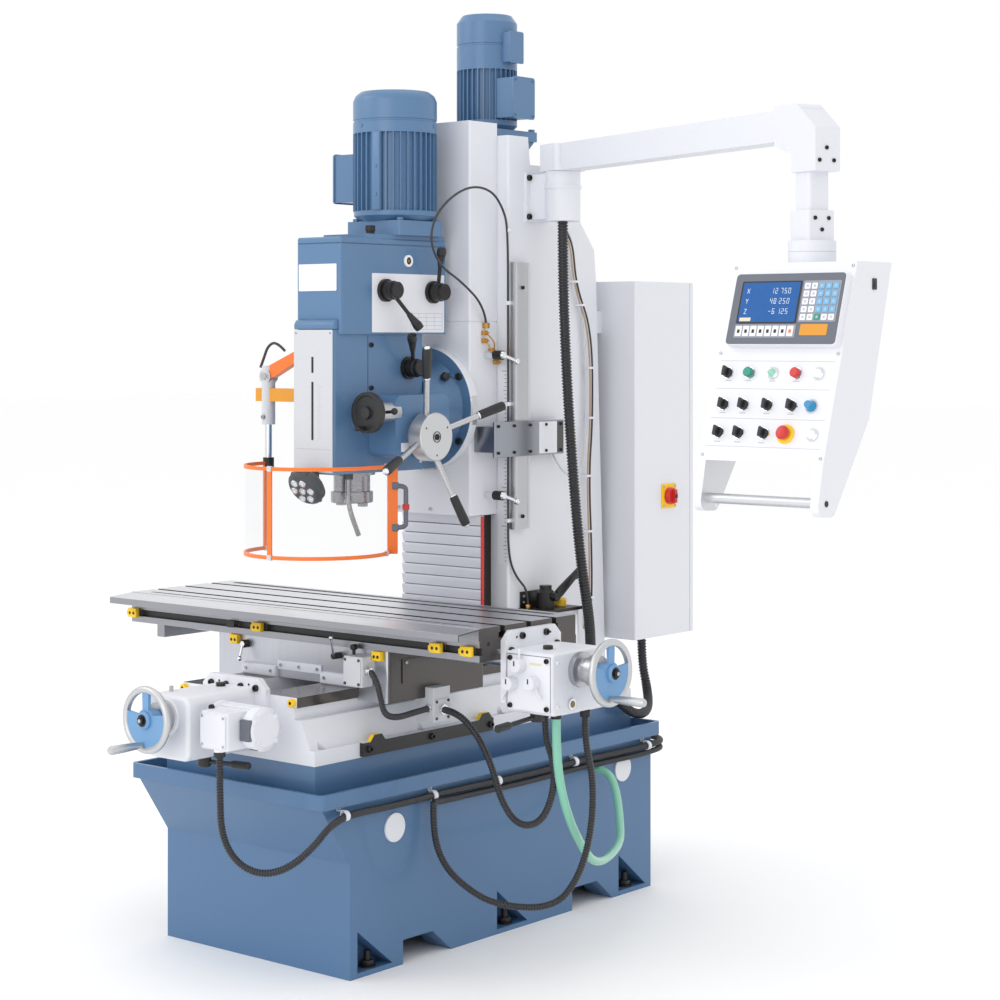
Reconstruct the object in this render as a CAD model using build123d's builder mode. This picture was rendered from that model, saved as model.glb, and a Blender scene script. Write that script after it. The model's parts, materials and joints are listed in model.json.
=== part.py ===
from build123d import *
import math
import os

os.makedirs("parts", exist_ok=True)

# Sizes are in millimetres. The origin is on the floor at the middle of the base.
# X runs along the table to the right, Y from the operator to the column, Z up.

# Fits
SLIDE_GAP = 0.3
SHAFT_GAP = 0.05

# Base casting with its chip tray
BASE_X = 617.0
BASE_Y = 1170.0
BASE_WALL = 74.0
BASE_ROOF = 35.0
FLARE_Z = 265.0
FLANGE_Z = 405.0
FLANGE_T = 35.0
FLANGE_SIDE = 15.0
TRAY_FRONT_REACH = 108.0
TRAY_REAR_REACH = 30.0
TRAY_FLOOR_T = 8.0
TRAY_CORNER = 18.0
RIM_T = 10.0
PEDESTAL_X = 500.0
PEDESTAL_H = 85.0
PEDESTAL_REACH = 55.0
PEDESTAL_INSET = 10.0
FORK_FRONTS = (-404.0, 242.0)
FORK_TOP_W = 104.0
FORK_RUN = 70.0
FORK_H = 57.0
JACK_FRONTS = (-560.0, -59.5, 441.0)
JACK_L = 119.0
JACK_H = 95.0
JACK_FLOOR = 12.0
JACK_DEPTH = 52.0
ANCHOR_R = 11.0
PORT_YZ = ((-435.0, 327.0), (457.0, 334.0))
PORT_R = 34.0
PORT_T = 4.0

# Bed with two ways along Y
FOOT_T = 35.0
BLOCK_H = 65.0
BLOCK_FOOT = 15.0
BLOCK_TOP = 45.0
WALL_X = 370.0
WAY_RISE = 152.0
WAY_T = 24.0
WAY_IN = 75.0
WAY_OUT = 193.0
TROUGH_H = 70.0
FOOT_HOLE_R = 13.0
FOOT_HOLE_INSET = 28.0
RAIL_T = 12.0
RAIL_H = 32.0
RAIL_FRONT = -490.0
RAIL_REAR = -17.0
RAIL_DOGS = (-440.0, -48.0)
DOG_L = 26.0
DOG_H = 15.0

# Y feed drive on the front of the bed
Y_PLATE_X = 212.0
Y_PLATE_H = 187.0
Y_PLATE_T = 15.0
Y_PLATE_CHAMFER = 24.0
Y_BOX_X = 142.0
Y_BOX_L = 210.0
Y_BOX_H = 146.0
Y_BOX_ROUND = 20.0
Y_BOX_DROP = 132.0
Y_AXIS_DROP = 34.0
COLLAR_R = 36.0
COLLAR_L = 30.0
STUB_R = 11.0
STUB_L = 20.0
Y_MOTOR_R = 47.0
Y_MOTOR_L = 148.0
Y_MOTOR_BACK = 107.0
Y_MOTOR_DROP = 20.0
TERMINAL_X = 86.0
TERMINAL_Y = 62.0
TERMINAL_Z = 84.0

# Feed levers under the two gearboxes: hub place from a corner of the box, and reach of the grip with its drop
FEED_LEVER_R = 16.0
FEED_LEVER_H = 23.0
FEED_LEVER_STUB_R = 6.0
FEED_LEVER_STUB_L = 15.0
FEED_LEVER_BAR_R = 5.5
FEED_LEVER_GRIP = (9.0, 48.0)
Y_LEVER_AT = (36.0, 83.0)
Y_LEVER_REACH = (110.0, 39.0, 15.0)
X_LEVER_AT = (50.0, 48.0)
X_LEVER_REACH = (1.0, -147.0, 22.0)

# Handwheels
WHEEL_R = 77.0
WHEEL_RIM = 8.5
WHEEL_WEB = 8.0
WHEEL_HUB_R = 20.0
WHEEL_OUT = 30.0
WHEEL_FACE = 14.0
WINDOW_IN = 25.0
WINDOW_OUT = 62.0
WINDOW_ARCS = ((15.0, 80.0), (100.0, 165.0))
GRIP_R = 9.0
GRIP_L = 78.0

# Feed screws
SCREW_R = 14.0
BEARING_DEPTH = 10.0

# Saddle
SADDLE_X = 580.0
SADDLE_Y = 350.0
SADDLE_MID_Y = -260.0
SADDLE_H = 93.0
SKIRT_H = 30.0
SADDLE_ROUND = 10.0
DOVE_FOOT = 200.0
DOVE_TOP = 226.0
DOVE_H = 24.0
NUT_L = 60.0
NUT_X = 70.0
NUT_DROP = 66.0
CHANNEL_W = 44.0
CHANNEL_H = 42.0
WIPER_T = 8.0
WIPER_H = 27.0
X_SWITCH_X = (188.0, 247.0)
X_SWITCH_Z = (9.0, 80.0)
X_SWITCH_T = 38.0
Y_SWITCH_Y = (-306.0, -246.0)
Y_SWITCH_H = 58.0
Y_SWITCH_T = 27.0
LOCK_X = -183.0
LOCK_DROP = 21.0
LOCK_R = 10.0
LOCK_L = 18.0
LOCK_REACH = (4.0, 30.0, 34.0)

# Table
TABLE_X = 1180.0
TABLE_Y = 354.0
TABLE_H = 77.0
TABLE_MID_X = -15.0
TABLE_MID_Y = -265.0
SLOT_PITCH = 95.0
SLOT_W = 16.0
SLOT_NECK = 14.0
SLOT_HEAD_W = 27.0
SLOT_DEPTH = 27.0
GUTTER_W = 12.0
GUTTER_DEPTH = 8.0
GUTTER_INSET = 30.0
GUTTER_END = 42.0
REAR_GUTTER_W = 24.0
DOG_SLOT_Z = (16.0, 33.0)
DOG_SLOT_DEPTH = 9.0
SPLASH_T = 3.0
SPLASH_REACH = 74.0
SPLASH_FALL = 6.0
SPLASH_LIP = 16.0
SPLASH_STEP = 1.0
SPLASH_HEM = 27.0
BEARING_L = 28.0
BEARING_W = 80.0
DOG_X = (-588.0, -228.0, -130.0, 453.0, 545.0)

# X feed drive on the right end of the table
X_PLATE_Y = 204.0
X_PLATE_T = 15.0
X_PLATE_TOP = 12.0
X_PLATE_CHAMFER = 22.0
X_BOX_X = 132.0
X_BOX_Y = 196.0
X_BOX_Z = (-118.0, 24.0)
X_BOX_ROUND = 14.0
X_AXIS_DROP = 20.0
DIAL_R = 15.5
DIAL_L = 28.0
DIAL_LEVER_Y = 12.0
DIAL_LEVERS = ((3.0, 34.0), (-24.0, -34.0), (22.0, -31.0))
DIAL_XZ = ((-22.0, 40.0), (-46.0, -3.0), (18.0, 3.0))
X_COLLAR_L = 60.0

# Column
COLUMN_X = 340.0
COLUMN_FRONT = 152.0
COLUMN_ROUND = 14.0
COLUMN_TOP = 1993.0
COLUMN_WAY_X = 224.0
COLUMN_WAY_T = 55.0
CREST = ((233.0, 0.0), (241.0, 72.0), (291.0, 72.0), (454.0, 212.0), (516.0, 285.0))
COLUMN_BACK_TOP = (525.0, 369.0)
COLUMN_BACK_FOOT = 570.0
SCALE_Y = (154.0, 216.0)
SCALE_Z = (977.0, 1665.0)
SCALE_T = 20.0

# Head slide with its upper cover
SLIDE_X = 266.0
SLIDE_T = 54.0
SLIDE_FOOT = 1015.0
SLIDE_H = 496.0
COVER_H = 514.0
COVER_SEAM = 2.0
SLIDE_ROUND = 6.0
CLAMP_Z = (52.0, 411.0)
CLAMP_BACK = 45.0
CLAMP_STUB_R = 7.0
CLAMP_STUB_L = 34.0
CLAMP_SLEEVE_R = 10.0
CLAMP_SLEEVE_L = 28.0
CLAMP_HUB_R = 12.0
CLAMP_HUB_L = 62.0
CLAMP_REACH = 40.0
READER_Z = (151.0, 241.0)
READER_Y = (60.0, 345.0)
READER_OUT = 62.0
READER_T = 5.0
BELLOWS_X = 276.0
BELLOWS_T = 12.0
BELLOWS_FOOT = 660.0
BELLOWS_FOLDS = 18

# Swivelling head
SWIVEL_Z = 1289.0
SWIVEL_R = 160.0
SWIVEL_T = 22.0
SPIGOT_R = 60.0
SPIGOT_L = 9.0
NECK_R = 118.0
HEAD_X = 153.0
HEAD_FRONT = -372.0
HEAD_FOOT = 1480.0
HEAD_TOP = 1717.0
LID_T = 17.0
SEAM = 3.0
PAD_FRONT = -278.0
PAD_T = 10.0
NOSE_X = 135.0
NOSE_FRONT = -389.0
NOSE_BACK = -60.0
NOSE_FOOT = 1138.0
RING_R = 58.0
RING_T = 7.0
HEAD_ROUND = 10.0
STOP_SLOT_W = 8.0
STOP_SLOT_DEPTH = 6.0
STOP_SLOT_RISE = (67.0, 202.0)
FEED_OUT = 155.0
FEED_Y = (-262.0, -62.0)
FEED_RISE = 38.0
FEED_H = 154.0
FEED_ROUND = 24.0

# Quill and spindle
SPINDLE_Y = -253.0
QUILL_R = 45.5
QUILL_DROP = 48.0
QUILL_H = 330.0
SPINDLE_R = 25.0
NOSE_R = 52.5
SPINDLE_DROP = 28.0
TAPER_R = 22.2
TAPER_L = 66.0
TAPER_TIP_R = 12.6
KEY_W = 16.0
KEY_H = 9.0

# Capstan
CAPSTAN_Y = -173.0
CAPSTAN_RISE = 89.0
CAPSTAN_R = 60.0
CAPSTAN_L = 46.0
CAPSTAN_FLANGE_R = 46.0
CAPSTAN_FLANGE_T = 10.0
CAPSTAN_ARMS = 4
CAPSTAN_TILT = 18.5
ARM_ROOT_R = 42.0
ARM_TIP_R = 232.0
ARM_LEAN = 55.0
ARM_R = 7.5
KNOB_R = 12.0
KNOB_L = 78.0

# Fine feed wheel
FINE_X = 135.0
FINE_RISE = 151.0
FINE_R = 50.0
FINE_T = 14.0
FINE_COLLAR_R = 24.0
FINE_COLLAR_L = 66.0

# Gear levers: hub place and knob place in Y and Z, and the wall each stands on
LEVERS = {
    "gear_lever_left": ((-215.0, 1588.0), (-152.0, 1503.0), HEAD_X / 2),
    "gear_lever_right": ((-38.0, 1586.0), (-60.0, 1682.0), HEAD_X / 2),
    "range_lever": ((-120.0, 1395.0), (-160.0, 1466.0), NOSE_X / 2),
}
LEVER_HUB_R = 22.0
LEVER_HUB_L = 30.0
LEVER_BAR_R = 5.0
LEVER_KNOB_R = 12.0
LEVER_RISE = 20.0

# Main motor
MOTOR_Y = -94.0
MOTOR_R = 106.5
MOTOR_PLATE = (185.0, 165.0, 37.0)
MOTOR_BELL_H = 26.0
MOTOR_BODY_H = 196.0
MOTOR_COWL_H = 106.0
MOTOR_FINS = 36
MOTOR_FIN_H = 10.0
MOTOR_FIN_T = 3.0
MOTOR_BOX = (86.0, 80.0, 122.0)

# Z motor on the column
Z_MOTOR_Y = 269.0
Z_MOTOR_R = 80.5
Z_MOTOR_FOOT = (190.0, 200.0, 25.0)
Z_MOTOR_NECK_H = 27.0
Z_MOTOR_BODY_H = 134.0
Z_MOTOR_COWL_H = 146.0
Z_MOTOR_FINS = 32

# Electrical cabinet
CABINET_X = 528.0
CABINET_FRONT = 575.0
CABINET_Y = 258.0
CABINET_Z = (655.0, 1623.0)
CABINET_WALL = 3.0
CABINET_RIM = 22.0
DOOR_T = 17.0
DOOR_LOCK_INSET = 250.0
DOOR_LOCK_X = 30.0
DOOR_LOCK_R = 13.0
DOOR_LOCK_T = 6.0
PANEL_GAP = 12.0
HINGE_R = 7.0
HINGE_PIN_R = 3.0
HINGE_H = 30.0
HINGE_OUT = 8.0
HINGE_Z = (120.0, 820.0)
SWITCH_Y = 728.0
SWITCH_Z = 1037.0
SWITCH_PLATE = 66.0
SWITCH_PLATE_T = 4.0
SWITCH_R = 20.0
SWITCH_L = 24.0

# Swing arm
PIVOT = (262.0, 262.0)
PIVOT_R = 46.0
PIVOT_DROP = 93.0
PIVOT_H = 128.0
BRACKET_Y = (215.0, 305.0)
BRACKET_T = 10.0
PIN_R = 20.0
PIN_L = 70.0
ARM_TURN = -21.7
ARM_L = 1075.0
ARM_W = 60.0
ARM_H = 70.0
ARM_HEAD = 92.0
ELBOW_BACK = 95.0
ELBOW_END = 56.0
ELBOW_W = 66.0
ELBOW_DROP = 71.0
ELBOW_SLOPE = 69.0
TUBE_W = 54.0
SLEEVE_W = 70.0
SLEEVE_H = 66.0
SWIVEL_RING_R = 52.0
SWIVEL_RING_H = 24.0

# Pendant
HANGER_R = 18.0
HANGER_L = 60.0
PENDANT_X = 311.0
PENDANT_DROP = 268.0
PENDANT_DEPTH = 142.0
PENDANT_LEAN = 18.0
PANEL_L = 444.0
PENDANT_BACK = (-24.0, 334.0)
PENDANT_TAIL = (-166.0, 533.0)
PENDANT_TOE = (-232.0, 530.0)
PENDANT_ROUND = 22.0
CHEEK_T = 20.0
GRIP_BAR_R = 11.0
GRIP_BAR = (-196.0, 504.0)
READOUT_AT = 12.0
READOUT_X = 276.0
READOUT_DOWN = (31.0, 193.0)
READOUT_T = 22.0
CONTROL_R = 4.0
CONTROL_BORE = 14.0
CONTROL_STEM = 7.0
SELECTOR_R = 11.0
SELECTOR_BASE = 8.0
SELECTOR_L = 12.0
SELECTOR_BAR = 7.0
BUTTON_R = 11.0
BUTTON_L = 9.0
BUTTON_LIFT = 4.5
ESTOP_R = 15.0
ESTOP_L = 16.0
ESTOP_LIFT = 6.5
POT_R = 10.0
POT_L = 18.0
SELECTORS = (
    (-119.0, 249.0),
    (-115.0, 320.0),
    (-64.0, 320.0),
    (-4.0, 320.0),
    (56.0, 320.0),
    (-115.0, 382.0),
    (-64.0, 382.0),
    (-1.0, 382.0),
)
START_AT = (-63.0, 249.0)
STOP_AT = (54.0, 249.0)
POT_AT = (104.0, 320.0)
ESTOP_AT = (53.0, 382.0)

# Chip guard on its post
GUARD_MID = (-30.0, -346.0)
GUARD_R = 177.0
GUARD_START = 177.7
GUARD_ARC = 222.0
GUARD_Z = (943.0, 1156.0)
GUARD_ROD_R = 4.5
GUARD_SHEET = 3.0
POST_R = 9.0
POST_TOP = 1330.0
HOLDER_R = 17.0
HOLDER_Z = (1253.0, 1400.0)
HOLDER_BAR_Z = (1311.0, 1344.0)
HOLDER_BAR_T = 20.0
HOLDER_BAR_OVER = 36.0
GUARD_HANDLE_R = 6.0
GUARD_HANDLE_OUT = 42.0
GUARD_HANDLE_Z = (60.0, 50.0)
GUARD_BAR_W = 26.0
GUARD_BAR_T = 6.0

# Work lamp and coolant nozzle under the head
LAMP_R = 48.0
LAMP_T = 36.0
LAMP_DROP = 28.0
LAMP_OUT = 33.0
LAMP_SIDE = 10.0
LAMP_TILT = 37.0
LAMP_LUG = (20.0, 28.0, 14.0)
NOZZLE_R = 6.0
NOZZLE_ROUTE = ((52.0, -322.0, 0.0), (52.0, -322.0, -78.0), (58.0, -290.0, -153.0))

# Lube pump on the column
PUMP_X = 92.0
PUMP_Y = (196.0, 336.0)
PUMP_Z = (620.0, 762.0)
PUMP_BODY_R = 24.0
PUMP_BODY_L = 58.0
PUMP_BODY_YX = (250.0, 45.0)
PUMP_LEVER_TIP = (362.0, 868.0)
PUMP_LEVER_R = 5.0
PUMP_PIVOT_R = 5.0
PUMP_HUB_R = 11.0
PUMP_HUB_L = 16.0

# Cords: diameters and hand-chosen routes, in order from one end to the other
HOSE_R = 14.0
HOSE_LEAD = 132.0
CONDUIT_R = 8.5
DRAIN_R = 7.0
LUBE_R = 3.0
ARM_HOSE_ROUTE = (
    (268.0, 268.0, 1400.0), (278.0, 280.0, 1150.0), (289.0, 300.0, 900.0), (286.0, 344.0, 740.0),
    (246.0, 402.0, 650.0), (228.0, 428.0, 590.0),
    (228.0, 428.0, 525.0),
)
BASE_CONDUIT_ROUTE = (
    (129.4, -822.0, 526.0), (129.4, -822.0, 440.0), (133.0, -820.0, 345.0), (165.0, -802.0, 285.0),
    (215.0, -773.0, 262.0), (270.0, -742.0, 280.0), (318.0, -712.0, 330.0), (336.0, -680.0, 374.0),
    (330.0, -610.0, 388.0), (322.0, -460.0, 382.0), (322.0, -220.0, 385.0), (323.0, 20.0, 381.0),
    (322.0, 260.0, 385.0), (324.0, 470.0, 382.0), (330.0, 585.0, 386.0), (300.0, 648.0, 384.0),
    (242.0, 668.0, 386.0), (190.0, 660.0, 384.0), (165.0, 630.0, 384.0), (165.0, 585.0, 384.0),
)
TABLE_LOOP_LOW = (
    (335.0, -326.0, 372.0), (336.0, -330.0, 300.0), (358.0, -318.0, 226.0), (406.0, -295.0, 176.0),
    (474.0, -262.0, 137.0), (536.0, -231.0, 137.0),
)
TABLE_LOOP_HIGH = (
    (536.0, -231.0, 137.0), (598.0, -200.0, 137.0), (655.0, -176.0, 215.0), (684.0, -166.0, 330.0),
    (696.0, -176.0, 450.0), (690.0, -200.0, 535.0), (690.0, -200.0, 597.0),
)
SWITCH_LOOP = (
    (317.0, -276.0, 583.0), (366.0, -276.0, 583.0), (420.0, -263.0, 530.0), (462.0, -261.0, 460.0),
    (490.0, -259.0, 378.0), (540.0, -257.0, 331.0), (601.0, -252.0, 346.0), (636.0, -250.0, 415.0),
    (640.0, -251.0, 490.0), (616.0, -255.0, 545.0), (616.0, -255.0, 597.0),
)
DRAIN_HIGH = (
    (660.0, -270.0, 597.0), (660.0, -270.0, 500.0), (648.0, -225.0, 390.0), (622.0, -140.0, 290.0),
    (585.0, -20.0, 200.0), (540.0, 90.0, 200.0),
)
DRAIN_LOW = (
    (540.0, 90.0, 200.0), (495.0, 200.0, 200.0), (440.0, 270.0, 250.0), (392.0, 320.0, 306.0),
    (352.0, 340.0, 350.0), (308.5, 340.0, 350.0),
)
LUBE_ROUTE = (
    (141.0, 98.0, 1508.0), (150.0, 78.7, 1552.0), (172.0, -33.0, 1610.7), (188.0, -135.0, 1648.0),
    (196.0, -181.5, 1705.5), (196.0, -167.0, 1765.0), (192.0, -102.0, 1820.0), (186.0, -11.0, 1854.0),
    (181.0, 73.5, 1845.5), (177.0, 122.0, 1803.0), (174.0, 146.0, 1753.0), (174.0, 146.0, 1500.0),
    (174.5, 146.5, 1260.0), (174.0, 146.0, 1030.0), (174.5, 147.0, 905.0), (182.0, 172.0, 850.0),
    (192.0, 206.0, 818.0), (192.0, 206.0, 770.0),
)


def block(x, y, z, mode=Mode.ADD):
    """Adds a box between pairs of limits."""
    with Locations((sum(x) / 2, sum(y) / 2, sum(z) / 2)):
        Box(x[1] - x[0], y[1] - y[0], z[1] - z[0], mode=mode)


def rod(start, axis, radius, length, mode=Mode.ADD):
    """Adds a round bar that leaves a point along an axis."""
    with BuildSketch(Plane(origin=start, z_dir=axis)) as section:
        Circle(radius)
    extrude(section.sketch, amount=length, mode=mode)


def slab(plane, points, amount, both=False, mode=Mode.ADD):
    """Extrudes a closed outline drawn on a plane."""
    with BuildSketch(plane) as outline:
        with BuildLine():
            Polyline(*points, close=True)
        make_face()
    extrude(outline.sketch, amount=amount, both=both, mode=mode)


def radial_plane(start, axis):
    """Plane through an axis: its x is the radius and its y runs along the axis."""
    along = Vector(*axis).normalized()
    out = Vector(1, 0, 0) if abs(along.Z) > 0.9 else Vector(0, 0, 1)
    out = (out - along * out.dot(along)).normalized()
    return Plane(origin=start, x_dir=out, z_dir=out.cross(along))


def turned(start, axis, profile, mode=Mode.ADD):
    """Revolves a profile of (radius, distance along the axis) points."""
    with BuildSketch(radial_plane(start, axis)) as outline:
        with BuildLine():
            Polyline(*profile, close=True)
        make_face()
    revolve(outline.sketch, axis=Axis(start, axis), mode=mode)


def ball(centre, radius):
    """Adds a ball."""
    with Locations(centre):
        Sphere(radius)


def bar(start, end, radius):
    """Adds a round bar between two points."""
    along = Vector(*end) - Vector(*start)
    rod(start, (along.X, along.Y, along.Z), radius, along.length)


def finned(middle, foot, core_r, fin_h, fin_t, count, height):
    """Adds a motor body with fins along its upright axis."""
    with BuildSketch(Plane((middle[0], middle[1], foot))) as section:
        Circle(core_r)
        with PolarLocations(core_r, count):
            Rectangle(2 * fin_h, fin_t)
    extrude(section.sketch, amount=height)


def sweep_tube(route, radius):
    """Sweeps a round tube along straight runs joined by the widest arcs that fit."""
    points = [Vector(*p) for p in route]
    radii = []
    for before, here, after in zip(points, points[1:], points[2:]):
        turn = math.radians((here - before).get_angle(after - here))
        run = min((here - before).length, (after - here).length)
        radii.append(0.45 * run / math.tan(turn / 2))
    with BuildLine() as path:
        FilletPolyline(*points, radius=radii)
    start = points[0]
    along = points[1] - points[0]
    with BuildSketch(Plane(origin=start, z_dir=along)) as section:
        Circle(radius)
    sweep(section.sketch, path=path.wire())
    length = path.wire().length
    print("tube length", round(length), "radii", [round(r) for r in radii])
    return length


def feed_lever(hub, under, reach):
    """Builds a lever that turns on an upright stub below a gearbox."""
    seat = (*hub, under - SLIDE_GAP)
    turned(seat, (0, 0, -1), [(0, 0), (FEED_LEVER_R, 0), (FEED_LEVER_R, FEED_LEVER_H - 3),
                              (FEED_LEVER_R - 3, FEED_LEVER_H), (0, FEED_LEVER_H)])
    rod(seat, (0, 0, -1), FEED_LEVER_STUB_R + SHAFT_GAP, FEED_LEVER_STUB_L, mode=Mode.SUBTRACT)
    end = Vector(hub[0] + reach[0], hub[1] + reach[1], under - reach[2])
    root = Vector(*hub, under - FEED_LEVER_H / 2)
    along = (end - root).normalized()
    root = root + along * (FEED_LEVER_R - 4)
    grip = end - along * FEED_LEVER_GRIP[1]
    bar((root.X, root.Y, root.Z), (grip.X, grip.Y, grip.Z), FEED_LEVER_BAR_R)
    turned((grip.X, grip.Y, grip.Z), (along.X, along.Y, along.Z),
           [(0, -2), (FEED_LEVER_BAR_R + 1, -2), (FEED_LEVER_GRIP[0], 6),
            (FEED_LEVER_GRIP[0], FEED_LEVER_GRIP[1] - 4), (FEED_LEVER_GRIP[0] - 3, FEED_LEVER_GRIP[1]),
            (0, FEED_LEVER_GRIP[1])])


def handwheel(hub, axis):
    """Builds a handwheel with its hub face at a point and its axis pointing outwards."""
    out = Vector(*axis)
    middle = Vector(*hub) + out * WHEEL_OUT
    place = (middle.X, middle.Y, middle.Z)
    up = Vector(0, 0, 1)
    face = Plane(origin=place, x_dir=up.cross(out), z_dir=out)
    with BuildSketch(radial_plane(place, axis)) as rim:
        with Locations((WHEEL_R - WHEEL_RIM, 0)):
            Circle(WHEEL_RIM)
    revolve(rim.sketch, axis=Axis(place, axis))
    with BuildSketch(face) as web:
        Circle(WHEEL_R - WHEEL_RIM)
    extrude(web.sketch, amount=WHEEL_WEB / 2, both=True)
    for low, high in WINDOW_ARCS:
        with BuildSketch(face) as window:
            with BuildLine():
                outer = CenterArc((0, 0), WINDOW_OUT, low, high - low)
                inner = CenterArc((0, 0), WINDOW_IN, low + 12, high - low - 24)
                Line(outer @ 0, inner @ 0)
                Line(outer @ 1, inner @ 1)
            make_face()
        extrude(window.sketch, amount=WHEEL_WEB, both=True, mode=Mode.SUBTRACT)
    turned(hub, axis, [(0, 0), (WHEEL_HUB_R, 0), (WHEEL_HUB_R, WHEEL_OUT + WHEEL_FACE - 4),
                       (WHEEL_HUB_R - 4, WHEEL_OUT + WHEEL_FACE), (0, WHEEL_OUT + WHEEL_FACE)])
    rod(hub, axis, STUB_R + SHAFT_GAP, STUB_L + SLIDE_GAP, mode=Mode.SUBTRACT)
    seat = middle - up * (WHEEL_R - 2.4 * WHEEL_RIM) - face.x_dir * WHEEL_RIM
    turned((seat.X, seat.Y, seat.Z), axis, [(0, 0), (GRIP_R * 0.6, 0), (GRIP_R * 0.75, 14),
                                            (GRIP_R, GRIP_L * 0.6), (GRIP_R, GRIP_L - 5),
                                            (GRIP_R * 0.6, GRIP_L), (0, GRIP_L)])


# Places worked out from the sizes above
tray_front = -BASE_Y / 2 - TRAY_FRONT_REACH
tray_rear = BASE_Y / 2 + TRAY_REAR_REACH
tray_mid = (tray_front + tray_rear) / 2
bed_front = -BASE_Y / 2 - PEDESTAL_REACH
bed_rear = BASE_Y / 2 - PEDESTAL_INSET
bed_z = FLANGE_Z + PEDESTAL_H
foot_z = bed_z + FOOT_T
way_z = bed_z + WAY_RISE
saddle_front = SADDLE_MID_Y - SADDLE_Y / 2
saddle_rear = SADDLE_MID_Y + SADDLE_Y / 2
saddle_low = way_z + SLIDE_GAP
saddle_z = saddle_low + SADDLE_H
table_low = saddle_z + SLIDE_GAP
table_z = table_low + TABLE_H
table_left = TABLE_MID_X - TABLE_X / 2
table_right = TABLE_MID_X + TABLE_X / 2
table_front = TABLE_MID_Y - TABLE_Y / 2
table_rear = TABLE_MID_Y + TABLE_Y / 2
x_axis_z = table_low - X_AXIS_DROP
y_axis_z = way_z - Y_AXIS_DROP
y_plate_face = bed_front - Y_PLATE_T
y_box_face = y_plate_face - Y_BOX_L
y_collar_face = y_box_face - COLLAR_L
x_box_left = table_right + X_PLATE_T
x_box_face = x_box_left + X_BOX_X
x_box_front = TABLE_MID_Y - X_BOX_Y / 2
y_lever = (Y_LEVER_AT[0], y_box_face + Y_LEVER_AT[1])
x_lever = (x_box_left + X_LEVER_AT[0], x_box_front + X_LEVER_AT[1])
x_collar_face = x_box_face + X_COLLAR_L
way_front = COLUMN_FRONT - COLUMN_WAY_T
slide_back = way_front - SLIDE_GAP
slide_front = slide_back - SLIDE_T
slide_top = SLIDE_FOOT + SLIDE_H
swivel_back = slide_front - SLIDE_GAP
swivel_front = swivel_back - SWIVEL_T
feed_flange = FEED_OUT + CAPSTAN_FLANGE_T
feed_mid_z = NOSE_FOOT + FEED_RISE + FEED_H / 2
capstan_z = NOSE_FOOT + CAPSTAN_RISE
fine_z = NOSE_FOOT + FINE_RISE
quill_foot = NOSE_FOOT - QUILL_DROP
quill_top = quill_foot + QUILL_H
spindle_foot = quill_foot - SPINDLE_DROP
lamp_mid = (LAMP_SIDE, NOSE_FRONT - LAMP_OUT, NOSE_FOOT - LAMP_DROP)
nozzle_route = [(x, y, NOSE_FOOT + rise) for x, y, rise in NOZZLE_ROUTE]
fine_seat = FEED_Y[0] - FINE_COLLAR_L
pad_z = HEAD_TOP + PAD_T
crest = [(y, COLUMN_TOP - drop) for y, drop in (*CREST, COLUMN_BACK_TOP)]
pivot_top = COLUMN_TOP - PIVOT_DROP
pivot_low = pivot_top - PIVOT_H
arm_foot = pivot_top + SLIDE_GAP
elbow_foot = pivot_top - ELBOW_DROP
pendant_z = pivot_top - PENDANT_DROP
tube_foot = pendant_z + SWIVEL_RING_H + SLIDE_GAP
arm_turn = math.radians(ARM_TURN)
hanger = (PIVOT[0] + ARM_L * math.cos(arm_turn), PIVOT[1] + ARM_L * math.sin(arm_turn))
pendant_front = -PENDANT_DEPTH / 2
lean = math.radians(PENDANT_LEAN)
panel_end = (pendant_front - PANEL_L * math.sin(lean), pendant_z - PANEL_L * math.cos(lean))
panel_out = Vector(0, -math.cos(lean), math.sin(lean))
pendant_rear = [(y, pendant_z - drop) for y, drop in (PENDANT_BACK, PENDANT_TAIL, PENDANT_TOE)]
post = (
    GUARD_MID[0] + GUARD_R * math.cos(math.radians(GUARD_START)),
    GUARD_MID[1] + GUARD_R * math.sin(math.radians(GUARD_START)),
)
door_front = CABINET_FRONT + CABINET_Y + SLIDE_GAP
door_back = door_front + DOOR_T
hinge_x = -CABINET_X / 2 - HINGE_OUT
hinge_y = door_front + DOOR_T / 2


def panel_plane(place):
    """Plane on the pendant's sloping panel at (across, down), facing the operator."""
    across, down = place
    origin = (
        hanger[0] + across,
        hanger[1] + pendant_front - down * math.sin(lean),
        pendant_z - down * math.cos(lean),
    )
    return Plane(origin=origin, x_dir=(1, 0, 0), z_dir=panel_out)


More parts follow.
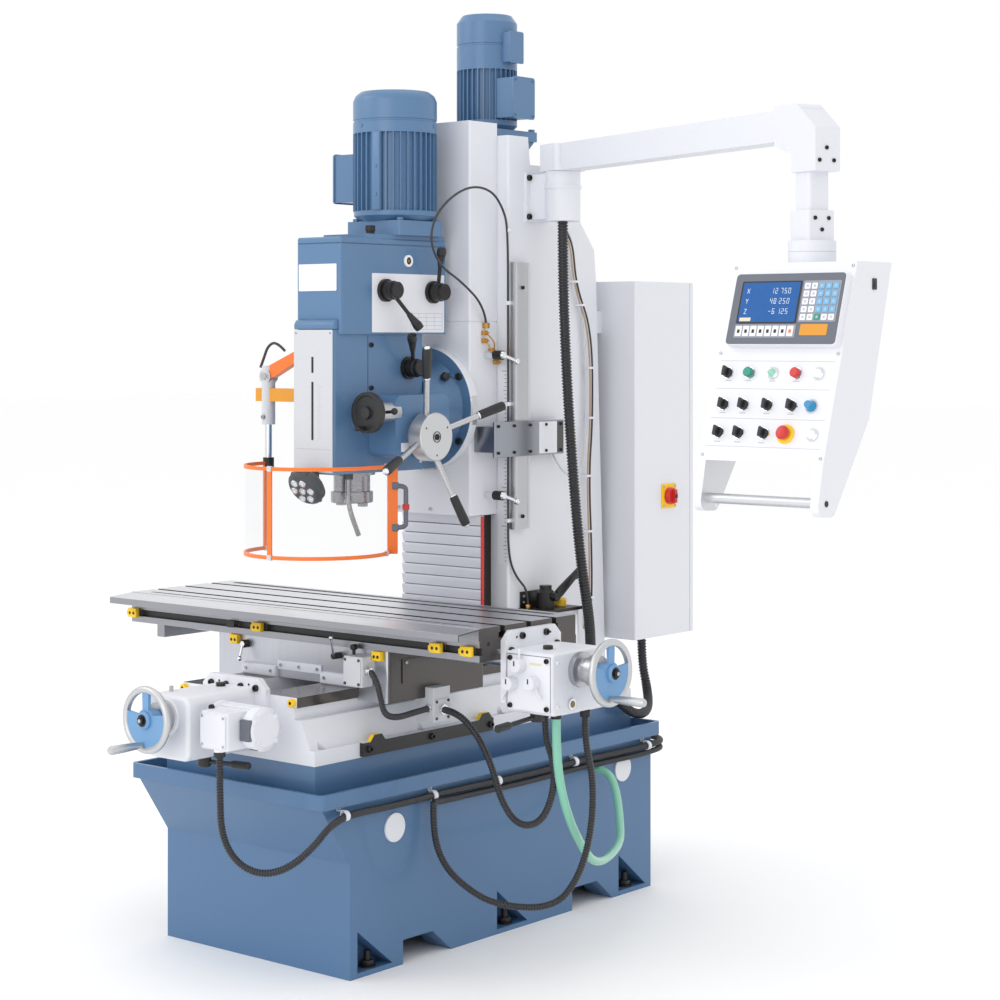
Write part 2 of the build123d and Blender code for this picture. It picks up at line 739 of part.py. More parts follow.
# Base
with BuildPart() as base:
    slab(
        Plane.YZ,
        [
            (-BASE_Y / 2, 0),
            (BASE_Y / 2, 0),
            (BASE_Y / 2, FLANGE_Z),
            (tray_front + FLANGE_SIDE, FLANGE_Z),
            (-BASE_Y / 2, FLARE_Z),
        ],
        BASE_X / 2,
        both=True,
    )
    with BuildSketch(Plane.XY.offset(FLANGE_Z)):
        with Locations((0, tray_mid)):
            RectangleRounded(BASE_X + 2 * FLANGE_SIDE, tray_rear - tray_front, TRAY_CORNER)
    extrude(amount=FLANGE_T)
    with BuildSketch(Plane.XY.offset(FLANGE_Z + TRAY_FLOOR_T)):
        with Locations((0, tray_mid)):
            RectangleRounded(
                BASE_X + 2 * FLANGE_SIDE - 2 * RIM_T, tray_rear - tray_front - 2 * RIM_T, TRAY_CORNER - RIM_T
            )
    extrude(amount=FLANGE_T, mode=Mode.SUBTRACT)
    with BuildSketch(Plane.XY.offset(FLANGE_Z)):
        with Locations((0, (bed_front + bed_rear) / 2)):
            Rectangle(PEDESTAL_X, bed_rear - bed_front)
    extrude(amount=PEDESTAL_H)
    with BuildSketch(Plane.XY):
        Rectangle(BASE_X - 2 * BASE_WALL, BASE_Y - 2 * BASE_WALL)
    extrude(amount=FLANGE_Z - BASE_ROOF, mode=Mode.SUBTRACT)
    for front in FORK_FRONTS:
        slab(
            Plane.YZ,
            [(front, 0), (front, FORK_H), (front + FORK_TOP_W, FORK_H), (front + FORK_TOP_W + FORK_RUN, 0)],
            BASE_X / 2,
            both=True,
            mode=Mode.SUBTRACT,
        )
    for side in (-1, 1):
        for front in JACK_FRONTS:
            slab(
                Plane.YZ.offset(side * (BASE_X / 2 - JACK_DEPTH)),
                [(front, JACK_FLOOR), (front, JACK_FLOOR + JACK_H), (front + JACK_L, JACK_FLOOR)],
                side * JACK_DEPTH,
                mode=Mode.SUBTRACT,
            )
            hole = (side * (BASE_X - JACK_DEPTH) / 2, front + JACK_L / 2, 0)
            rod(hole, (0, 0, 1), ANCHOR_R, JACK_FLOOR, mode=Mode.SUBTRACT)
    for y, z in PORT_YZ:
        rod((BASE_X / 2, y, z), (1, 0, 0), PORT_R, PORT_T)
base.part.label = "base"
export_step(base.part, "parts/base.step")

# Bed
half_bed = [
    (PEDESTAL_X / 2, bed_z),
    (PEDESTAL_X / 2, foot_z),
    (PEDESTAL_X / 2 - BLOCK_FOOT, foot_z),
    (PEDESTAL_X / 2 - BLOCK_TOP, foot_z + BLOCK_H),
    (WALL_X / 2, foot_z + BLOCK_H),
    (WALL_X / 2, way_z - WAY_T),
    (WAY_OUT, way_z - WAY_T),
    (WAY_OUT, way_z),
    (WAY_IN, way_z),
    (WAY_IN, way_z - TROUGH_H),
]
with BuildPart() as bed:
    slab(
        Plane.XZ.offset(-COLUMN_FRONT),
        half_bed + [(-x, z) for x, z in reversed(half_bed)],
        COLUMN_FRONT - bed_front,
    )
    for side in (-1, 1):
        for y in (bed_front + FOOT_HOLE_INSET + 10, SADDLE_MID_Y, COLUMN_FRONT - 4 * FOOT_HOLE_INSET):
            place = (side * (PEDESTAL_X / 2 - FOOT_HOLE_R), y, foot_z - FOOT_T / 2)
            rod(place, (0, 0, 1), FOOT_HOLE_R * 0.8, FOOT_T, mode=Mode.SUBTRACT)
    rail_low = foot_z - RAIL_H
    block((PEDESTAL_X / 2, PEDESTAL_X / 2 + RAIL_T), (RAIL_FRONT, RAIL_REAR), (rail_low, foot_z))
    for y in RAIL_DOGS:
        slab(
            Plane.YZ.offset(PEDESTAL_X / 2),
            [(y - DOG_L, foot_z), (y + DOG_L, foot_z),
             (y + DOG_L / 2, foot_z + DOG_H), (y - DOG_L / 2, foot_z + DOG_H)],
            RAIL_T,
        )
bed.part.label = "bed"
export_step(bed.part, "parts/bed.step")

# Column
with BuildPart() as column:
    slab(
        Plane.YZ,
        [(COLUMN_FRONT, bed_z), (COLUMN_FRONT, COLUMN_TOP), *crest, (COLUMN_BACK_FOOT, bed_z)],
        COLUMN_X / 2,
        both=True,
    )
    fillet(column.edges().filter_by(Axis.Z).group_by(Axis.Y)[0], COLUMN_ROUND / 2)
    block((-PEDESTAL_X / 2, PEDESTAL_X / 2), (COLUMN_FRONT, bed_rear), (bed_z, foot_z))
    block((-COLUMN_WAY_X / 2, COLUMN_WAY_X / 2), (way_front, COLUMN_FRONT), (way_z, COLUMN_TOP))
    block((COLUMN_X / 2, COLUMN_X / 2 + SCALE_T), SCALE_Y, SCALE_Z)
    rod((0, COLUMN_FRONT, y_axis_z), (0, 1, 0), SCREW_R + SHAFT_GAP, BEARING_DEPTH + SLIDE_GAP,
        mode=Mode.SUBTRACT)

# Y feed gearbox
with BuildPart() as y_gearbox:
    low = way_z - Y_BOX_DROP
    half = Y_PLATE_X / 2
    top = low + Y_PLATE_H - 20
    slab(
        Plane.XZ.offset(-bed_front),
        [(-half, low + 20), (half, low + 20), (half, top - Y_PLATE_CHAMFER), (half - Y_PLATE_CHAMFER, top),
         (-half + Y_PLATE_CHAMFER, top), (-half, top - Y_PLATE_CHAMFER)],
        Y_PLATE_T,
    )
    with BuildSketch(Plane.XZ.offset(-y_plate_face)):
        with Locations((0, low + Y_BOX_H / 2)):
            RectangleRounded(Y_BOX_X, Y_BOX_H, Y_BOX_ROUND)
    extrude(amount=Y_BOX_L)
    fillet(y_gearbox.edges().group_by(Axis.Y)[0], Y_BOX_ROUND / 2)
    turned((0, y_box_face, y_axis_z), (0, -1, 0),
           [(0, 0), (COLLAR_R + 6, 0), (COLLAR_R, 8), (COLLAR_R, COLLAR_L), (0, COLLAR_L)])
    rod((0, y_collar_face, y_axis_z), (0, -1, 0), STUB_R, STUB_L)
    rod((0, bed_front, y_axis_z), (0, -1, 0), SCREW_R + SHAFT_GAP, BEARING_DEPTH + SLIDE_GAP,
        mode=Mode.SUBTRACT)
    rod((*y_lever, low + 1), (0, 0, -1), FEED_LEVER_STUB_R, FEED_LEVER_STUB_L)
y_gearbox.part.label = "y_gearbox"
export_step(y_gearbox.part, "parts/y_gearbox.step")

with BuildPart() as y_feed_lever:
    feed_lever(y_lever, way_z - Y_BOX_DROP, Y_LEVER_REACH)
y_feed_lever.part.label = "y_feed_lever"
export_step(y_feed_lever.part, "parts/y_feed_lever.step")

# Y motor on the right side of its gearbox
with BuildPart() as y_motor:
    middle = (Y_BOX_X / 2, y_plate_face - Y_MOTOR_BACK, y_axis_z - Y_MOTOR_DROP)
    turned(middle, (1, 0, 0), [(0, 0), (Y_MOTOR_R + 6, 0), (Y_MOTOR_R + 6, 10), (Y_MOTOR_R, 14),
                               (Y_MOTOR_R, Y_MOTOR_L - 34), (Y_MOTOR_R + 3, Y_MOTOR_L - 32),
                               (Y_MOTOR_R + 3, Y_MOTOR_L - 8), (Y_MOTOR_R - 10, Y_MOTOR_L), (0, Y_MOTOR_L)])
    box_x = middle[0] + 24
    block((box_x, box_x + TERMINAL_X), (middle[1] - Y_MOTOR_R - TERMINAL_Y + 22, middle[1] - Y_MOTOR_R + 22),
          (middle[2] - TERMINAL_Z / 2, middle[2] + TERMINAL_Z / 2))
    fillet(y_motor.edges().filter_by(Axis.Z).group_by(Axis.Y)[0], 8)
    gland = (box_x + TERMINAL_X * 0.4, middle[1] - Y_MOTOR_R - TERMINAL_Y / 2 + 18,
             middle[2] - TERMINAL_Z / 2)
    rod(gland, (0, 0, -1), CONDUIT_R + 5, 20)
y_motor.part.label = "y_motor"
export_step(y_motor.part, "parts/y_motor.step")

# Handwheels
with BuildPart() as y_handwheel:
    handwheel((0, y_collar_face - SLIDE_GAP, y_axis_z), (0, -1, 0))
y_handwheel.part.label = "y_handwheel"
export_step(y_handwheel.part, "parts/y_handwheel.step")

with BuildPart() as x_handwheel:
    handwheel((x_collar_face + SLIDE_GAP, TABLE_MID_Y, x_axis_z), (1, 0, 0))
x_handwheel.part.label = "x_handwheel"
export_step(x_handwheel.part, "parts/x_handwheel.step")

# Feed screws
with BuildPart() as y_screw:
    start = bed_front - BEARING_DEPTH
    rod((0, start, y_axis_z), (0, 1, 0), SCREW_R, COLUMN_FRONT - bed_front + 2 * BEARING_DEPTH)
y_screw.part.label = "y_screw"
export_step(y_screw.part, "parts/y_screw.step")

with BuildPart() as x_screw:
    start = table_left + BEARING_L / 2
    rod((start, TABLE_MID_Y, x_axis_z), (1, 0, 0), SCREW_R, table_right + BEARING_DEPTH - start)
x_screw.part.label = "x_screw"
export_step(x_screw.part, "parts/x_screw.step")

# Saddle
with BuildPart() as saddle:
    half = SADDLE_X / 2
    inner = WAY_OUT + SLIDE_GAP
    slab(
        Plane.XZ.offset(-saddle_rear),
        [(-half, saddle_low - SKIRT_H), (-inner, saddle_low - SKIRT_H), (-inner, saddle_low),
         (inner, saddle_low), (inner, saddle_low - SKIRT_H), (half, saddle_low - SKIRT_H),
         (half, saddle_z), (-half, saddle_z)],
        SADDLE_Y,
    )
    fillet(saddle.edges().filter_by(Axis.Z).group_by(Axis.X)[0], SADDLE_ROUND)
    fillet(saddle.edges().filter_by(Axis.Z).group_by(Axis.X)[-1], SADDLE_ROUND)
    slab(
        Plane.YZ,
        [(TABLE_MID_Y - DOVE_FOOT / 2, saddle_z), (TABLE_MID_Y + DOVE_FOOT / 2, saddle_z),
         (TABLE_MID_Y + DOVE_TOP / 2, saddle_z + DOVE_H), (TABLE_MID_Y - DOVE_TOP / 2, saddle_z + DOVE_H)],
        half,
        both=True,
    )
    for side in (-1, 1):
        low, high = sorted((side * NUT_L / 2, side * half))
        block((low, high), (TABLE_MID_Y - CHANNEL_W / 2, TABLE_MID_Y + CHANNEL_W / 2),
              (saddle_z - CHANNEL_H, saddle_z), mode=Mode.SUBTRACT)
    rod((-half, TABLE_MID_Y, x_axis_z), (1, 0, 0), SCREW_R + SHAFT_GAP, SADDLE_X, mode=Mode.SUBTRACT)
    nut_y = (SADDLE_MID_Y - NUT_L / 2, SADDLE_MID_Y + NUT_L / 2)
    block((-NUT_X / 2, NUT_X / 2), nut_y, (saddle_low - NUT_DROP, saddle_low))
    rod((0, SADDLE_MID_Y - NUT_L / 2, y_axis_z), (0, 1, 0), SCREW_R + SHAFT_GAP, NUT_L, mode=Mode.SUBTRACT)
    for side in (-1, 1):
        low, high = sorted((side * (WAY_IN + SLIDE_GAP), side * inner))
        block((low, high), (saddle_front - WIPER_T, saddle_front), (saddle_low, saddle_low + WIPER_H))
    rod((LOCK_X, saddle_front, saddle_z - LOCK_DROP), (0, -1, 0), 6, 12)
saddle.part.label = "saddle"
export_step(saddle.part, "parts/saddle.step")

with BuildPart() as limit_switches:
    switch_back = saddle_front - WIPER_T
    switch_z = [saddle_low + z for z in X_SWITCH_Z]
    block(X_SWITCH_X, (switch_back - X_SWITCH_T, switch_back), switch_z)
    fillet(limit_switches.edges().filter_by(Axis.Z).group_by(Axis.Y)[0], 5)
    block(X_SWITCH_X, (saddle_front - WIPER_T, saddle_front),
          (saddle_low + WIPER_H, saddle_low + X_SWITCH_Z[1]))
    roller = (X_SWITCH_X[0] + 10, saddle_front - 20, saddle_low + X_SWITCH_Z[1])
    rod(roller, (0, 0, 1), 4, 18)
    rod((roller[0], roller[1] + 7, roller[2] + 18), (0, -1, 0), 7, 14)
    skirt = saddle_low - SKIRT_H
    block((SADDLE_X / 2, SADDLE_X / 2 + Y_SWITCH_T), Y_SWITCH_Y, (skirt, skirt + 25))
    block((SADDLE_X / 2 - 30, SADDLE_X / 2 + Y_SWITCH_T), Y_SWITCH_Y, (skirt - Y_SWITCH_H, skirt))
    plunger = (PEDESTAL_X / 2 + 14, sum(Y_SWITCH_Y) / 2, skirt - Y_SWITCH_H / 2)
    rod((SADDLE_X / 2 - 30, plunger[1], plunger[2]), (-1, 0, 0), 6, 8)
limit_switches.part.label = "limit_switches"
export_step(limit_switches.part, "parts/limit_switches.step")

with BuildPart() as saddle_lock:
    seat = saddle_front - SLIDE_GAP
    lock_z = saddle_z - LOCK_DROP
    turned((LOCK_X, seat, lock_z), (0, -1, 0),
           [(0, 0), (LOCK_R, 0), (LOCK_R, LOCK_L - 4), (LOCK_R - 3, LOCK_L), (0, LOCK_L)])
    rod((LOCK_X, seat, lock_z), (0, -1, 0), 6 + SHAFT_GAP, 12, mode=Mode.SUBTRACT)
    tip = (LOCK_X + LOCK_REACH[0], seat - LOCK_REACH[1], lock_z - LOCK_REACH[2])
    bar((LOCK_X, seat - LOCK_L + 1.5, lock_z - 4), tip, 3.2)
    ball(tip, 6.5)
saddle_lock.part.label = "saddle_lock"
export_step(saddle_lock.part, "parts/saddle_lock.step")

# Table
with BuildPart() as table:
    block((table_left, table_right), (table_front, table_rear), (table_low, table_z))
    for k in (-1, 0, 1):
        y = TABLE_MID_Y + k * SLOT_PITCH
        block((table_left, table_right), (y - SLOT_W / 2, y + SLOT_W / 2), (table_z - SLOT_NECK, table_z),
              mode=Mode.SUBTRACT)
        block((table_left, table_right), (y - SLOT_HEAD_W / 2, y + SLOT_HEAD_W / 2),
              (table_z - SLOT_DEPTH, table_z - SLOT_NECK), mode=Mode.SUBTRACT)
    for y, width in ((table_front + GUTTER_INSET, GUTTER_W), (table_rear - GUTTER_INSET, REAR_GUTTER_W)):
        with BuildSketch(Plane.XY.offset(table_z - GUTTER_DEPTH)):
            with Locations((TABLE_MID_X, y)):
                SlotOverall(TABLE_X - 2 * GUTTER_END, width)
        extrude(amount=GUTTER_DEPTH, mode=Mode.SUBTRACT)
    block((table_left, table_right), (table_front, table_front + DOG_SLOT_DEPTH),
          (table_low + DOG_SLOT_Z[0], table_low + DOG_SLOT_Z[1]), mode=Mode.SUBTRACT)
    gap = SLIDE_GAP
    slab(
        Plane.YZ.offset(TABLE_MID_X),
        [(TABLE_MID_Y - DOVE_FOOT / 2 - gap, table_low), (TABLE_MID_Y + DOVE_FOOT / 2 + gap, table_low),
         (TABLE_MID_Y + DOVE_TOP / 2 + 2 * gap, saddle_z + DOVE_H + gap),
         (TABLE_MID_Y - DOVE_TOP / 2 - 2 * gap, saddle_z + DOVE_H + gap)],
        TABLE_X / 2,
        both=True,
        mode=Mode.SUBTRACT,
    )
    bearing_low = x_axis_z - BEARING_W / 2 + 12
    dove_half = DOVE_FOOT / 2
    block((table_left, table_left + BEARING_L), (TABLE_MID_Y - dove_half + 10, TABLE_MID_Y + dove_half - 10),
          (bearing_low, saddle_z + DOVE_H + gap))
    rod((table_left, TABLE_MID_Y, x_axis_z), (1, 0, 0), SCREW_R + SHAFT_GAP, BEARING_L, mode=Mode.SUBTRACT)
    for x in DOG_X:
        block((x - 12, x + 12), (table_front - 10, table_front + DOG_SLOT_DEPTH),
              (table_low + DOG_SLOT_Z[0], table_low + DOG_SLOT_Z[1]))
    edge = table_front - SPLASH_REACH
    sheet_z = table_z - SPLASH_STEP
    slab(
        Plane.YZ.offset(table_left),
        [(table_front, sheet_z), (edge, sheet_z - SPLASH_FALL), (edge, sheet_z - SPLASH_FALL - SPLASH_LIP),
         (edge + SPLASH_T, sheet_z - SPLASH_FALL - SPLASH_LIP),
         (edge + SPLASH_T, sheet_z - SPLASH_FALL - SPLASH_T), (table_front - SPLASH_T, sheet_z - SPLASH_T),
         (table_front - SPLASH_T, sheet_z - SPLASH_HEM), (table_front, sheet_z - SPLASH_HEM)],
        TABLE_X,
    )
table.part.label = "table"
export_step(table.part, "parts/table.step")

# X feed gearbox on the table's right end
with BuildPart() as x_gearbox:
    half = X_PLATE_Y / 2
    low = table_low + X_BOX_Z[0]
    top = table_z - X_PLATE_TOP
    slab(
        Plane.YZ.offset(table_right),
        [(TABLE_MID_Y - half, low + 20), (TABLE_MID_Y + half, low + 20),
         (TABLE_MID_Y + half, top - X_PLATE_CHAMFER), (TABLE_MID_Y + half - X_PLATE_CHAMFER, top),
         (TABLE_MID_Y - half + X_PLATE_CHAMFER, top), (TABLE_MID_Y - half, top - X_PLATE_CHAMFER)],
        X_PLATE_T,
    )
    with BuildSketch(Plane.YZ.offset(x_box_left)):
        with Locations((TABLE_MID_Y, table_low + sum(X_BOX_Z) / 2)):
            RectangleRounded(X_BOX_Y, X_BOX_Z[1] - X_BOX_Z[0], X_BOX_ROUND)
    extrude(amount=X_BOX_X)
    fillet(x_gearbox.edges().group_by(Axis.X)[-1], X_BOX_ROUND / 2)
    turned((x_box_face, TABLE_MID_Y, x_axis_z), (1, 0, 0),
           [(0, 0), (COLLAR_R + 4, 0), (COLLAR_R + 4, 14), (COLLAR_R - 8, 18),
            (COLLAR_R - 8, X_COLLAR_L - 24), (COLLAR_R, X_COLLAR_L - 22), (COLLAR_R, X_COLLAR_L),
            (0, X_COLLAR_L)])
    rod((x_collar_face, TABLE_MID_Y, x_axis_z), (1, 0, 0), STUB_R, STUB_L)
    rod((table_right, TABLE_MID_Y, x_axis_z), (1, 0, 0), SCREW_R + SHAFT_GAP, BEARING_DEPTH + SLIDE_GAP,
        mode=Mode.SUBTRACT)
    rod((*x_lever, low + 1), (0, 0, -1), FEED_LEVER_STUB_R, FEED_LEVER_STUB_L)
    for x, z in DIAL_XZ:
        middle = (x_box_left + X_BOX_X / 2 + x, x_box_front, table_low + sum(X_BOX_Z) / 2 + z)
        rod(middle, (0, 1, 0), CONTROL_R + SHAFT_GAP, CONTROL_BORE, mode=Mode.SUBTRACT)
    for route in (TABLE_LOOP_HIGH, SWITCH_LOOP, DRAIN_HIGH):
        end = route[-1] if route[-1][2] > route[0][2] else route[0]
        rod(end, (0, 0, 1), CONDUIT_R + 4, low + 4 - end[2])
x_gearbox.part.label = "x_gearbox"
export_step(x_gearbox.part, "parts/x_gearbox.step")

with BuildPart() as x_feed_lever:
    feed_lever(x_lever, table_low + X_BOX_Z[0], X_LEVER_REACH)
x_feed_lever.part.label = "x_feed_lever"
export_step(x_feed_lever.part, "parts/x_feed_lever.step")

for k, ((x, z), (lever_x, lever_z)) in enumerate(zip(DIAL_XZ, DIAL_LEVERS)):
    middle = (x_box_left + X_BOX_X / 2 + x, x_box_front - SLIDE_GAP, table_low + sum(X_BOX_Z) / 2 + z)
    with BuildPart() as dial:
        turned(middle, (0, -1, 0),
               [(0, 0), (DIAL_R, 0), (DIAL_R, DIAL_L - 2), (DIAL_R - 2, DIAL_L), (0, DIAL_L)])
        block((middle[0] - 1.5, middle[0] + 1.5), (middle[1] - DIAL_L - 1, middle[1] - DIAL_L + 2),
              (middle[2], middle[2] + DIAL_R - 4))
        tip = (middle[0] + lever_x, middle[1] - DIAL_LEVER_Y, middle[2] + lever_z)
        bar((middle[0] + lever_x * 0.3, middle[1] - DIAL_LEVER_Y, middle[2] + lever_z * 0.3), tip, 3)
        ball(tip, 4.5)
        rod(middle, (0, 1, 0), CONTROL_R, CONTROL_STEM)
    dial.part.label = f"feed_dial_{k + 1}"
    export_step(dial.part, f"parts/feed_dial_{k + 1}.step")

# Head slide, its upper cover and the bellows under it
with BuildPart() as head_slide:
    half = SLIDE_X / 2
    inner = COLUMN_WAY_X / 2 + SLIDE_GAP
    cheek = COLUMN_FRONT - SLIDE_GAP
    slide_section = [(-half, slide_front), (half, slide_front), (half, cheek), (inner, cheek),
                     (inner, slide_back), (-inner, slide_back), (-inner, cheek), (-half, cheek)]
    slab(Plane.XY.offset(SLIDE_FOOT), slide_section, SLIDE_H + COVER_H)
    fillet(head_slide.edges().filter_by(Axis.Z).group_by(Axis.Y)[0], SLIDE_ROUND)
    with BuildSketch(Plane.XY.offset(slide_top)):
        with Locations((0, (slide_front + cheek) / 2)):
            Rectangle(SLIDE_X, cheek - slide_front)
            offset(amount=-COVER_SEAM, mode=Mode.SUBTRACT)
    extrude(amount=COVER_SEAM, mode=Mode.SUBTRACT)
    rod((0, slide_front, SWIVEL_Z), (0, 1, 0), SPIGOT_R + SHAFT_GAP, SPIGOT_L + SLIDE_GAP, mode=Mode.SUBTRACT)
    for z in CLAMP_Z:
        rod((half, cheek - CLAMP_BACK, SLIDE_FOOT + z), (1, 0, 0), CLAMP_STUB_R, CLAMP_STUB_L)
head_slide.part.label = "head_slide"
export_step(head_slide.part, "parts/head_slide.step")

with BuildPart() as reader_bracket:
    wall = SLIDE_X / 2
    low, high = SLIDE_FOOT + READER_Z[0], SLIDE_FOOT + READER_Z[1]
    block((wall, wall + READER_OUT), (READER_Y[0], COLUMN_FRONT - 24), (low + 12, high - 12))
    block((wall + READER_OUT, wall + READER_OUT + READER_T), READER_Y, (low, high))
    block((COLUMN_X / 2 + 2, wall + READER_OUT), (SCALE_Y[1] + 40, SCALE_Y[1] + 90), (low + 8, high - 8))
reader_bracket.part.label = "reader_bracket"
export_step(reader_bracket.part, "parts/reader_bracket.step")

for name, z in zip(("clamp_lower", "clamp_upper"), CLAMP_Z):
    with BuildPart() as clamp:
        seat = (SLIDE_X / 2 + SLIDE_GAP, COLUMN_FRONT - SLIDE_GAP - CLAMP_BACK, SLIDE_FOOT + z)
        turned(seat, (1, 0, 0), [(0, 0), (CLAMP_SLEEVE_R, 0), (CLAMP_SLEEVE_R, CLAMP_SLEEVE_L),
                                 (CLAMP_HUB_R, CLAMP_SLEEVE_L + 1), (CLAMP_HUB_R, CLAMP_HUB_L - 6),
                                 (CLAMP_HUB_R - 4, CLAMP_HUB_L), (0, CLAMP_HUB_L)])
        rod(seat, (1, 0, 0), CLAMP_STUB_R + SHAFT_GAP, CLAMP_STUB_L, mode=Mode.SUBTRACT)
        tip = (seat[0] + CLAMP_HUB_L + 8, seat[1] + CLAMP_REACH, seat[2] - 16)
        bar((seat[0] + CLAMP_HUB_L - 7, seat[1] + 4, seat[2]), tip, 4.5)
        ball(tip, 9)
    clamp.part.label = name
    export_step(clamp.part, f"parts/{name}.step")

with BuildPart() as bellows:
    pitch = (SLIDE_FOOT - SLIDE_GAP - BELLOWS_FOOT) / BELLOWS_FOLDS
    back = way_front - SLIDE_GAP
    points = [(back, BELLOWS_FOOT)]
    for k in range(BELLOWS_FOLDS):
        points.append((back - BELLOWS_T * 0.45, BELLOWS_FOOT + k * pitch))
        points.append((back - BELLOWS_T, BELLOWS_FOOT + (k + 0.3) * pitch))
        points.append((back - BELLOWS_T, BELLOWS_FOOT + (k + 0.75) * pitch))
    points.append((back - BELLOWS_T * 0.45, BELLOWS_FOOT + BELLOWS_FOLDS * pitch))
    points.append((back, BELLOWS_FOOT + BELLOWS_FOLDS * pitch))
    slab(Plane.YZ, points, BELLOWS_X / 2, both=True)
bellows.part.label = "bellows"
export_step(bellows.part, "parts/bellows.step")

# Head
with BuildPart() as head:
    half = HEAD_X / 2
    block((-half, half), (HEAD_FRONT, swivel_front), (HEAD_FOOT, HEAD_TOP))
    fillet(head.edges().filter_by(Axis.Z), HEAD_ROUND)
    fillet(head.edges().group_by(Axis.Z)[-1], HEAD_ROUND / 2)
    with BuildSketch(Plane.XY.offset(HEAD_TOP - LID_T)):
        with Locations((0, (HEAD_FRONT + swivel_front) / 2)):
            Rectangle(HEAD_X, swivel_front - HEAD_FRONT)
            offset(amount=-SEAM, mode=Mode.SUBTRACT)
    extrude(amount=SEAM, mode=Mode.SUBTRACT)
    block((-half + SEAM, half - SEAM), (PAD_FRONT, swivel_front - HEAD_ROUND), (HEAD_TOP - SEAM, pad_z))
    with BuildSketch(Plane.XY.offset(NOSE_FOOT)):
        with Locations((0, (NOSE_FRONT + NOSE_BACK) / 2)):
            RectangleRounded(NOSE_X, NOSE_BACK - NOSE_FRONT, HEAD_ROUND)
    extrude(amount=HEAD_FOOT + HEAD_ROUND - NOSE_FOOT)
    turned((0, swivel_back, SWIVEL_Z), (0, -1, 0),
           [(0, -SPIGOT_L), (SPIGOT_R, -SPIGOT_L), (SPIGOT_R, 0), (SWIVEL_R, 0), (SWIVEL_R, SWIVEL_T - 4),
            (SWIVEL_R - 4, SWIVEL_T), (NECK_R + 10, SWIVEL_T), (NECK_R, SWIVEL_T + 14),
            (NECK_R - 22, swivel_back - NOSE_BACK), (0, swivel_back - NOSE_BACK)])
    with BuildSketch(Plane.YZ.offset(NOSE_X / 2 - HEAD_ROUND)):
        with Locations((sum(FEED_Y) / 2, feed_mid_z)):
            RectangleRounded(FEED_Y[1] - FEED_Y[0], FEED_H, FEED_ROUND)
    extrude(amount=FEED_OUT - NOSE_X / 2 + HEAD_ROUND)
    rod((0, SPINDLE_Y, NOSE_FOOT), (0, 0, -1), RING_R, RING_T)
    bore_low = NOSE_FOOT - RING_T
    bore_l = quill_top + SLIDE_GAP - bore_low
    rod((0, SPINDLE_Y, bore_low), (0, 0, 1), QUILL_R + SHAFT_GAP, bore_l, mode=Mode.SUBTRACT)
    slot_z = [NOSE_FOOT + rise for rise in STOP_SLOT_RISE]
    slot_y = (NOSE_FRONT, NOSE_FRONT + STOP_SLOT_DEPTH)
    block((-STOP_SLOT_W / 2, STOP_SLOT_W / 2), slot_y, slot_z, mode=Mode.SUBTRACT)
    rod((FEED_OUT, CAPSTAN_Y, capstan_z), (1, 0, 0), CAPSTAN_FLANGE_R, CAPSTAN_FLANGE_T)
    rod((feed_flange, CAPSTAN_Y, capstan_z), (1, 0, 0), STUB_R, STUB_L)
    turned((FINE_X, FEED_Y[0], fine_z), (0, -1, 0),
           [(0, -20), (FINE_COLLAR_R, -20), (FINE_COLLAR_R, FINE_COLLAR_L - 22),
            (FINE_COLLAR_R + 5, FINE_COLLAR_L - 20), (FINE_COLLAR_R + 5, FINE_COLLAR_L), (0, FINE_COLLAR_L)])
    rod((FINE_X, fine_seat, fine_z), (0, -1, 0), STUB_R / 2, FINE_T)
    for hub, knob, wall in LEVERS.values():
        rod((wall, hub[0], hub[1]), (1, 0, 0), STUB_R / 2, LEVER_HUB_L / 2)
    sweep_tube(nozzle_route, NOZZLE_R)
head.part.label = "head"
export_step(head.part, "parts/head.step")

# Gear levers
for name, (hub, knob, wall) in LEVERS.items():
    with BuildPart() as lever:
        seat = (wall + SLIDE_GAP, hub[0], hub[1])
        turned(seat, (1, 0, 0), [(0, 0), (LEVER_HUB_R + 4, 0), (LEVER_HUB_R, 6),
                                 (LEVER_HUB_R, LEVER_HUB_L - 4), (LEVER_HUB_R - 4, LEVER_HUB_L),
                                 (0, LEVER_HUB_L)])
        tip = (seat[0] + LEVER_HUB_L + LEVER_RISE, knob[0], knob[1])
        bar((seat[0] + LEVER_HUB_L * 0.6, hub[0], hub[1]), tip, LEVER_BAR_R)
        ball(tip, LEVER_KNOB_R)
        rod(seat, (1, 0, 0), STUB_R / 2 + SHAFT_GAP, LEVER_HUB_L / 2, mode=Mode.SUBTRACT)
    lever.part.label = name
    export_step(lever.part, f"parts/{name}.step")

# Quill and spindle
with BuildPart() as quill:
    rod((0, SPINDLE_Y, quill_foot), (0, 0, 1), QUILL_R, QUILL_H)
    rod((0, SPINDLE_Y, quill_foot), (0, 0, 1), SPINDLE_R + SHAFT_GAP, QUILL_H, mode=Mode.SUBTRACT)
quill.part.label = "quill"
export_step(quill.part, "parts/quill.step")

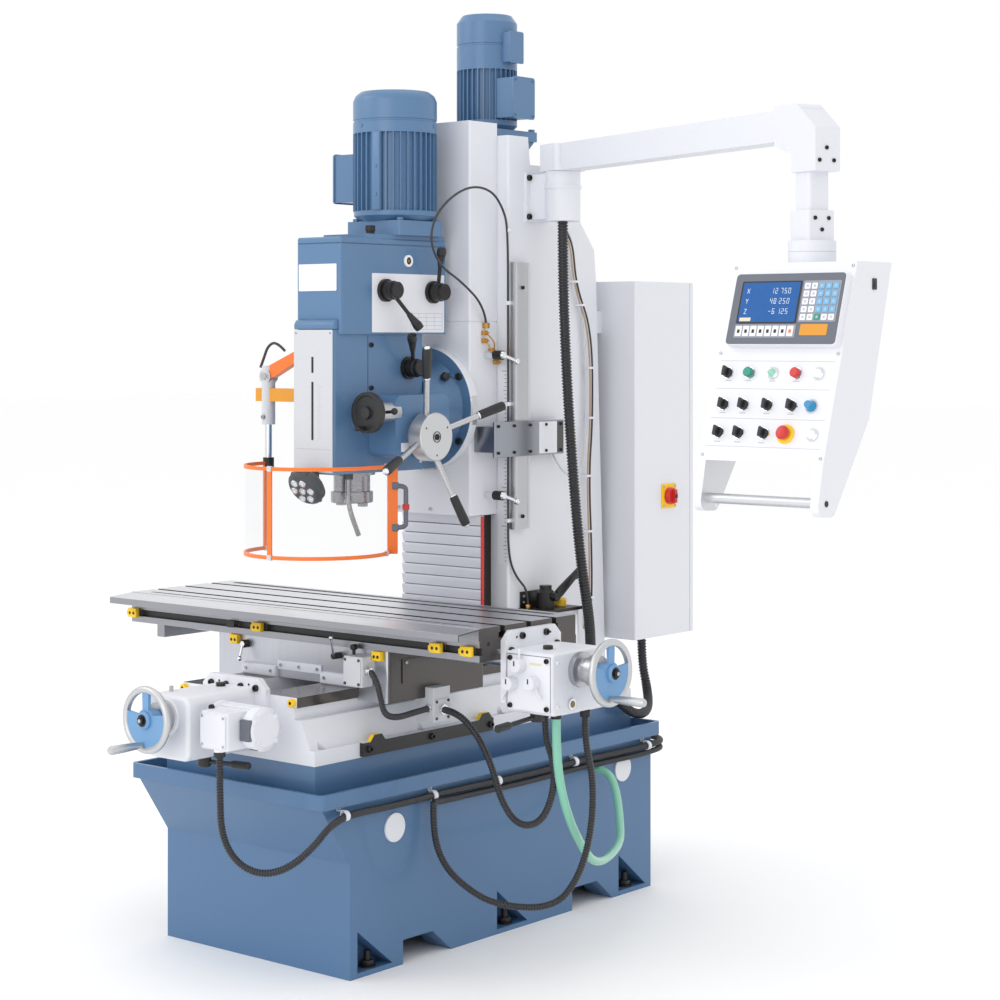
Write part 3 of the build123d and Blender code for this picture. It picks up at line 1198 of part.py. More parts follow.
with BuildPart() as spindle:
    nose_l = quill_foot - SLIDE_GAP - spindle_foot
    turned((0, SPINDLE_Y, spindle_foot), (0, 0, 1),
           [(0, 0), (NOSE_R - 2, 0), (NOSE_R, 2), (NOSE_R, nose_l), (SPINDLE_R, nose_l),
            (SPINDLE_R, nose_l + QUILL_H), (0, nose_l + QUILL_H)])
    turned((0, SPINDLE_Y, spindle_foot), (0, 0, 1),
           [(0, 0), (TAPER_R, 0), (TAPER_TIP_R, TAPER_L), (TAPER_TIP_R, TAPER_L + 30), (0, TAPER_L + 30)],
           mode=Mode.SUBTRACT)
    for side in (-1, 1):
        low, high = sorted((side * (TAPER_R + 5), side * (NOSE_R - 6)))
        block((low, high), (SPINDLE_Y - KEY_W / 2, SPINDLE_Y + KEY_W / 2),
              (spindle_foot - KEY_H, spindle_foot + KEY_H))
spindle.part.label = "spindle"
export_step(spindle.part, "parts/spindle.step")

# Capstan with its four arms
with BuildPart() as capstan:
    seat = (feed_flange + SLIDE_GAP, CAPSTAN_Y, capstan_z)
    turned(seat, (1, 0, 0), [(0, 0), (CAPSTAN_R - 6, 0), (CAPSTAN_R, 6), (CAPSTAN_R, CAPSTAN_L - 3),
                             (CAPSTAN_R - 3, CAPSTAN_L), (0, CAPSTAN_L)])
    rod(seat, (1, 0, 0), STUB_R + SHAFT_GAP, STUB_L + SLIDE_GAP, mode=Mode.SUBTRACT)
    for k in range(CAPSTAN_ARMS):
        turn = math.radians(CAPSTAN_TILT + 360 * k / CAPSTAN_ARMS)
        out = Vector(0, math.cos(turn), math.sin(turn))
        root = Vector(seat[0] + CAPSTAN_L / 2, CAPSTAN_Y, capstan_z) + out * ARM_ROOT_R
        tip = Vector(seat[0] + CAPSTAN_L / 2 + ARM_LEAN, CAPSTAN_Y, capstan_z) + out * ARM_TIP_R
        along = (tip - root).normalized()
        grip = tip - along * KNOB_L
        bar((root.X, root.Y, root.Z), (grip.X, grip.Y, grip.Z), ARM_R)
        turned((grip.X, grip.Y, grip.Z), (along.X, along.Y, along.Z),
               [(0, -2), (ARM_R + 2, -2), (KNOB_R - 1, 4), (KNOB_R, KNOB_L - 14), (KNOB_R - 1, KNOB_L - 3),
                (KNOB_R - 5, KNOB_L), (0, KNOB_L)])
capstan.part.label = "capstan"
export_step(capstan.part, "parts/capstan.step")

with BuildPart() as fine_wheel:
    seat = (FINE_X, fine_seat - SLIDE_GAP, fine_z)
    turned(seat, (0, -1, 0), [(0, 0), (FINE_R - 12, 0), (FINE_R - 6, 3), (FINE_R, 3), (FINE_R, FINE_T + 3),
                              (FINE_R - 8, FINE_T + 3), (FINE_R - 10, FINE_T), (16, FINE_T), (14, FINE_T + 8),
                              (0, FINE_T + 8)])
    rod(seat, (0, -1, 0), STUB_R / 2 + SHAFT_GAP, FINE_T, mode=Mode.SUBTRACT)
    knob = (FINE_X - 8, seat[1] - FINE_T, fine_z - FINE_R + 13)
    turned(knob, (0, -1, 0), [(0, 0), (5, 0), (7, 26), (4, 34), (0, 34)])
fine_wheel.part.label = "fine_wheel"
export_step(fine_wheel.part, "parts/fine_wheel.step")

# Main motor
with BuildPart() as main_motor:
    with BuildSketch(Plane.XY.offset(pad_z)):
        with Locations((0, MOTOR_Y)):
            RectangleRounded(MOTOR_PLATE[0], MOTOR_PLATE[1], HEAD_ROUND)
    extrude(amount=MOTOR_PLATE[2])
    bell = pad_z + MOTOR_PLATE[2]
    turned((0, MOTOR_Y, bell), (0, 0, 1), [(0, 0), (MOTOR_R - 20, 0), (MOTOR_R - 2, MOTOR_BELL_H - 12),
                                           (MOTOR_R - 2, MOTOR_BELL_H), (0, MOTOR_BELL_H)])
    core_r = MOTOR_R - MOTOR_FIN_H
    finned((0, MOTOR_Y), bell + MOTOR_BELL_H, core_r, MOTOR_FIN_H, MOTOR_FIN_T, MOTOR_FINS, MOTOR_BODY_H)
    cowl = bell + MOTOR_BELL_H + MOTOR_BODY_H
    turned((0, MOTOR_Y, cowl), (0, 0, 1),
           [(0, 0), (MOTOR_R, 0), (MOTOR_R, 28), (MOTOR_R - 2, 29), (MOTOR_R - 2, 34), (MOTOR_R, 35),
            (MOTOR_R, MOTOR_COWL_H - 24), (MOTOR_R - 6, MOTOR_COWL_H - 10), (MOTOR_R - 18, MOTOR_COWL_H),
            (0, MOTOR_COWL_H)])
    box_low = bell + MOTOR_BELL_H + 28
    box_y = (MOTOR_Y - MOTOR_BOX[1] / 2, MOTOR_Y + MOTOR_BOX[1] / 2)
    block((-MOTOR_R - MOTOR_BOX[0] + 20, -MOTOR_R + 20), box_y, (box_low, box_low + MOTOR_BOX[2]))
main_motor.part.label = "main_motor"
export_step(main_motor.part, "parts/main_motor.step")

# Z motor on the column
with BuildPart() as z_motor:
    foot_low = COLUMN_TOP
    foot_front = COLUMN_FRONT + 18
    foot_back = foot_front + Z_MOTOR_FOOT[1]
    block((-Z_MOTOR_FOOT[0] / 2, Z_MOTOR_FOOT[0] / 2), (foot_front, foot_back),
          (foot_low, foot_low + Z_MOTOR_FOOT[2]))
    fillet(z_motor.edges().filter_by(Axis.Z), HEAD_ROUND)
    neck = foot_low + Z_MOTOR_FOOT[2]
    turned((0, Z_MOTOR_Y, neck), (0, 0, 1), [(0, 0), (Z_MOTOR_R - 14, 0), (Z_MOTOR_R, 14),
                                             (Z_MOTOR_R, Z_MOTOR_NECK_H), (0, Z_MOTOR_NECK_H)])
    body = neck + Z_MOTOR_NECK_H
    core_r = Z_MOTOR_R - MOTOR_FIN_H
    finned((0, Z_MOTOR_Y), body, core_r, MOTOR_FIN_H, MOTOR_FIN_T, Z_MOTOR_FINS, Z_MOTOR_BODY_H)
    cowl = body + Z_MOTOR_BODY_H
    turned((0, Z_MOTOR_Y, cowl), (0, 0, 1),
           [(0, 0), (Z_MOTOR_R, 0), (Z_MOTOR_R, 62), (Z_MOTOR_R - 2, 63), (Z_MOTOR_R - 2, 68),
            (Z_MOTOR_R, 69), (Z_MOTOR_R, Z_MOTOR_COWL_H - 20), (Z_MOTOR_R - 14, Z_MOTOR_COWL_H),
            (0, Z_MOTOR_COWL_H)])
    block((Z_MOTOR_R - 14, Z_MOTOR_R + 42), (Z_MOTOR_Y - 42, Z_MOTOR_Y + 42), (body + 4, body + 108))
    block((Z_MOTOR_R - 10, Z_MOTOR_R + 18), (Z_MOTOR_Y - 26, Z_MOTOR_Y + 26), (cowl + 18, cowl + 96))
    slab(Plane.YZ, [*crest[:3], (foot_back, foot_low)], Z_MOTOR_R, both=True)
z_motor.part.label = "z_motor"
export_step(z_motor.part, "parts/z_motor.step")

# Electrical cabinet on the back of the column
with BuildPart() as cabinet:
    half = CABINET_X / 2
    back = CABINET_FRONT + CABINET_Y
    block((-half, half), (CABINET_FRONT, back), CABINET_Z)
    fillet(cabinet.edges().filter_by(Axis.Z), 4)
    wall = CABINET_WALL
    rim = CABINET_RIM
    inner_face = CABINET_FRONT + wall
    block((-half + wall, half - wall), (inner_face, back - rim), (CABINET_Z[0] + wall, CABINET_Z[1] - wall),
          mode=Mode.SUBTRACT)
    block((-half + rim, half - rim), (back - rim, back), (CABINET_Z[0] + rim, CABINET_Z[1] - rim),
          mode=Mode.SUBTRACT)
    block((-half + 30, half - 30), (inner_face, inner_face + PANEL_GAP),
          (CABINET_Z[0] + 60, CABINET_Z[1] - 60))
    for z in (CABINET_Z[0] + 100, CABINET_Z[1] - 140):
        block((-COLUMN_X / 2 + 20, COLUMN_X / 2 - 20), (COLUMN_BACK_TOP[0] - 20, CABINET_FRONT), (z, z + 60))
    add(column.part, mode=Mode.SUBTRACT)
    plate = SWITCH_PLATE / 2
    block((half, half + SWITCH_PLATE_T), (SWITCH_Y - plate, SWITCH_Y + plate),
          (SWITCH_Z - plate, SWITCH_Z + plate))
    rod((half + SWITCH_PLATE_T, SWITCH_Y, SWITCH_Z), (-1, 0, 0), CONTROL_R + SHAFT_GAP, SWITCH_PLATE_T + wall,
        mode=Mode.SUBTRACT)
    for z in HINGE_Z:
        low = CABINET_Z[0] + z
        rod((hinge_x, hinge_y, low), (0, 0, 1), HINGE_R, HINGE_H)
        rod((hinge_x, hinge_y, low + HINGE_H), (0, 0, 1), HINGE_PIN_R, HINGE_H)
        block((hinge_x - HINGE_R, -half), (back - 16, hinge_y), (low, low + HINGE_H))
cabinet.part.label = "cabinet"
export_step(cabinet.part, "parts/cabinet.step")

with BuildPart() as cabinet_door:
    block((-half, half), (door_front, door_back), CABINET_Z)
    fillet(cabinet_door.edges().filter_by(Axis.Z).group_by(Axis.Y)[-1], 5)
    for z in HINGE_Z:
        low = CABINET_Z[0] + z + HINGE_H + SLIDE_GAP
        rod((hinge_x, hinge_y, low), (0, 0, 1), HINGE_R, HINGE_H - SLIDE_GAP)
        block((hinge_x, -half), (hinge_y, hinge_y + HINGE_R - 1), (low, low + HINGE_H - SLIDE_GAP))
        rod((hinge_x, hinge_y, low), (0, 0, 1), HINGE_PIN_R + SHAFT_GAP, HINGE_H, mode=Mode.SUBTRACT)
    for z in (CABINET_Z[0] + DOOR_LOCK_INSET, CABINET_Z[1] - DOOR_LOCK_INSET):
        rod((half - DOOR_LOCK_X, door_back, z), (0, 1, 0), DOOR_LOCK_R, DOOR_LOCK_T)
cabinet_door.part.label = "cabinet_door"
export_step(cabinet_door.part, "parts/cabinet_door.step")

with BuildPart() as main_switch:
    seat = (CABINET_X / 2 + SWITCH_PLATE_T + SLIDE_GAP, SWITCH_Y, SWITCH_Z)
    turned(seat, (1, 0, 0), [(0, 0), (SWITCH_R, 0), (SWITCH_R, 6), (SWITCH_R - 4, 8), (0, 8)])
    block((seat[0] + 8, seat[0] + SWITCH_L), (SWITCH_Y - 5, SWITCH_Y + 5),
          (SWITCH_Z - SWITCH_R + 2, SWITCH_Z + SWITCH_R - 2))
    rod(seat, (-1, 0, 0), CONTROL_R, SWITCH_PLATE_T)
main_switch.part.label = "main_switch"
export_step(main_switch.part, "parts/main_switch.step")

# Swing arm
with BuildPart() as arm_bracket:
    rod((PIVOT[0], PIVOT[1], pivot_low), (0, 0, 1), PIVOT_R, PIVOT_H)
    web = PIVOT_R * 0.7
    block((COLUMN_X / 2, PIVOT[0]), (PIVOT[1] - web, PIVOT[1] + web), (pivot_low + 6, pivot_top - 6))
    block((COLUMN_X / 2, COLUMN_X / 2 + BRACKET_T), BRACKET_Y, (pivot_low, pivot_top))
    rod((PIVOT[0], PIVOT[1], pivot_top), (0, 0, -1), PIN_R + SHAFT_GAP, PIN_L + SLIDE_GAP, mode=Mode.SUBTRACT)
column_group = Compound(label="column", children=[column.part, arm_bracket.part])
export_step(column_group, "parts/column.step")

along_arm = (math.cos(arm_turn), math.sin(arm_turn), 0)
beam = Plane(origin=(PIVOT[0], PIVOT[1], arm_foot), x_dir=along_arm, z_dir=(0, 0, 1))
with BuildPart() as arm:
    with BuildSketch(beam):
        RectangleRounded(ARM_HEAD, ARM_HEAD, 12)
    extrude(amount=ARM_H)
    with BuildSketch(beam):
        with Locations((ARM_L / 2, 0)):
            Rectangle(ARM_L, ARM_W)
    extrude(amount=ARM_H)
    rise = arm_foot + ARM_H + 8 - elbow_foot
    slab(
        Plane(origin=(PIVOT[0], PIVOT[1], elbow_foot), x_dir=along_arm,
              z_dir=(math.sin(arm_turn), -math.cos(arm_turn), 0)),
        [(ARM_L - ELBOW_BACK, rise * 0.42), (ARM_L - TUBE_W / 2 - 4, rise * 0.28),
         (ARM_L - TUBE_W / 2 - 4, 0), (ARM_L + ELBOW_END, 0), (ARM_L + ELBOW_END, rise * 0.63),
         (ARM_L + ELBOW_END - ELBOW_SLOPE, rise), (ARM_L - ELBOW_BACK, rise)],
        ELBOW_W / 2,
        both=True,
    )
    hang = Plane(origin=(hanger[0], hanger[1], tube_foot), x_dir=along_arm, z_dir=(0, 0, 1))
    with BuildSketch(hang):
        RectangleRounded(TUBE_W, TUBE_W, 8)
    extrude(amount=elbow_foot - tube_foot)
    with BuildSketch(hang.offset(SWIVEL_RING_H)):
        RectangleRounded(SLEEVE_W, SLEEVE_W, 6)
    extrude(amount=SLEEVE_H)
    rod((hanger[0], hanger[1], tube_foot), (0, 0, 1), SWIVEL_RING_R, SWIVEL_RING_H)
    rod((hanger[0], hanger[1], tube_foot), (0, 0, -1), HANGER_R, HANGER_L)
    rod((PIVOT[0], PIVOT[1], arm_foot), (0, 0, -1), PIN_R, PIN_L)
arm.part.label = "arm"
export_step(arm.part, "parts/arm.step")

# Pendant
side_plane = Plane(origin=(hanger[0], hanger[1], 0), x_dir=(0, 1, 0), z_dir=(1, 0, 0))
with BuildPart() as pendant:
    slab(
        side_plane,
        [(pendant_front, pendant_z), (-pendant_front, pendant_z), *pendant_rear, panel_end],
        PENDANT_X / 2,
        both=True,
    )
    fillet(pendant.edges().filter_by(Axis.X).sort_by(Axis.Z)[:2], PENDANT_ROUND)
    inside = PENDANT_X / 2 - CHEEK_T
    slab(
        side_plane,
        [(panel_end[0] - 60, panel_end[1]), (PENDANT_DEPTH, panel_end[1]),
         (PENDANT_DEPTH, panel_end[1] - PANEL_L), (panel_end[0] - 60, panel_end[1] - PANEL_L)],
        inside,
        both=True,
        mode=Mode.SUBTRACT,
    )
    grip = (hanger[0] - inside, hanger[1] + GRIP_BAR[0], pendant_z - GRIP_BAR[1])
    rod(grip, (1, 0, 0), GRIP_BAR_R, 2 * inside)
    rod((hanger[0], hanger[1], pendant_z), (0, 0, 1), SWIVEL_RING_R, SWIVEL_RING_H)
    rod((hanger[0], hanger[1], tube_foot), (0, 0, -1), HANGER_R + SHAFT_GAP, HANGER_L + SLIDE_GAP,
        mode=Mode.SUBTRACT)
    middle = (READOUT_AT, sum(READOUT_DOWN) / 2)
    with BuildSketch(panel_plane(middle)):
        RectangleRounded(READOUT_X, READOUT_DOWN[1] - READOUT_DOWN[0], 8)
    extrude(amount=READOUT_T)
    for place in (*SELECTORS, START_AT, STOP_AT, POT_AT, ESTOP_AT):
        spot = panel_plane(place)
        rod(spot.origin, (0, math.cos(lean), -math.sin(lean)), CONTROL_R + SHAFT_GAP, CONTROL_BORE,
            mode=Mode.SUBTRACT)
pendant.part.label = "pendant"
export_step(pendant.part, "parts/pendant.step")


def control(place, lift, profile):
    """Builds a panel control: a turned head that stands off the panel, and its stem."""
    spot = panel_plane(place)
    seat = spot.origin + panel_out * lift
    turned((seat.X, seat.Y, seat.Z), (panel_out.X, panel_out.Y, panel_out.Z), profile)
    inward = panel_out * -1
    rod((seat.X, seat.Y, seat.Z), (inward.X, inward.Y, inward.Z), CONTROL_R, lift + CONTROL_STEM)
    return spot


for k, place in enumerate(SELECTORS):
    with BuildPart() as selector:
        spot = control(place, SLIDE_GAP, [(0, 0), (SELECTOR_R, 0), (SELECTOR_R, SELECTOR_BASE - 2),
                                          (SELECTOR_R - 2, SELECTOR_BASE), (0, SELECTOR_BASE)])
        with BuildSketch(spot.offset(SLIDE_GAP + SELECTOR_BASE)):
            RectangleRounded(SELECTOR_BAR, 2 * SELECTOR_R, 3)
        extrude(amount=SELECTOR_L)
    selector.part.label = f"selector_{k + 1}"
    export_step(selector.part, f"parts/selector_{k + 1}.step")

for name, place in (("start_button", START_AT), ("stop_button", STOP_AT)):
    with BuildPart() as button:
        control(place, BUTTON_LIFT, [(0, 0), (BUTTON_R, 0), (BUTTON_R, BUTTON_L - 2),
                                     (BUTTON_R - 2, BUTTON_L), (0, BUTTON_L)])
    button.part.label = name
    export_step(button.part, f"parts/{name}.step")

with BuildPart() as speed_pot:
    control(POT_AT, SLIDE_GAP, [(0, 0), (POT_R + 2, 0), (POT_R + 2, 3), (POT_R, 4), (POT_R - 2, POT_L),
                                (0, POT_L)])
speed_pot.part.label = "speed_pot"
export_step(speed_pot.part, "parts/speed_pot.step")

with BuildPart() as estop:
    control(ESTOP_AT, ESTOP_LIFT, [(0, 0), (ESTOP_R * 0.5, 0), (ESTOP_R * 0.6, 4), (ESTOP_R, 5),
                                   (ESTOP_R, ESTOP_L - 6), (ESTOP_R * 0.7, ESTOP_L - 1), (0, ESTOP_L)])
estop.part.label = "estop"
export_step(estop.part, "parts/estop.step")

# Chip guard and the bracket that carries its post
with BuildPart() as guard_arm:
    wall = -NOSE_X / 2
    y0, y1 = post[1] - HOLDER_BAR_T / 2, post[1] + HOLDER_BAR_T / 2
    rod((post[0], post[1], HOLDER_Z[0]), (0, 0, 1), HOLDER_R, HOLDER_Z[1] - HOLDER_Z[0])
    block((post[0] - HOLDER_BAR_OVER, wall), (y0, y1), HOLDER_BAR_Z)
    slab(
        Plane.XZ.offset(-y1),
        [(post[0], HOLDER_Z[1] - 40), (wall, HOLDER_Z[1] + 26), (wall, HOLDER_Z[1] + 52),
         (post[0] - 6, HOLDER_Z[1] - 6)],
        HOLDER_BAR_T,
    )
    socket_l = POST_TOP - HOLDER_Z[0] + SLIDE_GAP
    rod((post[0], post[1], HOLDER_Z[0]), (0, 0, 1), POST_R + SHAFT_GAP, socket_l, mode=Mode.SUBTRACT)
guard_arm.part.label = "guard_arm"
export_step(guard_arm.part, "parts/guard_arm.step")

with BuildPart() as guard:
    begin = math.radians(GUARD_START)
    out = (math.cos(begin), math.sin(begin), 0)
    with BuildSketch(Plane(origin=(*GUARD_MID, 0), x_dir=out, z_dir=(out[1], -out[0], 0))):
        with Locations((GUARD_R, sum(GUARD_Z) / 2)):
            Rectangle(GUARD_SHEET, GUARD_Z[1] - GUARD_Z[0])
        with Locations(*[(GUARD_R, z) for z in GUARD_Z]):
            Circle(GUARD_ROD_R)
    revolve(axis=Axis((*GUARD_MID, 0), (0, 0, 1)), revolution_arc=GUARD_ARC)
    rod((post[0], post[1], GUARD_Z[0]), (0, 0, 1), POST_R, POST_TOP - GUARD_Z[0])
    end = math.radians(GUARD_START + GUARD_ARC)
    tip = (GUARD_MID[0] + GUARD_R * math.cos(end), GUARD_MID[1] + GUARD_R * math.sin(end))
    flat = Plane(origin=(*tip, GUARD_Z[0]), x_dir=(math.cos(end), math.sin(end), 0), z_dir=(0, 0, 1))
    with BuildSketch(flat):
        with Locations((GUARD_BAR_W / 2 - 4, -GUARD_BAR_T / 4)):
            Rectangle(GUARD_BAR_W, GUARD_BAR_T)
    extrude(amount=GUARD_Z[1] - GUARD_Z[0])
    pull = (tip[0] + GUARD_HANDLE_OUT * math.cos(end), tip[1] + GUARD_HANDLE_OUT * math.sin(end))
    pull_z = (GUARD_Z[0] + GUARD_HANDLE_Z[0], GUARD_Z[1] - GUARD_HANDLE_Z[1])
    for z in pull_z:
        bar((*tip, z), (*pull, z), GUARD_HANDLE_R)
        ball((*pull, z), GUARD_HANDLE_R)
    rod((*pull, pull_z[0]), (0, 0, 1), GUARD_HANDLE_R, pull_z[1] - pull_z[0])
guard.part.label = "guard"
export_step(guard.part, "parts/guard.step")

with BuildPart() as work_lamp:
    tilt = math.radians(LAMP_TILT)
    turned(lamp_mid, (0, -math.cos(tilt), -math.sin(tilt)),
           [(0, -LAMP_T / 2), (LAMP_R - 10, -LAMP_T / 2), (LAMP_R, -LAMP_T / 4), (LAMP_R, LAMP_T / 4),
            (LAMP_R - 8, LAMP_T / 2), (0, LAMP_T / 2)])
    lug_x = (LAMP_SIDE - LAMP_LUG[0] / 2, LAMP_SIDE + LAMP_LUG[0] / 2)
    block(lug_x, (NOSE_FRONT - LAMP_LUG[1], NOSE_FRONT), (lamp_mid[2] - 2, NOSE_FOOT + LAMP_LUG[2]))
work_lamp.part.label = "work_lamp"
export_step(work_lamp.part, "parts/work_lamp.step")

# Lube pump with its hand lever
pump_wall = COLUMN_X / 2
with BuildPart() as lube_pump:
    block((pump_wall, pump_wall + PUMP_X), PUMP_Y, PUMP_Z)
    fillet(lube_pump.edges().filter_by(Axis.Z).group_by(Axis.X)[-1], 12)
    block((pump_wall, pump_wall + PUMP_X + 4), (PUMP_Y[0] - 4, PUMP_Y[1] + 4), (PUMP_Z[1], PUMP_Z[1] + 8))
    middle = (pump_wall + PUMP_BODY_YX[1], PUMP_BODY_YX[0], PUMP_Z[1] + 8)
    turned(middle, (0, 0, 1), [(0, 0), (PUMP_BODY_R, 0), (PUMP_BODY_R, PUMP_BODY_L - 18),
                               (PUMP_BODY_R - 8, PUMP_BODY_L - 10), (PUMP_BODY_R - 8, PUMP_BODY_L),
                               (0, PUMP_BODY_L)])
    pivot = (middle[0] + PUMP_BODY_R - 4, middle[1], middle[2] + PUMP_BODY_L - 28)
    rod((middle[0], pivot[1], pivot[2]), (1, 0, 0), PUMP_PIVOT_R, PUMP_BODY_R + PUMP_HUB_L)
    cap = (middle[0], PUMP_Y[1] - 24, PUMP_Z[1] + 8)
    turned(cap, (0, 0, 1), [(0, 0), (16, 0), (16, 16), (13, 20), (0, 20)])
lube_pump.part.label = "lube_pump"
export_step(lube_pump.part, "parts/lube_pump.step")

with BuildPart() as lube_lever:
    seat = (middle[0] + PUMP_BODY_R + SLIDE_GAP, pivot[1], pivot[2])
    rod(seat, (1, 0, 0), PUMP_HUB_R, PUMP_HUB_L)
    rod(seat, (1, 0, 0), PUMP_PIVOT_R + SHAFT_GAP, PUMP_HUB_L, mode=Mode.SUBTRACT)
    mid_x = seat[0] + PUMP_HUB_L / 2
    away = Vector(0, PUMP_LEVER_TIP[0] - seat[1], PUMP_LEVER_TIP[1] - seat[2]).normalized()
    reach = PUMP_HUB_R - 1
    bar((mid_x, seat[1] + away.Y * reach, seat[2] + away.Z * reach), (mid_x, *PUMP_LEVER_TIP), PUMP_LEVER_R)
    ball((mid_x, *PUMP_LEVER_TIP), 11)
lube_lever.part.label = "lube_lever"
export_step(lube_lever.part, "parts/lube_lever.step")

# Cords: each free stretch is a plain tube
arm_hose_route = ((*PIVOT, pivot_low), (*PIVOT, pivot_low - HOSE_LEAD), *ARM_HOSE_ROUTE)
CORDS = {
    "frame_cords": ((arm_hose_route, HOSE_R), (BASE_CONDUIT_ROUTE, CONDUIT_R)),
    "saddle_cords": ((TABLE_LOOP_LOW, CONDUIT_R), (DRAIN_LOW, DRAIN_R)),
    "table_cords": ((TABLE_LOOP_HIGH, CONDUIT_R), (SWITCH_LOOP, CONDUIT_R), (DRAIN_HIGH, DRAIN_R)),
    "head_cords": ((LUBE_ROUTE, LUBE_R),),
}
for name, tubes in CORDS.items():
    with BuildPart() as cord:
        for route, radius in tubes:
            sweep_tube(route, radius)
    cord.part.label = name
    export_step(cord.part, f"parts/{name}.step")
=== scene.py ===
"""Looks of a bed mill: finishes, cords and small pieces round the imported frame."""
import json
import logging
import math
from dataclasses import dataclass, field
from enum import Enum
from typing import ClassVar, Sequence

import bmesh
import bpy
from mathutils import Matrix, Vector


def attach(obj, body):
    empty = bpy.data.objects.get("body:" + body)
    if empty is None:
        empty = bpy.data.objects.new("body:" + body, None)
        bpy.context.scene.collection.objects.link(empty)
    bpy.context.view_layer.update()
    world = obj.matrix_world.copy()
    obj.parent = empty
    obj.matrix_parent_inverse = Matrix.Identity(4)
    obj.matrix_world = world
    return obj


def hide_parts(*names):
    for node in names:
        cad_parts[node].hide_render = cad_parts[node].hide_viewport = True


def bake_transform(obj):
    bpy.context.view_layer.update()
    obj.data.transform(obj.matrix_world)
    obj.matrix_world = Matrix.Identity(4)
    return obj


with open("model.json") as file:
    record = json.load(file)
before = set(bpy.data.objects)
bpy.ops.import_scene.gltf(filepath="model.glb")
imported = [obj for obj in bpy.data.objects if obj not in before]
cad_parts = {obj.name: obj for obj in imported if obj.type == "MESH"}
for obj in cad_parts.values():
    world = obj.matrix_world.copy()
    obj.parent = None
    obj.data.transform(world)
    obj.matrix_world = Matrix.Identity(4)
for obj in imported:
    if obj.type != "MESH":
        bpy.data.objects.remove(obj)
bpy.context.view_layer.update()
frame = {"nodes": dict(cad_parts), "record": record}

MM = 0.001
log = logging.getLogger("bed_mill")

# Kinds of values: a point, a spot on a face, a pair of limits, a bar's radius and the heights of its ends,
# the two ends of a line on a face, rows of these, points of a turned or flat outline, and a linear colour
Point = tuple[float, float, float]
Spot = tuple[float, float]
Limits = tuple[float, float]
Bar = tuple[float, float, float]
Line = tuple[float, float, float, float]
Numbers = tuple[float, ...]
Route = tuple[Point, ...]
Spots = tuple[Spot, ...]
Profile = tuple[Spot, ...]
Colour = tuple[float, float, float]


def paint(red: int, green: int, blue: int) -> Colour:
    """Turns screen values from 0 to 255 into the renderer's linear colour.

    Args:
        red: Red of the finish under even light.
        green: Green of it.
        blue: Blue of it.

    Returns:
        The linear colour.
    """

    def linear(value: int) -> float:
        """Turns one value by the usual curve of screens."""
        share = value / 255.0
        return share / 12.92 if share <= 0.04045 else ((share + 0.055) / 1.055) ** 2.4

    return linear(red), linear(green), linear(blue)


# Finishes


class Skin(Enum):
    """How a surface was made, as the stretch of its grain along X, Y and Z."""

    EVEN = (1.0, 1.0, 1.0)
    ALONG_X = (0.02, 1.0, 1.0)
    ALONG_Z = (1.0, 1.0, 0.02)
    ROUND_Z = (0.04, 0.04, 1.0)


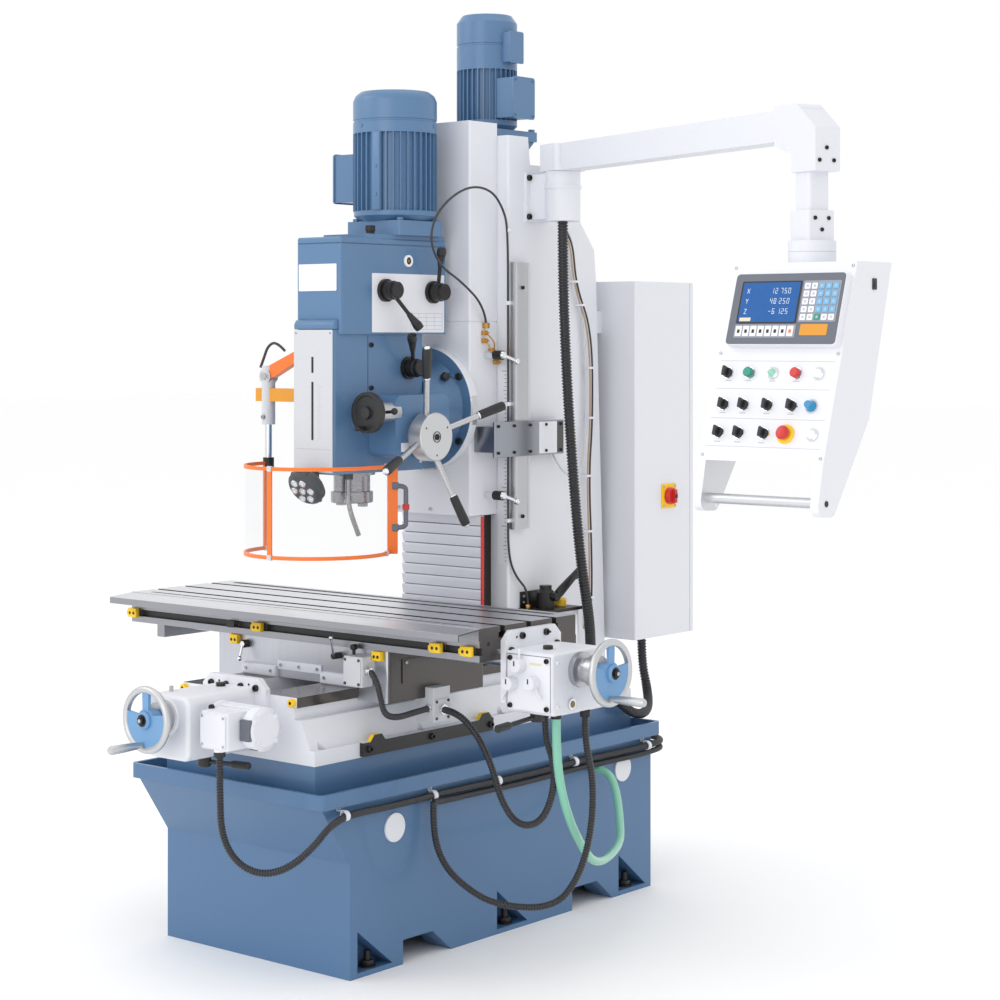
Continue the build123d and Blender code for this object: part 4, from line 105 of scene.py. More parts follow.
class SkinGroup:
    """Shader group that gives a surface its grain, shade changes and bump."""

    NAME = "surface_skin"
    FINE_DETAIL = 4.0
    BROAD_SCALE = 2.6
    BROAD_DETAIL = 5.0
    MIDDLE = 0.5
    BUMP_DISTANCE = 0.0006
    INPUTS = (
        ("Colour", "NodeSocketColor"),
        ("Shade", "NodeSocketColor"),
        ("Stretch", "NodeSocketVector"),
        ("Scale", "NodeSocketFloat"),
        ("Roughness", "NodeSocketFloat"),
        ("Spread", "NodeSocketFloat"),
        ("Depth", "NodeSocketFloat"),
    )

    @classmethod
    def tree(cls) -> bpy.types.NodeTree:
        """Builds the group once.

        Returns:
            The shader group.
        """
        ready = bpy.data.node_groups.get(cls.NAME)
        if ready:
            return ready
        tree = bpy.data.node_groups.new(cls.NAME, "ShaderNodeTree")
        for label, kind in cls.INPUTS:
            tree.interface.new_socket(name=label, in_out="INPUT", socket_type=kind)
        tree.interface.new_socket(name="Colour", in_out="OUTPUT", socket_type="NodeSocketColor")
        tree.interface.new_socket(name="Roughness", in_out="OUTPUT", socket_type="NodeSocketFloat")
        tree.interface.new_socket(name="Normal", in_out="OUTPUT", socket_type="NodeSocketVector")
        given = tree.nodes.new("NodeGroupInput")
        out = tree.nodes.new("NodeGroupOutput")
        place = tree.nodes.new("ShaderNodeTexCoord")
        stretch = tree.nodes.new("ShaderNodeVectorMath")
        stretch.operation = "MULTIPLY"
        fine = tree.nodes.new("ShaderNodeTexNoise")
        fine.inputs["Detail"].default_value = cls.FINE_DETAIL
        broad = tree.nodes.new("ShaderNodeTexNoise")
        broad.inputs["Scale"].default_value = cls.BROAD_SCALE
        broad.inputs["Detail"].default_value = cls.BROAD_DETAIL
        both = tree.nodes.new("ShaderNodeMath")
        both.operation = "MULTIPLY"
        mix = tree.nodes.new("ShaderNodeMix")
        mix.data_type = "RGBA"
        centred = tree.nodes.new("ShaderNodeMath")
        centred.operation = "SUBTRACT"
        centred.inputs[1].default_value = cls.MIDDLE
        rough = tree.nodes.new("ShaderNodeMath")
        rough.operation = "MULTIPLY_ADD"
        bump = tree.nodes.new("ShaderNodeBump")
        bump.inputs["Distance"].default_value = cls.BUMP_DISTANCE
        link = tree.links.new
        link(place.outputs["Object"], stretch.inputs[0])
        link(given.outputs["Stretch"], stretch.inputs[1])
        link(stretch.outputs["Vector"], fine.inputs["Vector"])
        link(given.outputs["Scale"], fine.inputs["Scale"])
        link(place.outputs["Object"], broad.inputs["Vector"])
        link(fine.outputs["Fac"], both.inputs[0])
        link(broad.outputs["Fac"], both.inputs[1])
        link(both.outputs["Value"], mix.inputs["Factor"])
        link(given.outputs["Colour"], mix.inputs["A"])
        link(given.outputs["Shade"], mix.inputs["B"])
        link(fine.outputs["Fac"], centred.inputs[0])
        link(centred.outputs["Value"], rough.inputs[0])
        link(given.outputs["Spread"], rough.inputs[1])
        link(given.outputs["Roughness"], rough.inputs[2])
        link(fine.outputs["Fac"], bump.inputs["Height"])
        link(given.outputs["Depth"], bump.inputs["Strength"])
        link(mix.outputs["Result"], out.inputs["Colour"])
        link(rough.outputs["Value"], out.inputs["Roughness"])
        link(bump.outputs["Normal"], out.inputs["Normal"])
        return tree


@dataclass(frozen=True)
class Finish:
    """A surface finish.

    Args:
        name: Plain name of the finish.
        colour: Linear colour.
        roughness: Middle roughness.
        metallic: 1 for bare metal.
        skin: Direction of the grain.
        scale: Fineness of the grain, in cells a metre.
        depth: Strength of the grain as bump.
        shade: How much darker the mottled places are.
        spread: How much the roughness changes over the grain.
        coat: Weight of a clear coat.
        alpha: Under 1 for a clear sheet.
        glow: Strength of its own light.
    """

    name: str
    colour: Colour
    roughness: float
    metallic: float = 0.0
    skin: Skin = Skin.EVEN
    scale: float = 420.0
    depth: float = 0.12
    shade: float = 0.12
    spread: float = 0.14
    coat: float = 0.0
    alpha: float = 1.0
    glow: float = 0.0

    def material(self) -> bpy.types.Material:
        """Builds the finish's material once.

        Returns:
            The material.
        """
        label = self.name + "_finish"
        ready = bpy.data.materials.get(label)
        if ready:
            return ready
        made = bpy.data.materials.new(label)
        made.use_nodes = True
        tree = made.node_tree
        shader = tree.nodes["Principled BSDF"]
        shader.inputs["Metallic"].default_value = self.metallic
        shader.inputs["Coat Weight"].default_value = self.coat
        shader.inputs["Alpha"].default_value = self.alpha
        if self.glow:
            shader.inputs["Emission Color"].default_value = (*self.colour, 1.0)
            shader.inputs["Emission Strength"].default_value = self.glow
        skin = tree.nodes.new("ShaderNodeGroup")
        skin.node_tree = SkinGroup.tree()
        skin.inputs["Colour"].default_value = (*self.colour, 1.0)
        dark = [value * (1.0 - self.shade) for value in self.colour]
        skin.inputs["Shade"].default_value = (*dark, 1.0)
        skin.inputs["Stretch"].default_value = self.skin.value
        skin.inputs["Scale"].default_value = self.scale
        skin.inputs["Roughness"].default_value = self.roughness
        skin.inputs["Spread"].default_value = self.spread
        skin.inputs["Depth"].default_value = self.depth
        tree.links.new(skin.outputs["Colour"], shader.inputs["Base Color"])
        tree.links.new(skin.outputs["Roughness"], shader.inputs["Roughness"])
        tree.links.new(skin.outputs["Normal"], shader.inputs["Normal"])
        return made


BLUE = Finish("blue_enamel", paint(86, 122, 160), 0.38, scale=260, depth=0.18, coat=0.15)
# Painted shade: a darker copy of the blue enamel, for the base.
SHADED_BASE_BLUE = Finish("base_enamel_shaded", paint(78, 114, 153), 0.38, scale=260, depth=0.18, coat=0.15)
WHITE = Finish("white_enamel", paint(224, 226, 232), 0.45, scale=260, depth=0.16, shade=0.05)
PANEL_WHITE = Finish("panel_white", paint(230, 231, 237), 0.4, scale=900, depth=0.05, shade=0.03)
GREY = Finish("grey_enamel", paint(204, 206, 211), 0.48, scale=260, depth=0.16)
GROUND = Finish("ground_iron", paint(204, 205, 209), 0.34, 1, Skin.ALONG_X, 700, 0.1, 0.3, 0.2)
PLANED = Finish("planed_iron", paint(200, 202, 210), 0.4, 1, Skin.ALONG_Z, 500, 0.1, 0.2)
# Milled iron grain, with painted shade: the table's upright faces are made darker than its top.
SHADED_TABLE_SIDE = Finish("milled_iron_shaded", paint(164, 165, 171), 0.36, 1, Skin.ALONG_X, 500, 0.12, 0.3, 0.2)
# Painted shade: bare iron made darker for faces that turn to +X on the saddle and table; the scale reader's
# end plate uses it too.
SHADED_IRON = Finish("shaded_iron", paint(98, 95, 94), 0.36, 1, Skin.ALONG_X, 500, 0.12, 0.3, 0.2)
WAY = Finish("ground_way", paint(94, 90, 88), 0.2, 1, Skin.EVEN, 160, 0.05, 0.3)
SLOT = Finish("slot_shade", paint(62, 60, 59), 0.5, 0.8, Skin.ALONG_X, 500, 0.1, 0.3)
SCRAPED = Finish("dark_way", paint(84, 78, 74), 0.45, 1, Skin.EVEN, 160, 0.2, 0.4)
STEEL = Finish("turned_steel", paint(190, 191, 194), 0.3, 1, Skin.ROUND_Z, 900, 0.08, 0.25)
TOOL_STEEL = Finish("tool_steel", paint(160, 159, 162), 0.26, 1, Skin.ROUND_Z, 900, 0.08, 0.3)
BRUSHED = Finish("brushed_steel", paint(158, 162, 170), 0.3, 1, Skin.ALONG_Z, 600, 0.08, 0.3)
BAR_STEEL = Finish("bar_steel", paint(196, 196, 198), 0.28, 1, Skin.EVEN, 500, 0.04, 0.15)
CAST_BRIGHT = Finish("matt_bright", paint(205, 206, 208), 0.42, 1, Skin.EVEN, 700, 0.06, 0.12)
CHROME = Finish("chrome", paint(226, 228, 231), 0.12, 1, Skin.EVEN, 60, 0.01, 0.06, 0.06)
ALUMINIUM = Finish("aluminium", paint(216, 217, 220), 0.4, 1, Skin.ALONG_Z, 600, 0.06, 0.15)
BLACK = Finish("black_plastic", paint(34, 34, 36), 0.42, scale=1400, depth=0.12)
GUNMETAL = Finish("black_steel", paint(52, 50, 50), 0.36, 0.6, scale=900, depth=0.08)
RUBBER = Finish("black_conduit", paint(50, 50, 53), 0.36, scale=800, depth=0.1)
GREEN_HOSE = Finish("green_hose", paint(138, 206, 180), 0.22, scale=60, depth=0.02, coat=0.3, alpha=0.9)
YELLOW = Finish("yellow_plastic", paint(250, 203, 28), 0.4, scale=900, depth=0.08)
RED = Finish("red_plastic", paint(206, 40, 38), 0.32, scale=900, depth=0.05, coat=0.2)
GREEN = Finish("green_plastic", paint(18, 142, 118), 0.3, scale=900, depth=0.05, coat=0.2)
PALE_GREEN = Finish("pale_green_lens", paint(140, 206, 180), 0.22, scale=300, depth=0.03, coat=0.3)
MILK = Finish("white_lens", paint(244, 244, 244), 0.25, scale=300, depth=0.03, coat=0.3)
POT_BLUE = Finish("blue_plastic", paint(24, 138, 190), 0.3, scale=900, depth=0.05, coat=0.2)
ORANGE = Finish("orange_enamel", paint(244, 120, 44), 0.4, scale=500, depth=0.08)
AMBER = Finish("amber_bracket", paint(222, 150, 40), 0.42, scale=500, depth=0.1)
SHEET = Finish("clear_sheet", paint(206, 215, 224), 0.08, scale=30, depth=0.01, alpha=0.035)
SLAT = Finish("pale_slat", paint(220, 223, 232), 0.4, scale=600, depth=0.05, shade=0.08)
BRASS = Finish("brass", paint(206, 158, 84), 0.28, 1, scale=700, depth=0.08)
DARK_PLASTIC = Finish("dark_bezel", paint(100, 105, 116), 0.45, scale=1200, depth=0.1)
KEY_GREY = Finish("key_plate", paint(150, 154, 164), 0.45, scale=1200, depth=0.05)
SCREEN = Finish("screen_blue", paint(10, 84, 152), 0.6, scale=80, depth=0, glow=0.12)
DIGIT = Finish("screen_white", paint(226, 234, 242), 0.4, scale=80, depth=0, glow=0.2)
KEY_BLUE = Finish("key_blue", paint(110, 178, 222), 0.4, scale=900, depth=0.05)
GLASS = Finish("oil_glass", paint(120, 92, 40), 0.08, scale=80, depth=0.01, coat=0.6)
INK = Finish("plate_ink", paint(186, 190, 197), 0.5, scale=900, depth=0)
WEB_BLUE = Finish("wheel_blue", paint(112, 158, 202), 0.45, scale=300, depth=0.12)
WIRE = Finish("tan_wire", paint(176, 150, 126), 0.45, scale=600, depth=0.03)
LABEL = Finish("label_brass", paint(226, 214, 180), 0.4, scale=700, depth=0.04)
LED = Finish("lamp_lens", paint(238, 240, 244), 0.15, scale=200, depth=0.02, coat=0.5)


# Mesh making

TURNED_WELD = 0.01
SHARP_DEGREES = 38


@dataclass(frozen=True)
class Face:
    """A flat place that pieces stand on, in millimetres.

    Args:
        origin: Where its own zero is.
        across: Direction of its first axis.
        up: Direction of its second axis; the normal is across times up.
    """

    origin: Point
    across: Point = (1, 0, 0)
    up: Point = (0, 1, 0)

    @classmethod
    def along(cls, origin: Vector, direction: Vector) -> "Face":
        """Makes a face whose normal runs along a direction.

        Args:
            origin: Where its zero is.
            direction: Direction of its normal, of length 1.

        Returns:
            The face.
        """
        across = direction.orthogonal().normalized()
        return cls(tuple(origin), tuple(across), tuple(direction.cross(across)))

    def matrix(self) -> Matrix:
        """Gives the turn and move from the face's own axes to the frame.

        Returns:
            The 4 by 4 matrix.
        """
        first = Vector(self.across).normalized()
        normal = first.cross(Vector(self.up)).normalized()
        second = normal.cross(first)
        turn = Matrix((first, second, normal)).transposed().to_4x4()
        return Matrix.Translation(Vector(self.origin)) @ turn


def front(x: float, y: float, z: float) -> Face:
    """Face towards the operator: across is +X and up is +Z."""
    return Face((x, y, z), (1, 0, 0), (0, 0, 1))


def right(x: float, y: float, z: float) -> Face:
    """Face towards +X: across is +Y and up is +Z."""
    return Face((x, y, z), (0, 1, 0), (0, 0, 1))


def left(x: float, y: float, z: float) -> Face:
    """Face towards -X: across is -Y and up is +Z."""
    return Face((x, y, z), (0, -1, 0), (0, 0, 1))


def top(x: float, y: float, z: float) -> Face:
    """Face upwards: across is +X and up is +Y."""
    return Face((x, y, z))


def under(x: float, y: float, z: float) -> Face:
    """Face downwards: across is +X and up is -Y."""
    return Face((x, y, z), (1, 0, 0), (0, -1, 0))


FLOOR = top(0, 0, 0)


def row_of(places: Sequence[float], height: float = 0) -> Spots:
    """Gives spots side by side at one height."""
    return tuple((place, height) for place in places)


def grid_of(columns: Sequence[float], rows: Sequence[float]) -> Spots:
    """Gives the spots where columns and rows cross, row by row."""
    return tuple((column, row) for row in rows for column in columns)


def corners_of(wide: float, tall: float) -> Spots:
    """Gives four spots at the same distances either side of zero."""
    return grid_of((-wide, wide), (-tall, tall))


def ring_of(radius: float, degrees: Sequence[float]) -> Spots:
    """Gives spots on a circle at some angles."""
    turns = [math.radians(degree) for degree in degrees]
    return tuple((radius * math.cos(turn), radius * math.sin(turn)) for turn in turns)


def steps_of(count: int, pitch: float, start: float = 0) -> Numbers:
    """Gives values at even steps from a first one."""
    return tuple(start + pitch * k for k in range(count))


def box_mesh(size: Sequence[float], middle: Sequence[float]) -> bmesh.types.BMesh:
    """Makes a plain box.

    Args:
        size: Its three sides.
        middle: Where its middle is.

    Returns:
        The mesh.
    """
    part = bmesh.new()
    bmesh.ops.create_cube(part, size=1)
    bmesh.ops.scale(part, vec=size, verts=part.verts)
    bmesh.ops.translate(part, vec=middle, verts=part.verts)
    return part


def ease_edges(part: bmesh.types.BMesh, edges: Sequence[bmesh.types.BMEdge], width: float,
               steps: int = 2) -> None:
    """Eases edges of a mesh.

    Args:
        part: The mesh.
        edges: The edges.
        width: Width of the eased edge.
        steps: Faces across it.
    """
    bmesh.ops.bevel(part, geom=edges, offset=width, offset_type="OFFSET", segments=steps,
                    profile=0.5, affect="EDGES", material=-1)


def spin_round(part: bmesh.types.BMesh, geom: Sequence, axis: Point, sides: int, weld: float) -> None:
    """Turns a line of a mesh round an axis through zero and closes the result.

    Args:
        part: The mesh.
        geom: The line's vertices and edges.
        axis: Direction of the axis.
        sides: Steps of the full turn.
        weld: Distance under which vertices become one.
    """
    bmesh.ops.spin(part, geom=geom, cent=(0, 0, 0), axis=axis, dvec=(0, 0, 0), angle=2 * math.pi,
                   steps=sides, use_merge=True, use_duplicate=False)
    bmesh.ops.remove_doubles(part, verts=part.verts, dist=weld)
    bmesh.ops.recalc_face_normals(part, faces=part.faces)


def turned_mesh(profile: Profile, sides: int) -> bmesh.types.BMesh:
    """Turns a profile round the third axis.

    Args:
        profile: Points of radius and height, from one end of the axis to the other.
        sides: Steps of the full turn.

    Returns:
        The mesh.
    """
    part = bmesh.new()
    line = [part.verts.new((radius, 0, height)) for radius, height in profile]
    edges = [part.edges.new(pair) for pair in zip(line, line[1:])]
    spin_round(part, line + edges, (0, 0, 1), sides, TURNED_WELD)
    return part


class Shape:
    """A piece under construction."""

    def __init__(self) -> None:
        """Starts with nothing."""
        self.whole = bmesh.new()
        self.finishes: list[Finish] = []

    def join(self, part: bmesh.types.BMesh, finish: Finish, place: Matrix) -> None:
        """Adds a part to the piece.

        Args:
            part: The part's mesh, which is used up.
            finish: Its finish.
            place: Where it goes.
        """
        if finish not in self.finishes:
            self.finishes.append(finish)
        bmesh.ops.transform(part, matrix=place, verts=part.verts)
        for face in part.faces:
            face.material_index = self.finishes.index(finish)
            face.smooth = True
        carrier = bpy.data.meshes.new("carrier")
        part.to_mesh(carrier)
        part.free()
        self.whole.from_mesh(carrier)
        bpy.data.meshes.remove(carrier)

    def object(self, name: str, unit: float = 1) -> bpy.types.Object:
        """Turns the mesh into an object with its finishes.

        Args:
            name: Name of the object.
            unit: Length of the mesh's unit in metres.

        Returns:
            The object.
        """
        bmesh.ops.scale(self.whole, vec=(unit, unit, unit), verts=self.whole.verts)
        mesh = bpy.data.meshes.new(name)
        self.whole.to_mesh(mesh)
        self.whole.free()
        mesh.set_sharp_from_angle(angle=math.radians(SHARP_DEGREES))
        made = bpy.data.objects.new(name, mesh)
        for finish in self.finishes:
            mesh.materials.append(finish.material())
        bpy.context.scene.collection.objects.link(made)
        return made


@dataclass(frozen=True)
class Part:
    """A form of one finish, in millimetres, that joins a piece once or more.

    Args:
        face: The face that it stands on.
        finish: Its finish.
        spots: Where its copies stand, across and up.
    """

    face: Face
    finish: Finish
    spots: Spots = field(default=((0, 0),), kw_only=True)

    def mesh(self) -> bmesh.types.BMesh:
        """Makes the form in the face's own axes."""
        raise NotImplementedError

    def add(self, shape: Shape) -> None:
        """Joins the copies to a piece."""
        for spot in self.spots:
            shape.join(self.mesh(), self.finish, self.face.matrix() @ Matrix.Translation((*spot, 0)))


@dataclass(frozen=True)
class Block(Part):
    """A box with eased edges.

    Args:
        low: Lowest corner, across, up and over the face.
        high: Highest corner.
        bevel: Width of the eased edges.
    """

    LARGEST_SHARE: ClassVar[float] = 0.45

    low: Point
    high: Point
    bevel: float = 0.8

    def mesh(self) -> bmesh.types.BMesh:
        """Makes the box.

        Returns:
            The mesh.
        """
        size = [b - a for a, b in zip(self.low, self.high)]
        part = box_mesh(size, [(a + b) / 2 for a, b in zip(self.low, self.high)])
        ease_edges(part, part.edges, min(self.bevel, self.LARGEST_SHARE * min(size)))
        return part


@dataclass(frozen=True)
class Plate(Part):
    """A flat plate with rounded corners.

    Args:
        low: Lowest corner, across and up.
        high: Highest corner.
        thick: Its thickness.
        corner: Radius of its corners.
        lift: Its height over the face.
    """

    LARGEST_SHARE: ClassVar[float] = 0.49
    CORNER_STEPS: ClassVar[int] = 5

    low: Spot
    high: Spot
    thick: float
    corner: float = 3
    lift: float = 0

    def mesh(self) -> bmesh.types.BMesh:
        """Makes the plate.

        Returns:
            The mesh.
        """
        wide, tall = (b - a for a, b in zip(self.low, self.high))
        middle = [(a + b) / 2 for a, b in zip(self.low, self.high)]
        part = box_mesh((wide, tall, self.thick), (*middle, self.lift + self.thick / 2))
        posts = [e for e in part.edges if abs(e.verts[0].co.z - e.verts[1].co.z) > self.thick / 2]
        ease_edges(part, posts, min(self.corner, self.LARGEST_SHARE * min(wide, tall)), self.CORNER_STEPS)
        return part


@dataclass(frozen=True)
class Turned(Part):
    """A turned form.

    Args:
        profile: Points of radius and height, from one end of the axis to the other.
        sides: Steps of the full turn.
    """

    profile: Profile
    sides: int = 32

    def mesh(self) -> bmesh.types.BMesh:
        """Turns the profile."""
        return turned_mesh(self.profile, self.sides)


@dataclass(frozen=True)
class Rod(Part):
    """A round bar with eased rims.

    Args:
        bar: Its radius and the heights of its two ends.
        sides: Steps of the full turn.
    """

    RIM: ClassVar[float] = 0.6
    LARGEST_SHARE: ClassVar[float] = 0.4

    bar: Bar
    sides: int = 32

    def mesh(self) -> bmesh.types.BMesh:
        """Makes the bar.

        Returns:
            The mesh.
        """
        radius, low, high = self.bar
        ease = min(self.RIM, self.LARGEST_SHARE * radius, self.LARGEST_SHARE * abs(high - low))
        profile = ((0, low), (radius - ease, low), (radius, low + ease),
                   (radius, high - ease), (radius - ease, high), (0, high))
        return turned_mesh(profile, self.sides)


@dataclass(frozen=True)
class Screw(Part):
    """A socket head screw.

    Args:
        radius: Radius of its head.
        height: Height of its head, or 0 for the usual one.
    """

    PROFILE: ClassVar[Profile] = ((0, 0.4), (0.5, 0.4), (0.55, 1), (0.88, 1), (1, 0.8), (1, 0), (0, 0))
    USUAL_SHARE: ClassVar[float] = 0.9
    SIDES: ClassVar[int] = 18

    radius: float
    height: float = 0

    def mesh(self) -> bmesh.types.BMesh:
        """Makes the head.

        Returns:
            The mesh.
        """
        tall = self.height or self.radius * self.USUAL_SHARE
        profile = tuple((self.radius * share, tall * level) for share, level in self.PROFILE)
        return turned_mesh(profile, self.SIDES)


@dataclass(frozen=True)
class Hexagon(Part):
    """A hexagon head.

    Args:
        bar: Its radius and the heights of its two ends.
    """

    EASED_SHARE: ClassVar[float] = 0.06

    bar: Bar

    def mesh(self) -> bmesh.types.BMesh:
        """Makes the head.

        Returns:
            The mesh.
        """
        radius, low, high = self.bar
        part = bmesh.new()
        bmesh.ops.create_cone(part, cap_ends=True, segments=6, radius1=radius, radius2=radius,
                              depth=high - low)
        ease_edges(part, part.edges, radius * self.EASED_SHARE)
        bmesh.ops.translate(part, vec=(0, 0, (low + high) / 2), verts=part.verts)
        return part


@dataclass(frozen=True)
class Ball(Part):
    """A ball.

    Args:
        radius: Its radius.
        lift: Height of its middle over the face.
    """

    STEPS: ClassVar[int] = 24
    RINGS: ClassVar[int] = 14

    radius: float
    lift: float = 0

    def mesh(self) -> bmesh.types.BMesh:
        """Makes the ball.

        Returns:
            The mesh.
        """
        part = bmesh.new()
        bmesh.ops.create_uvsphere(part, u_segments=self.STEPS, v_segments=self.RINGS, radius=self.radius)
        bmesh.ops.translate(part, vec=(0, 0, self.lift), verts=part.verts)
        return part


@dataclass(frozen=True)
class Prism(Part):
    """A straight-sided form with an outline on a face.

    Args:
        outline: Its corners, across and up.
        low: Height of its lower end over the face.
        high: Height of its upper end.
        bevel: Width of its eased edges.
    """

    outline: Profile
    low: float
    high: float
    bevel: float = 0.8

    def mesh(self) -> bmesh.types.BMesh:
        """Makes the form.

        Returns:
            The mesh.
        """
        part = bmesh.new()
        part.faces.new([part.verts.new((u, v, self.low)) for u, v in self.outline])
        grown = bmesh.ops.extrude_face_region(part, geom=part.faces[:])
        moved = [item for item in grown["geom"] if isinstance(item, bmesh.types.BMVert)]
        bmesh.ops.translate(part, vec=(0, 0, self.high - self.low), verts=moved)
        bmesh.ops.recalc_face_normals(part, faces=part.faces)
        ease_edges(part, part.edges, self.bevel)
        return part


@dataclass(frozen=True)
class Pipe(Part):
    """A smooth round bar along a short route.

    Args:
        route: Control points of its line.
        radius: Its radius.
        sides: Steps round it.
    """

    STEP: ClassVar[float] = 0.004

    route: Route
    radius: float
    sides: int = 14

    def mesh(self) -> bmesh.types.BMesh:
        """Bends the bar along its route.

        Returns:
            The mesh.
        """
        line = smooth_line([Vector(point) * MM for point in self.route])
        ends = [(0, self.radius * MM), (run_length(line), self.radius * MM)]
        part = tube_along(line, ends, self.sides, self.STEP)
        bmesh.ops.scale(part, vec=(1 / MM, 1 / MM, 1 / MM), verts=part.verts)
        return part


@dataclass(frozen=True)
class Arc(Part):
    """A bar of rectangular section that runs round a face's normal, from its first axis on.

    Args:
        low: Smallest radius and lower height.
        high: Largest radius and upper height.
        sweep: The angle that it covers, in degrees.
    """

    STEP: ClassVar[float] = 5

    low: Spot
    high: Spot
    sweep: float

    def mesh(self) -> bmesh.types.BMesh:
        """Turns the section.

        Returns:
            The mesh.
        """
        part = bmesh.new()
        section = (self.low, (self.high[0], self.low[1]), self.high, (self.low[0], self.high[1]))
        part.faces.new([part.verts.new((radius, 0, z)) for radius, z in section])
        geom = part.verts[:] + part.edges[:] + part.faces[:]
        bmesh.ops.spin(part, geom=geom, cent=(0, 0, 0), axis=(0, 0, 1), dvec=(0, 0, 0),
                       angle=math.radians(self.sweep), steps=max(2, round(self.sweep / self.STEP)),
                       use_duplicate=False)
        bmesh.ops.recalc_face_normals(part, faces=part.faces)
        return part


def carry(made: bpy.types.Object, bodies: tuple[str, ...]) -> None:
    """Lets a piece ride on a body, or stay where it is between two.

    Args:
        made: The piece.
        bodies: The one body, or the two.
    """
    if len(bodies) == 1:
        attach(made, bodies[0])
    else:
        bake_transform(made)


@dataclass(frozen=True)
class Piece:
    """A small piece made of parts.

    Args:
        name: Its name.
        bodies: The body that carries it, or the two that it lies between.
        slot: A material slot of the record, given for it; not used.
        parts: Its parts.
        node: The CAD node that it stands for, or nothing.
        span: Where the stretch between two bodies starts and ends; not used.
    """

    name: str
    bodies: tuple[str, ...]
    slot: str
    parts: tuple[Part, ...]
    node: str = ""
    span: Route = ()

    def build(self) -> None:
        shape = Shape()
        for part in self.parts:
            part.add(shape)
        made = shape.object(self.name, MM)
        carry(made, self.bodies)
        if self.node:
            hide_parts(self.node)
        log.info("piece %s on %s", self.name, " and ".join(self.bodies))


Parts = tuple[Part, ...]
Pieces = tuple[Piece, ...]


def piece(name: str, body: str, slot: str, *more: Part, node: str = "", **parts: Part) -> Piece:
    """Puts a piece together from parts with plain names.

    Args:
        name: Name of the piece.
        body: The body that carries it.
        slot: The record's material slot, which the piece keeps.
        more: Parts of a pattern.
        node: The CAD node that it stands for, or nothing.
        parts: Its other parts, by what they are.

    Returns:
        The piece.
    """
    return Piece(name, (body,), slot, (*parts.values(), *more), node)


# Cords and tubes

LINE_STEPS = 14
LINE_ORDER = 3
TUBE_WELD = 1e-6


def smooth_line(points: Sequence[Vector]) -> list[Vector]:
    """Reads the points of a smooth line through a route.

    Args:
        points: The route, as control points.

    Returns:
        Points along the NURBS line.
    """
    curve = bpy.data.curves.new("route", "CURVE")
    curve.dimensions = "3D"
    curve.resolution_u = LINE_STEPS
    spline = curve.splines.new("NURBS")
    spline.points.add(len(points) - 1)
    for node, point in zip(spline.points, points):
        node.co = (*point, 1.0)
    spline.order_u = LINE_ORDER
    spline.use_endpoint_u = True
    carrier = bpy.data.objects.new("route", curve)
    bpy.context.scene.collection.objects.link(carrier)
    bpy.context.view_layer.update()
    mesh = bpy.data.meshes.new_from_object(carrier)
    line = [vertex.co.copy() for vertex in mesh.vertices]
    bpy.data.objects.remove(carrier)
    bpy.data.curves.remove(curve)
    bpy.data.meshes.remove(mesh)
    return line


def run_length(line: Sequence[Vector]) -> float:
    """Adds up the length of a line of points."""
    return sum((b - a).length for a, b in zip(line, line[1:]))


def tube_along(line: Sequence[Vector], profile: Sequence[tuple[float, float]], sides: int,
               step: float) -> bmesh.types.BMesh:
    """Turns a straight tube and bends it along a line.

    Args:
        line: Points that the tube follows, in metres.
        profile: Points of distance along the tube and radius.
        sides: Steps round the tube.
        step: Longest stretch between two rings.

    Returns:
        The mesh of the tube, with closed ends.
    """
    stations = [profile[0]]
    for near, far in zip(profile, profile[1:]):
        count = max(1, math.ceil((far[0] - near[0]) / step))
        for k in range(1, count + 1):
            share = k / count
            stations.append((near[0] + (far[0] - near[0]) * share, near[1] + (far[1] - near[1]) * share))
    tube = bmesh.new()
    ring = [tube.verts.new((along, 0.0, radius)) for along, radius in stations]
    first = tube.verts.new((stations[0][0], 0.0, 0.0))
    last = tube.verts.new((stations[-1][0], 0.0, 0.0))
    chain = [first, *ring, last]
    edges = [tube.edges.new(pair) for pair in zip(chain, chain[1:])]
    spin_round(tube, chain + edges, (1, 0, 0), sides, TUBE_WELD)
    reach = [0.0]
    for a, b in zip(line, line[1:]):
        reach.append(reach[-1] + (b - a).length)
    frames = carried_frames(line)
    for vertex in tube.verts:
        along = min(max(vertex.co.x, 0.0), reach[-1])
        k = min(max(next((i for i, r in enumerate(reach) if r >= along), 1), 1), len(line) - 1)
        share = (along - reach[k - 1]) / max(reach[k] - reach[k - 1], 1e-9)
        centre = line[k - 1].lerp(line[k], share)
        side = frames[k - 1][0].lerp(frames[k][0], share)
        rise = frames[k - 1][1].lerp(frames[k][1], share)
        vertex.co = centre + side * vertex.co.y + rise * vertex.co.z
    bmesh.ops.recalc_face_normals(tube, faces=tube.faces)
    return tube


def carried_frames(line: Sequence[Vector]) -> list[tuple[Vector, Vector]]:
    """Carries two cross directions along a line without twist.

    Args:
        line: The points.

    Returns:
        The two directions at each point.
    """
    frames = []
    side = None
    for k in range(len(line)):
        ahead = (line[min(k + 1, len(line) - 1)] - line[max(k - 1, 0)]).normalized()
        if side is None:
            side = ahead.orthogonal().normalized()
        side = (side - ahead * side.dot(ahead)).normalized()
        frames.append((side.copy(), ahead.cross(side)))
    return frames


